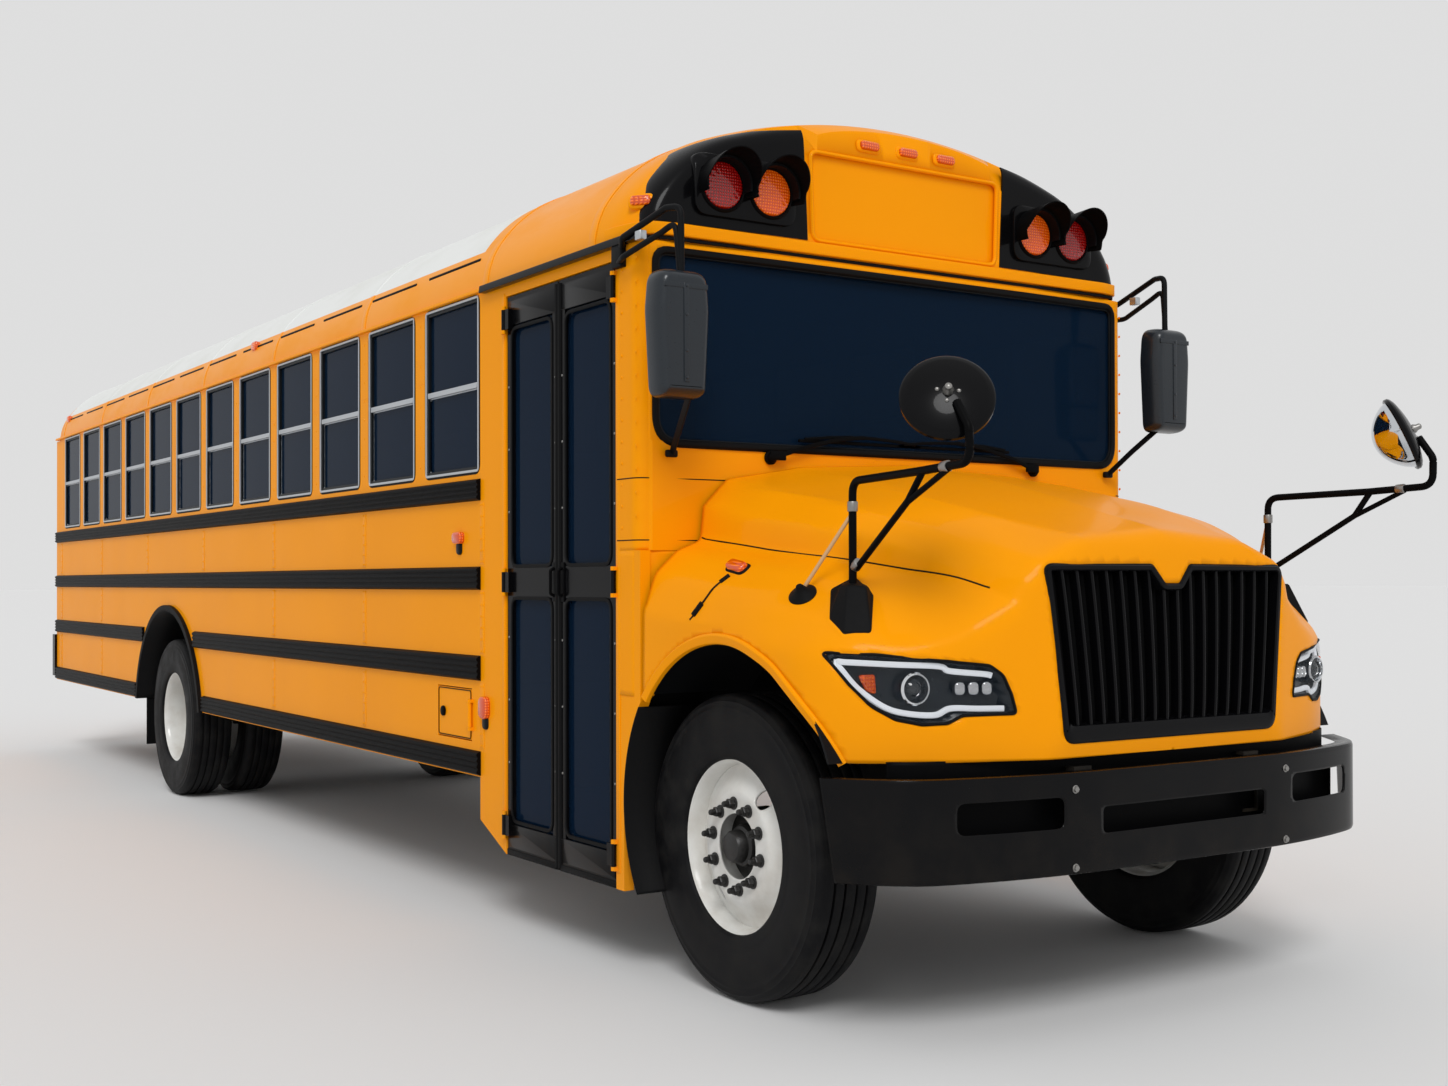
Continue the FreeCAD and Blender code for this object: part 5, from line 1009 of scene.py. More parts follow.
def lamp_visor(radius, length):
    """Half-round shade over a lamp, wider at its mouth; faces -y.

    The mouth slopes: the shade is full length on top and half as long at its sides."""
    a = np.linspace(math.radians(-22), math.radians(202), 60)
    t = np.linspace(0, 1, 16)[:, None]
    reach = length * (0.50 + 0.50 * np.clip(np.sin(a), 0, 1) ** 0.7)
    flare = radius + 0.010 * t
    outer, inner = [points_at(r * np.cos(a), -t * reach, r * np.sin(a))
                    for r in (flare, flare - 0.004)]
    ring = np.concatenate([outer, inner[::-1]])
    points, faces = grid(ring, wrap_rows=True)
    rows, cols = ring.shape[:2]
    faces.append([r * cols for r in range(rows)])
    faces.append([r * cols + cols - 1 for r in range(rows)][::-1])
    return points, faces


def turned(part):
    """The part looking rearwards."""
    return moved(part, scale=(-1, -1, 1))


def placed(part, centre, normal, up=(0, 0, 1)):
    """Turns a part that faces -y so that it faces `normal`, and moves it to `centre`."""
    out = unit(np.array(normal, float))
    across = unit(np.cross(out, np.array(up, float)))
    rise = np.cross(across, out)
    turn = np.stack([-across, -out, rise])
    return part[0] @ turn + np.array(centre, float), part[1]


def capsule(width, height, depth, edge=0.008):
    """Lozenge lens or small housing that faces -y from the plane y = 0."""
    w, h = width / 2, height / 2
    outline = rectangle((-w, w), (-h, h), min(w, h) * 0.9, 6)
    return slab(outline, "y", [(0.004, 0), (edge - depth, 0),
                               (edge * 0.4 - depth, edge * 0.3), (-depth, edge)])


RIVET = lathe([(0, 0.0062), (0.0016, 0.0056), (0.0030, 0.0030), (0.0034, 0.0008)], sides=8)


def rivets(places, normals, size=1.0):
    """Dome rivets at places, each facing its normal (a single one or one each)."""
    places = np.array(places, float)
    normals = np.broadcast_to(np.array(normals, float), places.shape)
    return join([placed((RIVET[0] * size, RIVET[1]), p, n) for p, n in zip(places, normals)])


PANEL = rounded([(-0.455, 2.662), (0.455, 2.662), (0.468, 2.993), (-0.468, 2.993)], 0.035, 6)
front_skin = cut_out(cap_skin(True), PANEL, [0, 2], on_cap, lambda p: p[:, 1] < CAP_FACE_Y)
piece("front_cap_skin", front_skin, YELLOW_PAINT, replaces="front_cap", wall=0.010)
piece("rear_cap_skin", cap_skin(False), YELLOW_PAINT, replaces="rear_cap", wall=0.010)
piece("cap_panel", pad(PANEL * [1.012, 1], True, -0.013, edge=0.003), YELLOW_PAINT)
piece("cap_panel_border", swept(on_cap(PANEL), circle(0.0075, 10) * [1.1, 1.2], closed=True,
                                up=FORWARD), YELLOW_PAINT)

BLACK_INNER = [(0.480, 2.658), (0.486, 2.8), (0.494, 2.95), (0.500, 3.068)]
BLACK_OUTER = [(1.166, 2.655), (1.157, 2.699), (1.133, 2.756), (1.107, 2.808), (1.07, 2.855),
               (1.016, 2.91), (0.954, 2.958), (0.83, 3.005), (0.70, 3.040)]
piece("cap_black_panels", both(patch(BLACK_INNER, BLACK_OUTER, 60, 50)), GLOSS_BLACK)
HOUSING = rectangle((0.545, 0.985), (2.694, 2.922), 0.055, 8)
housings = [both(pad(HOUSING, front, lift, back=0.004))
            for front, lift in ((True, 0.020), (False, 0.016))]
piece("lamp_housings", join(housings), GLOSS_BLACK)

LAMP_Z = 2.807
AMBER_X, RED_X = 0.658, 0.869
FRONT_LAMP_Y = 0.356
REAR_LAMP_Y = REAR_FACE_Y + 0.012
LENS_DEPTH = 0.022
TAIL_X = 0.98
TAIL_LAMPS = {"amber": (1.33, 0.071), "red": (1.56, 0.089)}     # height and radius
MARKER_WAY = (0, -1, 0.12)


def lamp_group(part, x):
    """A lamp part on both sides of the front cap and of the rear cap."""
    front = both(moved(part, (x, FRONT_LAMP_Y, LAMP_Z)))
    rear = both(moved(turned(part), (x, REAR_LAMP_Y, LAMP_Z)))
    return join([front, rear])


def tail_lenses(word):
    """Round lenses of one colour low on both sides of the rear wall."""
    height, radius = TAIL_LAMPS[word]
    lens = turned(lamp_lens(radius, LENS_DEPTH))
    return [moved(lens, (s * TAIL_X, REAR_FACE_Y, height)) for s in SIDES]


signal_lens = lamp_lens(0.086, LENS_DEPTH)
CLEARANCE_X = [-0.19, 0, 0.19]
clear_front = on_cap(points_at(CLEARANCE_X, 3.048))
clear_rear = on_cap(points_at(CLEARANCE_X, 2.908), False)
SIDE_MARKS = [((s * 1.152, 0.445, 2.732), (s * 0.75, -0.66, 0.2)) for s in SIDES]
amber = [lamp_group(signal_lens, AMBER_X)]
amber += [placed(capsule(0.088, 0.034, 0.020), p, MARKER_WAY) for p in clear_front]
amber += [placed(capsule(0.075, 0.036, 0.020), p, n) for p, n in SIDE_MARKS]
amber += tail_lenses("amber")
SIDE_LAMPS = ((1.623, 0.875, 0.072, 0.092, 0.062), (1.88, 1.578, 0.084, 0.050, 0.044))
amber += [placed(capsule(wide, tall, 0.024), (s * HALF, y, z), (s, 0, 0))
          for s in SIDES for y, z, wide, tall, drop in SIDE_LAMPS]
piece("amber_lenses", join(amber), AMBER_LENS, replaces="amber_lamps")
red = [lamp_group(signal_lens, RED_X)]
red += [moved(turned(capsule(0.088, 0.034, 0.020)), p) for p in clear_rear]
red += tail_lenses("red")
piece("red_lenses", join(red), RED_LENS, replaces="red_lamps")
lamp_rim = lathe([(-0.010, 0.098), (0.004, 0.098), (0.010, 0.095), (0.013, 0.090),
                  (0.010, 0.086), (-0.010, 0.086)], sides=72, closed=True)
for name, part in (("lamp_rims", lamp_rim), ("lamp_visors", lamp_visor(0.100, 0.145))):
    piece(name, join([lamp_group(part, x) for x in (AMBER_X, RED_X)]), SATIN_BLACK)
bases = [placed(capsule(0.112, 0.050, 0.006), p, MARKER_WAY) for p in clear_front]
bases += [placed(capsule(0.100, 0.058, 0.008), p, n) for p, n in SIDE_MARKS]
piece("marker_bases", join(bases), YELLOW_PAINT)
feet = [placed(capsule(0.046, 0.056, 0.012), (s * HALF, y, z - drop), (s, 0, 0))
        for s in SIDES for y, z, wide, tall, drop in SIDE_LAMPS]
piece("side_lamp_feet", join(feet), DARK_FRAME)

BELT = rounded([(-0.016, -0.020), (-0.012, -0.0225), (0.006, -0.0225), (0.006, 0.0225),
                (-0.012, 0.0225), (-0.016, 0.020)], 0.003, 2)
piece("cap_belt", cap_belt(2.6295, BELT), YELLOW_PAINT)
piece("cap_seal_line", cap_belt(2.598, rectangle((-0.006, 0.004), (-0.006, 0.006), 0.002, 2)),
      RUBBER)

# ---- grille, headlamps and front bumper ------------------------------------------------


def on_front(x, z, into=0.0):
    """Points of the hood's front at (x, z), moved rearwards by `into`."""
    flat = points_at(x, z)
    return front_at(flat.reshape(-1, 2)).reshape(flat.shape[:-1] + (3,)) + [0, into, 0]


def grille_frame():
    """Rim of the grille: rings of its outline, drawn in and back from the hood's skin.

    The bottom bar is as wide as the gap between the outline and z = 0.955."""
    outline = anticlockwise(GRILLE)
    rings = [(0.0, 0.014), (0.0, -0.004), (0.003, -0.007), (0.015, -0.006), (0.019, -0.001),
             (0.022, 0.030)]
    rows = []
    for by, into in rings:
        ring = inset(outline, by)
        low = ring[:, 1] < 0.93
        ring[low, 1] += np.clip(by / 0.022, 0, 1) * 0.036
        rows.append(on_front(ring[:, 0], ring[:, 1], into))
    return grid(np.stack(rows), wrap_cols=True)


def grille_slats():
    """Upright fins of the grille: thin blades with a rounded nose, 36 mm deep."""
    fins = []
    section = rounded([(-0.004, -0.036), (0.004, -0.036), (0.007, 0.0), (-0.007, 0.0)],
                      [0.001, 0.001, 0.006, 0.006], 4)
    for u in np.linspace(-1, 1, 18)[1:-1]:
        top = 1.372 if abs(u) < 0.08 else 1.428
        z = np.linspace(0.935, top, 24)
        x = u * (0.478 + (z - 0.897) * 0.1234)
        fins.append(swept(on_front(x, z, 0.006), section, up=FORWARD))
    return join(fins)


piece("grille_frame", grille_frame(), GLOSS_BLACK, "hood", replaces="grille")
piece("grille_slats", grille_slats(), GLOSS_BLACK, "hood")
backing = grid(on_front(*np.meshgrid(np.linspace(-0.53, 0.53, 30), np.linspace(0.9, 1.43, 20)),
                        0.052))
piece("grille_backing", backing, SATIN_BLACK, "hood", wall=0.004)


def headlamp(side):
    """Bowl, cover, light guide, projector, reflector and lesser lamps of one headlamp.

    The bowl is the cover moved back by 52 mm * (1 - (1 - s)^2), s rising from 0 at the
    opening's edge to 1 at 30 mm from it."""
    points, faces = lamp_cut(hood_sheet(), side, inside=True)
    flat = points[:, [0, 2]]
    edge = np.linalg.norm(nearest(HEADLAMP * [side, 1], flat) - flat, axis=1)
    depth = 0.052 * (1 - (1 - np.clip(edge / 0.030, 0, 1)) ** 2)
    bowl = points + depth[:, None] * np.array([-0.25 * side, 1.0, 0]), faces
    guide = eased(LIGHT_GUIDE, 160) * [side, 1, 1] + [0, 0.016, 0]
    projector = PROJECTOR * [side, 1, 1]
    flat_guide = rectangle((-0.009, 0.009), (-0.007, 0.005), 0.004, 3)
    return {
        "bowl": bowl,
        "cover": (points + [0, -0.001, 0], faces),
        "guide": swept(guide, flat_guide, up=FORWARD),
        "ring": lathe([(-0.03, 0.047), (0.016, 0.050), (0.020, 0.047), (0.020, 0.042),
                       (0.006, 0.037), (-0.03, 0.030)], projector,
                      (side * 0.15, -1, 0), 64, closed=True),
        "lens": lathe([(-0.02, 0.036)] + [(0.022 * (1 - (r / 0.036) ** 2), r) for r in
                                          np.linspace(0.036, 0.002, 14)],
                      projector, (side * 0.15, -1, 0), 48),
        "reflector": placed(bevelled(rounded(AMBER_REFLECTOR * [side, 1], 0.008, 4), "y", -0.006,
                                     0.012, 0.003),
                            on_front([side * 1.035], [1.08], 0.03)[0] * [0, 1, 0], FORWARD),
        "cells": join([placed(capsule(0.034, 0.040, 0.02, 0.005),
                              on_front([side * x], [1.068], 0.035)[0], (side * 0.35, -1, 0.05))
                       for x in (0.716, 0.757, 0.798)]),
    }


LIGHT_GUIDE = [(0.672, -.894, 1.007), (0.752, -.866, 1.008), (0.832, -.836, 1.010),
               (0.877, -.816, 0.991), (0.960, -.773, 0.998), (1.014, -.740, 1.019),
               (1.072, -.697, 1.071), (1.105, -.666, 1.123), (1.118, -.650, 1.150),
               (1.094, -.675, 1.149), (0.98, -.757, 1.142), (0.864, -.822, 1.136),
               (0.834, -.835, 1.122), (0.729, -.874, 1.111), (0.709, -.881, 1.106)]
PROJECTOR = np.array([0.932, -0.766, 1.070])
AMBER_REFLECTOR = np.array([(1.078, 1.112), (1.023, 1.112), (1.018, 1.051), (1.047, 1.064)])
LAMP_SLATE = plain("dark_lamp_bowl", paint(24, 31, 38), 0.3, size=0.02, relief=0.0002)
DARK_LENS = plain("dark_projector_glass", paint(26, 32, 38), 0.05, spread=0.05,
                  Coat_Weight=0.6)
lamps = [headlamp(side) for side in SIDES]
for key, finish, kind in (("bowl", LAMP_SLATE, "headlamps"), ("cover", CLEAR_GLASS, ""),
                          ("guide", LED_WHITE, ""), ("ring", CHROME, ""),
                          ("lens", DARK_LENS, ""), ("reflector", AMBER_LENS, ""),
                          ("cells", CHROME, "")):
    piece("headlamp_" + key, join([lamp[key] for lamp in lamps]), finish, "hood",
          replaces=kind, wall=0.003 if key in ("bowl", "cover") else 0)
rim = [swept(on_front(*anticlockwise(HEADLAMP * [side, 1]).T), circle(0.005, 8), closed=True,
             up=FORWARD) for side in SIDES]
rim.append(swept(on_front(*anticlockwise(GRILLE).T), circle(0.004, 8), closed=True,
                 up=FORWARD))
piece("lamp_and_grille_seals", join(rim), RUBBER, "hood")

BUMPER_PLAN = [(-1.208, -0.670), (-1.050, -0.850), (-0.874, -0.930), (-0.500, -0.992),
               (0, -1.0), (0.500, -0.992), (0.874, -0.930), (1.050, -0.850), (1.208, -0.670)]
BUMPER_Z = (0.505, 0.815)
BUMPER_LINE = eased(BUMPER_PLAN, 600)
BUMPER_REACH = np.linalg.norm(np.diff(BUMPER_LINE, axis=0), axis=1).sum() / 2
BUMPER_NORMAL = unit(np.gradient(BUMPER_LINE, axis=0)[:, ::-1] * [1, -1])


def bumper_point(share, z, back=0.0):
    """Point of the bumper at a share (-1 to 1) of its length, `back` behind its face.

    The ends slope: the bottom edge is 45 mm shorter than the top at each end."""
    low, high = BUMPER_Z
    reach = share * (BUMPER_REACH - 0.045 * np.clip((high - z) / (high - low), 0, 1))
    at = (reach / BUMPER_REACH + 1) / 2 * (len(BUMPER_LINE) - 1)
    index = np.arange(len(BUMPER_LINE))
    flat = [np.interp(at, index, BUMPER_LINE[:, k]) - back * np.interp(at, index, BUMPER_NORMAL[:, k])
            for k in (0, 1)]
    return np.stack(flat + [z + 0 * at], -1)


def bumper_skin():
    """Pressed bumper: a face with rolled edges above and below and three slots."""
    low, high = BUMPER_Z
    profile = [(0.060, high - 0.004), (0.012, high), (0.0035, high - 0.003), (0, high - 0.012)]
    profile += [(0, z) for z in np.linspace(high - 0.020, low + 0.020, 42)]
    profile += [(0, low + 0.012), (0.0035, low + 0.003), (0.012, low), (0.060, low + 0.004)]
    back, z = np.array(profile).T
    part = grid(bumper_point(np.linspace(-1, 1, 261), z[:, None], back[:, None]))

    def face(flat):
        return points_at(flat[:, 0], np.interp(flat[:, 0], *BUMPER_LINE.T), flat[:, 1])

    for across, up, radius in (((-0.376, 0.376), (0.622, 0.703), 0.018),
                               ((0.53, 0.898), (0.648, 0.742), 0.028),
                               ((-0.898, -0.53), (0.648, 0.742), 0.028)):
        part = cut_out(part, rectangle(across, up, radius, 6), [0, 2], face)
    return part


piece("front_bumper_skin", bumper_skin(), GLOSS_BLACK, replaces="front_bumper", wall=0.006)
for name, share, z, back in (("bumper_backing", np.linspace(-0.80, 0.80, 61), (0.54, 0.79), 0.075),
                             ("front_valance", np.linspace(-0.86, 0.86, 81), (0.770, 0.855), 0.105)):
    sheet = bumper_point(share, np.linspace(*z, 8)[:, None], back)
    piece(name, grid(sheet), SATIN_BLACK, wall=0.004)

HEX = on_circle((0, 0), 1, np.arange(6) * math.pi / 3)


def hex_bolt(size, height):
    """Hexagonal bolt head on a washer, facing -y."""
    head = bevelled(HEX * size, "y", -height, -0.002, size * 0.12)
    washer = lathe([(0, size * 1.35), (0.003, size * 1.35), (0.004, size * 1.2)], sides=20)
    return join([head, washer])


bolts = [moved(hex_bolt(0.0095, 0.010), (s * 0.489, -0.992, z))
         for s in SIDES for z in (0.763, 0.527)]
piece("bumper_bolts", join(bolts), STEEL)

# ---- wheels ----------------------------------------------------------------------------

TYRE_RADIUS, TYRE_HALF = 0.510, 0.127
STUD_RADIUS = 0.1425
NUT_TURNS = np.arange(10) * math.pi / 5 + 0.2
HAND_HOLE = math.radians(128)       # over the front of the hub, and opposite


def tyre_profile():
    """Tyre's section as (across, radius): bead, bulging wall, shoulder and grooved tread.

    The crown falls off by 3 mm to its shoulders and has four grooves 12 mm deep."""
    wall = [(0.100, 0.288), (0.112, 0.292), (0.1175, 0.300), (0.119, 0.318), (0.1225, 0.330),
            (0.1222, 0.334), (0.1255, 0.352), (0.1285, 0.385), (0.1288, 0.412), (0.1268, 0.440),
            (0.1240, 0.458), (0.1252, 0.461), (0.1236, 0.465), (0.1195, 0.479), (0.1205, 0.4835),
            (0.1165, 0.4875), (0.1125, 0.4955), (0.1085, 0.5005), (0.1010, 0.5045)]
    ribs = []
    for low, high in ((0.0975, 0.068), (0.058, 0.027), (0.018, 0.0)):
        top = TYRE_RADIUS - 0.003 * (np.array([low, high]) / 0.0975) ** 2
        ribs += [(low - 0.0005 + 0.001 * (low < 0.09), top[0] - 0.0015), (low - 0.002, top[0]),
                 (high + 0.002, top[1]), (high + 0.0002, top[1] - 0.0015)]
        if high:
            ribs += [(high - 0.0012, TYRE_RADIUS - 0.012), (high - 0.0088, TYRE_RADIUS - 0.012)]
    half = np.array(wall + ribs[:-2])
    return np.vstack([half * [-1, 1], half[::-1]])


def wheel_lathe(profile, x, y, sides=72, closed=False):
    """Body of revolution about a wheel's axle; the profile runs outwards from x."""
    return lathe(profile, (x, y, WHEEL_Z), OUTWARD, sides, closed)


def wheel_nuts(x, y, face):
    """A wheel's ten hexagonal nuts on their flanges, with the studs' rounded ends."""
    profiles = (([(0, 0.0225), (0.004, 0.022), (0.006, 0.018)], 14),
                ([(0.005, 0.0175), (0.022, 0.0175), (0.026, 0.0145)], 6),
                ([(0.024, 0.0105), (0.038, 0.0105), (0.044, 0.0085), (0.047, 0.004)], 12))
    shape = [lathe(profile, axis=OUTWARD, sides=sides) for profile, sides in profiles]
    places = points_at(x + face, *on_circle((y, WHEEL_Z), STUD_RADIUS, NUT_TURNS).T)
    return repeated(join(shape), places)


def wheel_disc(profile, x, y):
    """Pressed disc given as (across, radius) from bore to rim, with two round hand holes."""
    across, r = eased(profile, 46).T
    hub = (y, WHEEL_Z)

    def on_disc(flat):
        reach = np.hypot(flat[..., 0] - y, flat[..., 1] - WHEEL_Z)
        return points_at(x + np.interp(reach, r, across), flat[..., 0], flat[..., 1])

    part = grid(on_disc(on_circle(hub, r[:, None], turn_steps(160))), wrap_cols=True)
    for side in (1, -1):
        hole = on_circle(on_circle(hub, side * 0.213, HAND_HOLE), 0.033, turn_steps(40))
        part = cut_out(part, hole, [1, 2], on_disc)
    return part


RIM_LOOP = [(0.1005, 0.3015), (0.1055, 0.3090), (0.1105, 0.3105), (0.1140, 0.3060), (0.1120, 0.2985),
            (0.1050, 0.2935), (0.0980, 0.2820), (0.0700, 0.2755), (0.0420, 0.2720), (-0.0300, 0.2700),
            (-0.0900, 0.2760), (-0.1050, 0.2930), (-0.1140, 0.3020), (-0.1105, 0.3105),
            (-0.1005, 0.3015), (-0.0980, 0.2865), (0.0940, 0.2865)]
FRONT_DISC = [(0.086, 0.108), (0.090, 0.112), (0.090, 0.140), (0.090, 0.172), (0.087, 0.186),
              (0.077, 0.203), (0.060, 0.226), (0.047, 0.246), (0.041, 0.262), (0.040, 0.2735)]
REAR_DISC = [(-0.087, 0.108), (-0.083, 0.112), (-0.083, 0.140), (-0.083, 0.172), (-0.080, 0.188),
             (-0.070, 0.208), (-0.056, 0.230), (-0.045, 0.248), (-0.040, 0.262), (-0.038, 0.2735)]


def fitted(side, part):
    """A driver's side part as it is, or its mirror image for the kerb side."""
    return part if side == LEFT else kerb(part)


HUB_BLACK = plain("greasy_hub_black", paint(26, 25, 24), 0.42, size=0.012, relief=0.0008,
                  spread=0.4)
FRONT_HUB = [(-0.040, 0.125), (0.030, 0.125), (0.032, 0.105), (0.034, 0.074), (0.060, 0.072),
             (0.074, 0.066), (0.080, 0.056), (0.106, 0.053), (0.116, 0.046), (0.121, 0.030),
             (0.123, 0.006)]
REAR_HUB = [(-0.125, 0.13), (-0.098, 0.13), (-0.096, 0.1075), (-0.020, 0.105), (-0.014, 0.100),
            (-0.012, 0.088), (-0.002, 0.086), (0.001, 0.080), (0.002, 0.02)]
front_x = float(middle("front_tyre_left")[0])
box_low, box_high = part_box("rear_tyres_left")
rear_outer, rear_inner = float(box_high[0]) - TYRE_HALF, float(box_low[0]) + TYRE_HALF
# Name, body, tyre node, axle, the middles of its tyres from outside inwards, disc and hub.
WHEELS = (("front", "front_wheel", "front_tyre", 0.0, [front_x], FRONT_DISC, FRONT_HUB),
          ("rear", "rear_wheels", "rear_tyres", REAR_AXLE, [rear_outer, rear_inner], REAR_DISC,
           REAR_HUB))
for side, word in ((LEFT, "left"), (RIGHT, "right")):
    for end, body, tyre, y, places, disc, hub in WHEELS:
        body, x = f"{body}_{word}", places[0]
        tyres = join([wheel_lathe(tyre_profile(), at, y, 120, True) for at in places])
        rims = join([wheel_lathe(RIM_LOOP, at, y, closed=True) for at in places])
        dark = join([wheel_nuts(x, y, disc[3][0] + 0.001), wheel_lathe(hub, x, y, 48)])
        piece(f"{end}_tread_{word}", fitted(side, tyres), TYRE, body,
              replaces=f"{tyre}_{word}", smooth=50)
        piece(f"{end}_rim_ring_{word}", fitted(side, rims), WHEEL_WHITE, body,
              replaces=f"{end}_rim_{word}", smooth=50)
        piece(f"{end}_disc_{word}", fitted(side, wheel_disc(disc, x, y)), WHEEL_WHITE, body,
              smooth=50, wall=0.010)
        piece(f"{end}_hub_and_nuts_{word}", fitted(side, dark), HUB_BLACK, body)

# ---- side walls, windows and doors -----------------------------------------------------

BAY = 0.681                     # from one window, and one bench, to the next
WINDOWS = [(1.690 + BAY * i, 2.240 + BAY * i) for i in range(12)]
WINDOW_Z = (1.85, HEAD_Z)
SASH_Z = 2.21
RAILS = [(1.728, 1.819, 0), (1.358, 1.455, 0), (0.982, 1.086, 0.625), (0.590, 0.691, 0.822)]
RAIL_ENDS = (1.675, 10.040)
ARCH_MIDDLE = 6.527
SEAMS = [1.660] + [w[0] - 0.0655 for w in WINDOWS[2::2]] + [9.86]


def strip(y, z, out, thick, x=HALF, edge=0.002):
    """Flat plate on the driver's side wall: (low, high) in y and z, its proud height."""
    return block((x - thick, x + out), y, z, edge, axis="x")


def rail_profile(low, high):
    """Pressed rail: two shoulders and three grooves, as (across, up) from the wall.

    It stands out by 20 mm * sin(pi s / 2)^0.8, s rising to 1 over its shoulders, less
    3 mm * (1 - cos(6 pi u)) between them."""
    t = np.linspace(0, 1, 60)
    shoulder = np.clip(np.minimum(t, 1 - t) / 0.13, 0, 1)
    ribs = 0.5 - 0.5 * np.cos(2 * math.pi * np.clip((t - 0.16) / 0.68, 0, 1) * 3)
    out = 0.020 * np.sin(shoulder * math.pi / 2) ** 0.8 - 0.006 * ribs * (shoulder >= 1)
    outer = points_at(-out - 0.0005, low + t * (high - low))
    return np.vstack([outer, [(0.004, high), (0.004, low)]])


def rub_rails():
    """Four ribbed rails on the driver's side; the rear arch breaks the two lower ones."""
    runs = []
    for low, high, gap in RAILS:
        spans = [RAIL_ENDS]
        if gap:
            spans = [(RAIL_ENDS[0], ARCH_MIDDLE - gap), (ARCH_MIDDLE + gap, RAIL_ENDS[1])]
        for start, end in spans:
            path = points_at(HALF, np.linspace(end, start, 8), 0)
            runs.append(swept(path, rail_profile(low, high)))
    return join(runs)


def frame_ring(across, up, corner, width, proud, at=HALF, out=OUTWARD):
    """Flat ring with rounded corners round an opening in the wall that faces `out`."""
    flat = rectangle(across, up, corner, 5).T
    path = points_at(at, *flat) if out[0] else points_at(flat[0], at, flat[1])
    section = rectangle((-width / 2, width / 2), (-0.004, proud), 0.002, 2)
    return swept(path, section, closed=True, up=out)


piece("ribbed_rub_rails", both(rub_rails()), SATIN_BLACK, replaces="rub_rails")
rings = [frame_ring(grown(w, -0.004), grown(WINDOW_Z, -0.004), 0.012, 0.011, 0.004)
         for w in WINDOWS]
rings += [frame_ring(grown(w, -0.018), (WINDOW_Z[0] + 0.018, SASH_Z - 0.012), 0.01, 0.008, 0.003,
                     HALF - 0.014) for w in WINDOWS]
piece("window_rings", both(join(rings)), ALUMINIUM)
bars = [strip(grown(w, -0.020), grown((SASH_Z, SASH_Z), 0.012), 0.002, 0.02, edge=0.003)
        for w in WINDOWS]
piece("sash_bars", both(join(bars)), ALUMINIUM)
catches = [strip(grown((y, y), 0.025), (SASH_Z - 0.022, SASH_Z - 0.004), 0.002, 0.01,
                 x=HALF - 0.022) for w in WINDOWS for y in grown(w, -0.10)]
gaskets = [frame_ring(grown(w, 0.006), (WINDOW_Z[0] - 0.006, WINDOW_Z[1] + 0.001), 0.04, 0.010,
                      0.002) for w in WINDOWS]
piece("window_gaskets", both(join(catches + gaskets)), RUBBER)


def seam_runs(*spans):
    """(y, span in z) of the lap seams between the rails, save where the rear arch is."""
    return [(y, z) for y in SEAMS for z in spans if abs(y - ARCH_MIDDLE) > 0.95 or z[0] > 1.3]


def wall_lines():
    """Lap seams, window post seams and drip moulding of the driver's side wall."""
    parts = [strip(grown((y, y), 0.020), z, 0.0014, 0.003, edge=0.0006)
             for y, z in seam_runs((0.700, 0.972), (1.095, 1.350), (1.464, 1.720))]
    parts += [strip((w[0] - 0.1305, w[0]), (SASH_Z + 0.06, SASH_Z + 0.062), 0.0012, 0.002,
                    edge=0.0005) for w in WINDOWS[1:]]
    drip = rounded([(-0.018, -0.006), (-0.014, 0.010), (0.010, 0.016), (0.010, -0.008)], 0.003, 2)
    parts.append(swept(points_at(HALF, np.linspace(10.04, 1.64, 6), HEAD_Z + 0.014), drip))
    return join(parts)


piece("wall_seams", both(wall_lines()), YELLOW_PAINT)
spots = [(HALF + 0.0012, y + d, z) for y, ends in seam_runs((0.715, 0.960), (1.105, 1.345),
                                                            (1.475, 1.710))
         for d in (-0.011, 0.011) for z in np.linspace(*ends, 6)]
spots += [(HALF, w[0] - 0.0655, z) for w in WINDOWS[1:] for z in np.linspace(1.90, 2.53, 8)]
spots += [(HALF, y, z) for y in (0.40, 0.445) for z in np.linspace(1.62, 2.52, 12)]
piece("wall_rivets", both(rivets(spots, OUTWARD, 0.9)), YELLOW_PAINT)


def roof_point(z, y, lift=0.0):
    """Points of the driver's side of the roof at a height."""
    return points_at(np.interp(z, ROOF_ARC[:, 1], ROOF_ARC[:, 0]) + lift, y, z)


dashes = [swept(roof_point(2.738, np.linspace(w[0] + 0.050, w[0] + 0.585, 5), 0.0005),
                circle(0.007, 8) * [0.35, 1]) for w in WINDOWS]
piece("roof_edge_slots", both(join(dashes)), SATIN_BLACK)
markers = [placed(capsule(0.085, 0.05, 0.022), roof_point(2.746, y), (1, 0, 0.1))
           for y in (4.77, 9.72)]
piece("roof_edge_markers", both(join(markers)), AMBER_LENS)

BOWS = [0.72, 1.625, 3.0, 4.36, 5.72, 7.08, 8.44, 9.79]
HATCH_BOW, HATCH_SIDE = 8.44, 0.345     # this lap ends at the rear hatch's rim on each side


def roof_lap(y):
    """Flat strip 50 mm wide and 6 mm thick carried over the roof's arc at y."""
    half = ROOF_ARC[2::6]
    path = np.vstack([half, half[::-1][1:] * [-1, 1]])
    if y == HATCH_BOW:
        rim = np.interp(HATCH_SIDE, ROOF_ARC[::-1, 0], ROOF_ARC[::-1, 1])
        path = np.vstack([half[half[:, 0] > HATCH_SIDE], (HATCH_SIDE, rim)])
    flat = rectangle((-0.003, 0.003), (-0.025, 0.025), 0.002, 2)
    strap = swept(points_at(path[:, 0], y, path[:, 1]), flat, up=REARWARD)
    return both(strap) if y == HATCH_BOW else strap


piece("roof_laps", join([roof_lap(y) for y in BOWS]), WHITE_ROOF)

# ---- entrance doors --------------------------------------------------------------------

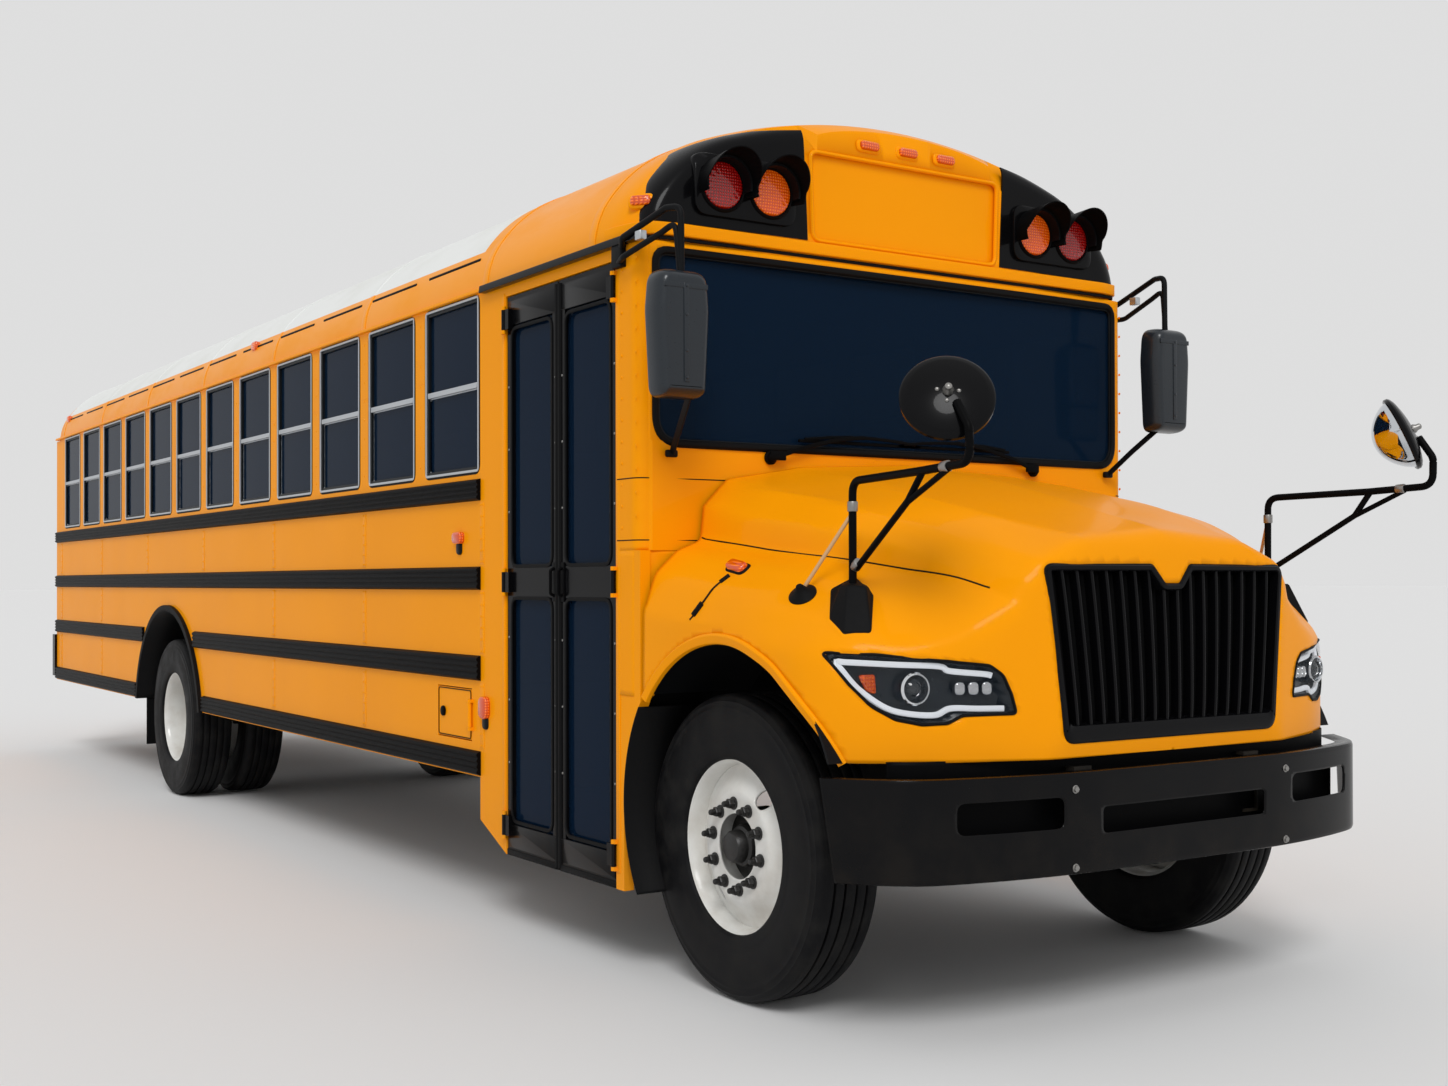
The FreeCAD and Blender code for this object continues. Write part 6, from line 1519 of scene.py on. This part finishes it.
LEAF_OUT = 1.195
LEAVES = {"front": (0.540, 0.984), "rear": (0.996, 1.440)}
PANES_Z = ((0.435, 1.330), (1.450, 2.405))
for word, leaf in LEAVES.items():
    body = "entry_leaf_" + word
    rings = [frame_ring(grown(leaf, -0.048), grown(z, -0.003), 0.045, 0.014, 0.004, LEAF_OUT)
             for z in PANES_Z]
    covers = [strip(grown(leaf, -0.020), z, 0.003, 0.012, x=LEAF_OUT)
              for z in ((0.332, 0.425), (2.415, 2.515))]
    piece(f"leaf_{word}_plates", kerb(join(covers)), GLOSS_BLACK, body)
    meeting, inwards = (leaf[1], -1) if word == "front" else (leaf[0], 1)
    seal = tube(points_at(LEAF_OUT - 0.004, meeting + inwards * 0.006, [0.31, 1.4, 2.52]), 0.013,
                10, up=OUTWARD)
    brush = strip(grown(leaf, -0.01), (0.300, 0.325), 0.004, 0.01, x=LEAF_OUT)
    piece(f"leaf_{word}_seals", kerb(join(rings + [seal, brush])), RUBBER, body)
    hold = meeting + inwards * 0.026
    bar = bent(points_at(LEAF_OUT + np.array([-0.003, 0.020, 0.020, -0.003]), hold,
                         [1.335, 1.345, 1.435, 1.445]), 0.01, 5)
    plate = strip(grown((hold, hold), 0.017), (1.315, 1.465), 0.005, 0.002, x=LEAF_OUT)
    piece(f"leaf_{word}_handle", kerb(join([tube(bar, 0.006, 10, up=REARWARD), plate])),
          SATIN_BLACK, body)
    heads = [(LEAF_OUT, y, z) for y in grown(leaf, -0.022)
             for z in np.linspace(0.42, 2.42, 9) if abs(z - 1.39) > 0.12]
    piece(f"leaf_{word}_screws", kerb(rivets(heads, OUTWARD, 0.8)), STEEL, body)
edge = strip((0.9865, 0.9935), (0.33, 2.52), 0.0, 0.004, x=LEAF_OUT - 0.02, edge=0.001)
piece("entry_middle_strip", kerb(edge), YELLOW_PAINT, "entry_leaf_front")
header = rounded([(-0.030, -0.017), (-0.026, 0.012), (0.004, 0.018), (0.004, -0.017)], 0.004, 3)
piece("entry_header", kerb(swept(points_at(HALF, np.linspace(1.63, 0.36, 6), 2.594), header)),
      GLOSS_BLACK)
jambs = [strip(grown((y, y), 0.012), (0.36, 2.55), 0.003, 0.004, edge=0.001)
         for y in (0.526, 1.454)]
piece("entry_jamb_trims", kerb(join(jambs)), YELLOW_PAINT)


def arch_lining(centre, radius, x, turns):
    """Black inner rim of a wheel arch, a thin strip across the wall's thickness."""
    flat = on_circle(centre, radius, np.radians(np.linspace(*turns, 60))).T
    return grid(np.stack([points_at(edge, *flat) for edge in x]))


rims = join([both(arch_lining((ARCH_MIDDLE, 0.437), 0.7725, (0.95, 1.2235), (11, 169))),
             both(arch_lining(ARCH[:2], 0.597, (0.90, 1.2012), (-32, 34)))])
piece("arch_linings", rims, RUBBER, wall=0.004)
battery = frame_ring((1.772, 2.102), (0.736, 0.936), 0.012, 0.004, 0.0015, HALF + 0.001)
knob = lathe([(0, 0.022), (0.006, 0.022), (0.009, 0.018), (0.010, 0.004)],
             (-HALF - 0.001, 2.05, 0.836), (-1, 0, 0), 24)
piece("battery_door_latch", join([kerb(battery), knob]), SATIN_BLACK, "battery_door")

# ---- windshield surround, mirrors and wipers --------------------------------------------

COWL_PLAN = spaced(rounded([(HALF + 0.0025, 0.530), (HALF + 0.0025, 0.392), (1.12, 0.3785),
                            (0.6, 0.3685), (0, 0.366)], [0, 0.085, 0.3, 1, 0], 10, False), 110)
COWL_FACE_Y = 0.40              # the cowl's bowed face lies before this
WINDSHIELD = rectangle((-1.135, 1.135), (1.875, 2.556), [0.10, 0.10, 0.05, 0.05], 8)


def on_cowl(x, z, into=0.0):
    """Points on the gently bowed front of the body at (x, z), `into` metres behind it."""
    plan = COWL_PLAN[COWL_PLAN[:, 1] < COWL_FACE_Y][::-1]
    return points_at(x, np.interp(np.abs(x), *plan.T) + into, z)


def cowl_skin():
    """Front of the body from the hood to the roof cap: its plan drawn straight upwards,
    with the windshield's opening."""
    plan = np.vstack([COWL_PLAN, COWL_PLAN[-2::-1] * [-1, 1]])
    sheet = grid(points_at(*plan.T, np.linspace(1.50, 2.586, 72)[:, None]))
    return cut_out(sheet, WINDSHIELD, [0, 2], lambda flat: on_cowl(*flat.T),
                   lambda p: p[:, 1] < COWL_FACE_Y)


def cowl_corner():
    """The body's front corner behind the fender, in line with the sheet above it.

    Its foot is at 1.22 m where the fender hides it and at 0.99 m outside of that."""
    plan = COWL_PLAN[COWL_PLAN[:, 0] > 1.03]
    foot = np.where(plan[:, 0] > 1.15, 0.99, 1.22)
    return grid(points_at(*plan.T, foot + (1.50 - foot) * np.linspace(0, 1, 24)[:, None]))


piece("cowl_skin", cowl_skin(), YELLOW_PAINT, wall=0.008)
piece("cowl_corners", both(cowl_corner()), YELLOW_PAINT, wall=0.006)
piece("firewall_pad", block((-1.146, 1.146), (0.428, 0.4385), (0.930, 1.49), 0.003), RUBBER)
opening = spaced(np.vstack([WINDSHIELD, WINDSHIELD[:1]]), 320, closed=True)
SEAL = rounded([(-0.013, -0.016), (0.013, -0.016), (0.013, 0.006), (0.004, 0.012), (-0.008, 0.012),
                (-0.013, 0.006)], 0.003, 2)
piece("windshield_seal", swept(on_cowl(*opening.T), SEAL, closed=True, up=FORWARD), RUBBER)
piece("windshield_lip", swept(on_cowl(*inset(anticlockwise(opening), 0.015).T, 0.002),
                              circle(0.004, 8), closed=True, up=FORWARD), DARK_FRAME)
corner_plan = COWL_PLAN[COWL_PLAN[:, 0] > 0.7]
cowl_lines = [tube(points_at(*(corner_plan * [side, 1]).T, z), 0.0022, 6)
              for z in (1.536, 1.753) for side in SIDES]
piece("cowl_seams", join(cowl_lines), RUBBER)
studs = points_at(HALF + 0.0025, 0.497, np.arange(1.58, 2.57, 0.076))
piece("cowl_rivets", both(rivets(studs, OUTWARD)), YELLOW_PAINT)

MIRROR_SLATE = plain("mirror_housing_slate", paint(26, 33, 40), 0.3, size=0.01, relief=0.0002,
                     Specular_IOR_Level=0.35, Coat_Weight=0.2)
MIRROR_AT = np.array([1.19, 0.13, 2.22])


def mirror_housing():
    """Barrel-shaped shell facing -y: rings of one outline that draw in towards the front.

    At depth t, 0 at the rim and 1 at the front, the inset is 0.036 (1 - sqrt(1 - t^3))."""
    outline = spaced(rounded([(-0.094, -0.215), (0.094, -0.215), (0.110, 0.08), (0.098, 0.215),
                              (-0.098, 0.215), (-0.110, 0.08)],
                             [0.040, 0.040, 0.3, 0.060, 0.060, 0.3], 8), 120)
    t = 1 - np.linspace(1, 0, 14) ** 2
    levels = [(0.045, 0.006), (0.043, 0.001)]
    levels += [(0.038 - 0.083 * s, 0.036 * (1 - math.sqrt(max(1 - s ** 3, 0)))) for s in t]
    return slab(outline, "y", levels)


def pane(z0, z1, width):
    """Flat mirror glass that looks rearwards."""
    return bevelled(rectangle((-width, width), (z0, z1), 0.02, 6), "y", 0.040, 0.0485, 0.0015)


mirror_rib = [block((-0.010, 0.010), (-0.0485, -0.043), (-0.165, 0.165), 0.0015),
              block((-0.085, 0.085), (-0.0470, -0.041), (0.148, 0.166), 0.0015)]
heads = points_at(0, -0.0485, [-0.15, -0.06, 0.06, 0.156])
clamp = block((-0.014, 0.014), (-0.019, 0.019), (-0.016, 0.016), 0.003)
panes = [pane(-0.055, 0.195, 0.088), pane(-0.200, -0.070, 0.084)]
upper = bent([(1.208, 0.485, 2.560), (1.238, 0.43, 2.590), (1.20, 0.20, 2.655),
              (1.182, 0.132, 2.650), (1.182, 0.13, 2.42)], 0.035)
lower = bent([(1.208, 0.515, 2.515), (1.246, 0.41, 2.520), (1.205, 0.22, 2.575),
              (1.192, 0.15, 2.600), (1.186, 0.13, 2.42)], 0.05)
arms = [tube(upper, 0.0115, 14), tube(lower, 0.0105, 14),
        swept(spaced([(1.150, 0.125, 2.03), (1.112, 0.25, 1.93), (1.083, 0.352, 1.842)], 12),
              rectangle((-0.013, 0.013), (-0.0035, 0.0035), 0.0025, 3), up=(-1, 0, 0.3)),
        block((1.060, 1.106), (0.346, 0.368), (1.826, 1.852), 0.006),
        block((1.201, 1.226), (0.462, 0.534), (2.498, 2.578), 0.005)]
piece("side_mirror_housings", both(moved(mirror_housing(), MIRROR_AT)), MIRROR_SLATE,
      replaces="side_mirrors")
piece("side_mirror_ribs", both(moved(join(mirror_rib + [rivets(heads, FORWARD)]), MIRROR_AT)),
      MIRROR_SLATE)
piece("side_mirror_panes", both(moved(join(panes), MIRROR_AT)), MIRROR_FACE)
piece("side_mirror_arms", both(join(arms)), BLACK_PLASTIC)
piece("side_mirror_clamps", both(moved(clamp, (1.222, 0.33, 2.583))), ALUMINIUM)


def skin_normal(point):
    """Outward direction of the hood's skin at a point, from central differences."""
    shifts = np.eye(3) * 1e-3
    return unit(hood_outside(point + shifts) - hood_outside(point - shifts))


# Positions of the driver's side; the kerb side mirrors them.
POST = np.array([0.980, -0.540, 1.375])
BOWL = np.array([1.050, -1.060, 1.903])
BOWL_WAY = unit(np.array([0.55, -0.72, 0.42]))       # out of the back of the round mirror
arm = bent([POST - [0, 0, 0.04], (0.981, -0.541, 1.698), (1.036, -0.93, 1.705), (1.061, -1.165, 1.715),
            (1.064, -1.165, 1.812), (1.062, -1.112, 1.885)], 0.045, 8)
brace = bent([(0.976, -0.556, 1.430), (1.037, -0.873, 1.622), (1.036, -0.935, 1.700)], 0.02, 4)
strut = [(1.036, -0.868, 1.618), (1.050, -1.065, 1.704)]
prop = [(0.980, -0.536, 1.598), (1.072, -0.405, 1.365)]
bars = [tube(arm, 0.0125, 14), tube(brace, 0.0105, 12), tube(spaced(strut, 6), 0.009, 12)]
collars = [lathe(disc_profile(-0.016, 0.016, 0.0165, 0.003), place, way, 24)
           for place, way in ((POST + [0.001, -0.001, 0.245], (0, 0, 1)),
                              ((1.0485, -1.050, 1.710), (0.1, -1, 0.05)),
                              ((0.977, -0.556, 1.440), (0.1, -1, 0.65)))]


def boot():
    """Rubber foot of a mirror post: a wall of 18 mm on the fender, then straight walls
    from that ring to the smaller one round the post."""
    low = rounded([(0.945, -0.505), (1.020, -0.480), (1.085, -0.560), (1.087, -0.632),
                   (1.022, -0.684), (0.955, -0.610)], 0.012, 4)
    high = rounded([(0.955, -0.515), (0.995, -0.495), (1.035, -0.545), (1.037, -0.582),
                    (0.995, -0.627), (0.958, -0.590)], 0.012, 4)
    foot = skin_top(low)
    top = points_at(*high.T, np.maximum(skin_top(high)[:, 2] + 0.006, 1.372))
    rows = [foot + [0, 0, rise] for rise in (-0.012, 0.003, 0.006)]
    rows += [rows[2] * (1 - s) + top * s for s in (0.03, 0.35, 0.7, 0.97, 1.0)]
    rows.append(top + (top.mean(0) - top) * 0.12 + [0, 0, 0.005])
    return loft(rows)


def skin_top(flat):
    """Points of the hood's upper face over the given (x, y)."""
    return reach_out(points_at(*flat.T, 0.9), (0, 0, 1), 1.2)


def bowl():
    """Back shell of the round mirror, facing -y: shallow dome, rolled rim, flat rear."""
    r = np.linspace(0.004, 0.118, 18)
    dome = [(0.034 - 0.020 * (q / 0.118) ** 2, q) for q in r]
    rim = [(0.010, 0.1235), (0.008, 0.129), (0.001, 0.1345), (-0.010, 0.1345), (-0.013, 0.131),
           (-0.013, 0.124), (-0.006, 0.1225)]
    return lathe((dome + rim)[::-1], sides=96)


def egg():
    """Convex mirror that bulges rearwards from the rim by 0.092 (1 - r^2)^0.75."""
    bulge = [(-0.012 - 0.092 * (1 - q * q) ** 0.75, 0.1235 * q) for q in np.linspace(1, 0.03, 22)]
    return lathe([(0.008, 0.1)] + bulge, sides=96)


foot_at = skin_top(np.array([(1.072, -0.405)]))[0]
prop_foot = lathe([(-0.010, 0.046), (0.003, 0.046), (0.008, 0.040), (0.020, 0.020),
                   (0.034, 0.012), (0.038, 0.010)], sides=32)
prop_foot = placed(prop_foot, foot_at, skin_normal(foot_at), up=(0, 1, 0.3))
screws = join([lathe([(0, 0.007), (0.005, 0.006), (0.008, 0.002)], (x, -0.030, z), sides=12)
               for x, z in ((-0.030, 0.0), (0.030, 0.006), (0.004, -0.030))])
stud = lathe([(0, 0.016), (0.010, 0.016), (0.018, 0.011), (0.030, 0.010), (0.034, 0.004)],
             (0, -0.030, 0), sides=24)
piece("cross_mirror_shells", both(placed(bowl(), BOWL, BOWL_WAY)), GLOSS_BLACK, "hood",
      "cross_mirrors")
piece("cross_mirror_faces", both(placed(egg(), BOWL, BOWL_WAY)), MIRROR_FACE, "hood")
piece("cross_mirror_arms", both(join(bars)), SATIN_BLACK, "hood")
piece("cross_mirror_collars", both(join(collars + [placed(join([screws, stud]), BOWL, BOWL_WAY)])),
      STEEL, "hood")
piece("cross_mirror_props", both(tube(spaced(prop, 8), 0.0065, 12)),
      plain("clear_plastic_rod", paint(214, 170, 120), 0.2), "hood")
piece("cross_mirror_boots", both(join([boot(), prop_foot])), RUBBER, "hood")

TURN_LAMP = skin_top(np.array([(1.065, -0.033)]))[0]
LATCH = np.array([(1.190, 0.060, 1.262), (1.150, 0.006, 1.345), (1.100, -0.028, 1.412)])
strap = skin_line(LATCH, 40)
clips = [tube(strap, 0.0042, 10), tube(strap[4:15], 0.011, 14), tube(strap[32:], 0.009, 14)]
for name, shape, finish in (("fender_turn_lamps", capsule(0.095, 0.042, 0.022), AMBER_LENS),
                            ("fender_lamp_bases", capsule(0.112, 0.056, 0.007), RUBBER)):
    turn_lamp = placed(shape, TURN_LAMP, skin_normal(TURN_LAMP), up=OUTWARD)
    piece(name, both(turn_lamp), finish, "hood")
piece("hood_latches", both(join(clips)), RUBBER, "hood")


def wiper():
    """Parked wiper of the driver's side: pivot, arm, bow and blade."""
    boss = lathe([(-0.004, 0.026), (0.004, 0.026), (0.007, 0.020), (0.016, 0.018), (0.020, 0.014),
                  (0.021, 0.004)], (0.655, 0.362, 1.842), sides=32)
    head = block((0.600, 0.668), (0.338, 0.350), (1.832, 1.866), 0.004)
    rod = swept(eased([(0.615, 0.343, 1.852), (0.52, 0.340, 1.882), (0.36, 0.345, 1.918),
                       (0.235, 0.350, 1.933)], 24),
                rectangle((-0.004, 0.004), (-0.008, 0.008), 0.003, 3))
    bow = swept(eased([(0.50, 0.364, 1.917), (0.37, 0.356, 1.928), (0.235, 0.351, 1.932),
                       (0.10, 0.356, 1.928), (-0.03, 0.362, 1.917)], 32),
                rectangle((-0.004, 0.004), (-0.006, 0.006), 0.002, 3))
    blade = block((-0.055, 0.525), (0.362, 0.375), (1.905, 1.917), 0.002)
    return join([boss, head, rod, bow, blade])


piece("wiper_sets", both(wiper()), SATIN_BLACK, replaces="wipers")

# ---- seats, rear end, hatches and stop arm -----------------------------------------------


def cushion(width, depth, thick, crown):
    """Stuffed pad about the origin, lying flat on z = 0, with (points, faces).

    Its outline is a rectangle whose sides are drawn in between the corners by
    0.012 (1 - t^2), t running from -1 to 1 along a side. Its wall bulges by the insets
    listed for each share of its height and dips at the seam. The top is a crown of
    crown * (1 - r^2.4) * (1 + 0.12 cos(3 pi x / width)) over the share r of the way out."""
    t = np.linspace(-0.93, 1, 11, endpoint=False)
    w, d = width / 2, depth / 2
    pull = 0.012 * (1 - t * t)
    outline = np.concatenate([points_at(t * w, -d + pull), points_at(w - pull, t * d),
                              points_at(-t * w, d - pull), points_at(-w + pull, -t * d)])
    rows = []
    for s, by in ((0, 0.022), (0.04, 0.0088), (0.14, 0), (0.35, -0.006), (0.6, -0.007),
                  (0.84, -0.003), (0.92, 0.002), (0.945, 0.006), (0.965, 0.002), (0.99, 0.0077)):
        rows.append(points_at(*inset(outline, by).T, s * thick))
    for r in (0.93, 0.86, 0.74, 0.6, 0.45, 0.3, 0.15, 0.03):
        x, y = (outline * r).T
        rise = crown * (1 - r ** 2.4) * (1 + 0.12 * np.cos(3 * math.pi * x / width))
        rows.append(points_at(x, y, thick + rise))
    return loft(rows)


def leant(part, degrees):
    """The part turned about the x axis: z tips towards +y."""
    a = math.radians(degrees)
    turn = np.array([[1, 0, 0], [0, math.cos(a), -math.sin(a)], [0, math.sin(a), math.cos(a)]])
    return part[0] @ turn, part[1]


SEAT_X = (0.180, 1.145)
SEAT_ROWS, FIRST_ROW_Y = 11, 1.800
SEAT_BASE_Z, BACK_MIDDLE_Z = 1.300, 1.690
wide, mid_x = SEAT_X[1] - SEAT_X[0], sum(SEAT_X) / 2
seat_pad = cushion(wide, 0.425, 0.092, 0.026)
back_pad = leant(cushion(wide, 0.640, 0.066, 0.018), -95.5)
bench = join([moved(seat_pad, (mid_x, 0.215, SEAT_BASE_Z)),
              moved(back_pad, (mid_x, 0.560, BACK_MIDDLE_Z))])
pads = [moved(bench, (0, FIRST_ROW_Y + BAY * i, 0)) for i in range(SEAT_ROWS)]
benches = piece("bench_pads", both(join(pads)), VINYL, replaces="seats", smooth=60)
driver = [moved(cushion(0.49, 0.47, 0.085, 0.024), (0.55, 1.355, 1.392)),
          moved(leant(cushion(0.47, 0.62, 0.075, 0.024), -98), (0.55, 1.630, 1.800))]
piece("driver_pads", join(driver), VINYL, smooth=60)

REAR_GLASS_Z = (1.850, 2.420)
rear_gasket = frame_ring((0.560, 1.060), REAR_GLASS_Z, 0.05, 0.026, 0.009, REAR_FACE_Y, REARWARD)
piece("rear_pane_gaskets", both(rear_gasket), RUBBER)
door_gaskets = [frame_ring((-0.375, 0.375), z, 0.05, 0.024, 0.008, REAR_FACE_Y - 0.002, REARWARD)
                for z in ((1.150, 1.620), REAR_GLASS_Z)]
handle = [lathe([(0, 0.030), (0.010, 0.030), (0.014, 0.024), (0.030, 0.012), (0.034, 0.012)],
                (0.410, REAR_FACE_Y - 0.002, 1.745), REARWARD, 32),
          swept(eased([(0.412, REAR_FACE_Y + 0.030, 1.750), (0.36, REAR_FACE_Y + 0.033, 1.742),
                       (0.28, REAR_FACE_Y + 0.030, 1.738)], 16),
                rectangle((-0.007, 0.007), (-0.011, 0.011), 0.005, 3))]
piece("rear_door_gaskets", join(door_gaskets), RUBBER, "rear_door")
piece("rear_door_handle", join(handle), STEEL, "rear_door")
lamp_ring = lathe([(-0.004, 1.16), (0.008, 1.14), (0.012, 1.06), (0.010, 0.99), (-0.004, 0.99)],
                  axis=REARWARD, sides=64, closed=True)
tail_rims = [moved(lamp_ring, (TAIL_X, REAR_FACE_Y, z), (r, 1, r))
             for z, r in TAIL_LAMPS.values()]
piece("tail_lamp_rims", both(join(tail_rims)), SATIN_BLACK)
reversing = moved(turned(capsule(0.10, 0.052, 0.020)), (0.78, REAR_FACE_Y, 1.33))
piece("reversing_lamps", both(reversing),
      plain("milky_lamp_lens", paint(206, 208, 206), 0.25, size=0.006, relief=0.0004))
plate = bevelled(rectangle((-0.155, 0.155), (-0.078, 0.078), 0.015, 5), "y", 0.006, 0.0085, 0.0008)
bracket = bevelled(rectangle((-0.165, 0.165), (-0.088, 0.088), 0.012, 4), "y", -0.001, 0.006,
                   0.0015)
PLATE_AT = (-0.74, REAR_FACE_Y, 1.13)
piece("blank_plate", moved(plate, PLATE_AT),
      plain("blank_plate_white", paint(222, 222, 214), 0.4, size=0.05, relief=0.0001))
plate_bolts = moved(rivets([(-0.09, 0.0085, 0.062), (0.09, 0.0085, 0.062)], REARWARD), PLATE_AT)
piece("plate_bracket", join([moved(bracket, PLATE_AT), plate_bolts]), SATIN_BLACK)
rear_rivets = [(s * x, REAR_FACE_Y, z) for s in SIDES for x in (0.487, 1.135)
               for z in np.arange(1.02, 2.56, 0.095)]
rear_rivets += [(x, REAR_FACE_Y, 2.548) for x in np.arange(-1.06, 1.07, 0.106)]
piece("rear_wall_rivets", rivets(rear_rivets, REARWARD), YELLOW_PAINT)
beads = [block((-1.10, 1.10), (REAR_FACE_Y + 0.069, REAR_FACE_Y + 0.0735), (z, z + 0.02), 0.0015)
         for z in (0.66, 0.90)]
beads.append(rivets(points_at([-0.9, -0.45, 0.45, 0.9], REAR_FACE_Y + 0.0700, 0.79), REARWARD, 2.2))
piece("rear_bumper_beads", join(beads), SATIN_BLACK)


def hatch_panel():
    """Raised flat panel of a hatch lid with two pressed beads along it."""
    lid = slab(rectangle((-0.285, 0.285), (-0.285, 0.285), 0.05, 6), "z",
               [(-0.010, 0), (0.002, 0.002), (0.005, 0.010), (0.006, 0.030)])
    bead = swept(spaced([(-0.21, 0, 0.006), (0.21, 0, 0.006)], 12), circle(0.010, 10) * [1, 0.6])
    return join([lid, moved(bead, (0, -0.12, 0)), moved(bead, (0, 0.12, 0))])


HATCHES = (("roof_hatch_front", 3.350), ("roof_hatch_rear", 8.450))      # lid and its y
HATCH_TOP_Z = 3.225
for name, y in HATCHES:
    piece(name + "_panel", moved(hatch_panel(), (0, y, HATCH_TOP_Z)), WHITE_ROOF, name)

STOP_AT = np.array([1.23, 1.065, 1.5])      # middle of the stop arm's octagon
octagon = on_circle((0, 0), 0.225 * 0.945 / math.cos(math.pi / 8),
                    np.radians(22.5 + 45 * np.arange(8)))
border_path = rounded(points_at(0, *octagon.T), 0.004, 2) + STOP_AT
BORDER = [(-0.0075, -0.001), (0.0075, -0.001), (0.0075, 0.0006), (-0.0075, 0.0006)]
borders = [swept(border_path + [side * 0.0055, 0, 0], BORDER, closed=True, up=(side, 0, 0))
           for side in SIDES]
piece("stop_arm_border", join(borders), plain("white_reflective_sheet", paint(224, 224, 222), 0.4,
                                              size=0.004, relief=0.0002), "stop_arm")
ARM_LAMP_Z = (-0.145, 0.145)
arm_lamps = [placed(lamp_lens(0.045, 0.014), STOP_AT + [0.009, 0, z], OUTWARD)
             for z in ARM_LAMP_Z]
arm_rims = [lathe([(0.004, 0.052), (0.010, 0.051), (0.013, 0.047), (0.009, 0.044), (0.004, 0.044)],
                  STOP_AT + [0, 0, z], OUTWARD, 48, closed=True) for z in ARM_LAMP_Z]
piece("stop_arm_lamps", join(arm_lamps), RED_LENS, "stop_arm")
piece("stop_arm_lamp_rims", join(arm_rims), SATIN_BLACK, "stop_arm")

# ---- floor, light and camera -----------------------------------------------------------

FLOOR_SHADE = 0.80
SKY_LIGHT = 0.62
SUN_LIGHT = 1.35
SUN_WAY = (-0.42, -0.62, 0.72)      # from the bus towards the key light


def floor_and_light():
    """A pale floor without end, an even sky and one soft key light from the front kerb side."""
    reach = 400
    points = np.array([(-reach, -reach, 0), (reach, -reach, 0), (reach, reach, 0),
                       (-reach, reach, 0)], float)
    mesh = bpy.data.meshes.new("studio_floor")
    mesh.from_pydata(points.tolist(), [], [[0, 1, 2, 3]])
    ground = bpy.data.objects.new("studio_floor", mesh)
    bpy.context.collection.objects.link(ground)
    made = Finish("studio_floor", (FLOOR_SHADE,) * 3 + (1,), 0.9)
    mesh.materials.append(made.material)

    world = bpy.data.worlds.new("studio_sky")
    bpy.context.scene.world = world
    world.use_nodes = True
    sky = Nodes(world.node_tree)
    background = sky.tree.nodes["Background"].inputs
    slant = SUN_WAY[2] / np.linalg.norm(SUN_WAY)
    floor_light = FLOOR_SHADE * (SKY_LIGHT + SUN_LIGHT * slant / math.pi)
    rays = sky.add("ShaderNodeLightPath", {}, {}).socket.node.outputs
    seen = Value(sky, rays["Is Camera Ray"])
    for ray in ("Is Glossy Ray", "Is Transmission Ray"):
        seen = seen.math("MAXIMUM", seen, Value(sky, rays[ray]))
    sky.plug(background["Color"], (1, 1, 1, 1))
    sky.plug(background["Strength"],
             sky.add("ShaderNodeMix", {}, {0: seen, 2: SKY_LIGHT, 3: floor_light}))

    lamp = bpy.data.lights.new("key_light", "SUN")
    lamp.energy = SUN_LIGHT
    lamp.angle = math.radians(22)
    key = bpy.data.objects.new("key_light", lamp)
    key.rotation_euler = Vector(SUN_WAY).to_track_quat("Z", "Y").to_euler()
    bpy.context.collection.objects.link(key)


def camera():
    """Stands low ahead of the kerb-side front corner."""
    place = Vector((-4.069, AXLE_Y - 4.511, 1.389))
    right = Vector((0.83403, -0.55171, -0.00216))
    up = Vector((-0.00217, -0.00721, 0.99997))
    back = right.cross(up)
    lens = bpy.data.cameras.new("camera")
    lens.sensor_width = 36
    lens.lens = 40.55
    lens.shift_x = -0.0024
    lens.shift_y = 0.01875
    lens.clip_end = 1000
    made = bpy.data.objects.new("camera", lens)
    made.matrix_world = Matrix((
        (right.x, up.x, back.x, place.x), (right.y, up.y, back.y, place.y),
        (right.z, up.z, back.z, place.z), (0, 0, 0, 1)))
    bpy.context.collection.objects.link(made)
    bpy.context.scene.camera = made
    bpy.context.scene.view_settings.view_transform = "Standard"


floor_and_light()
camera()
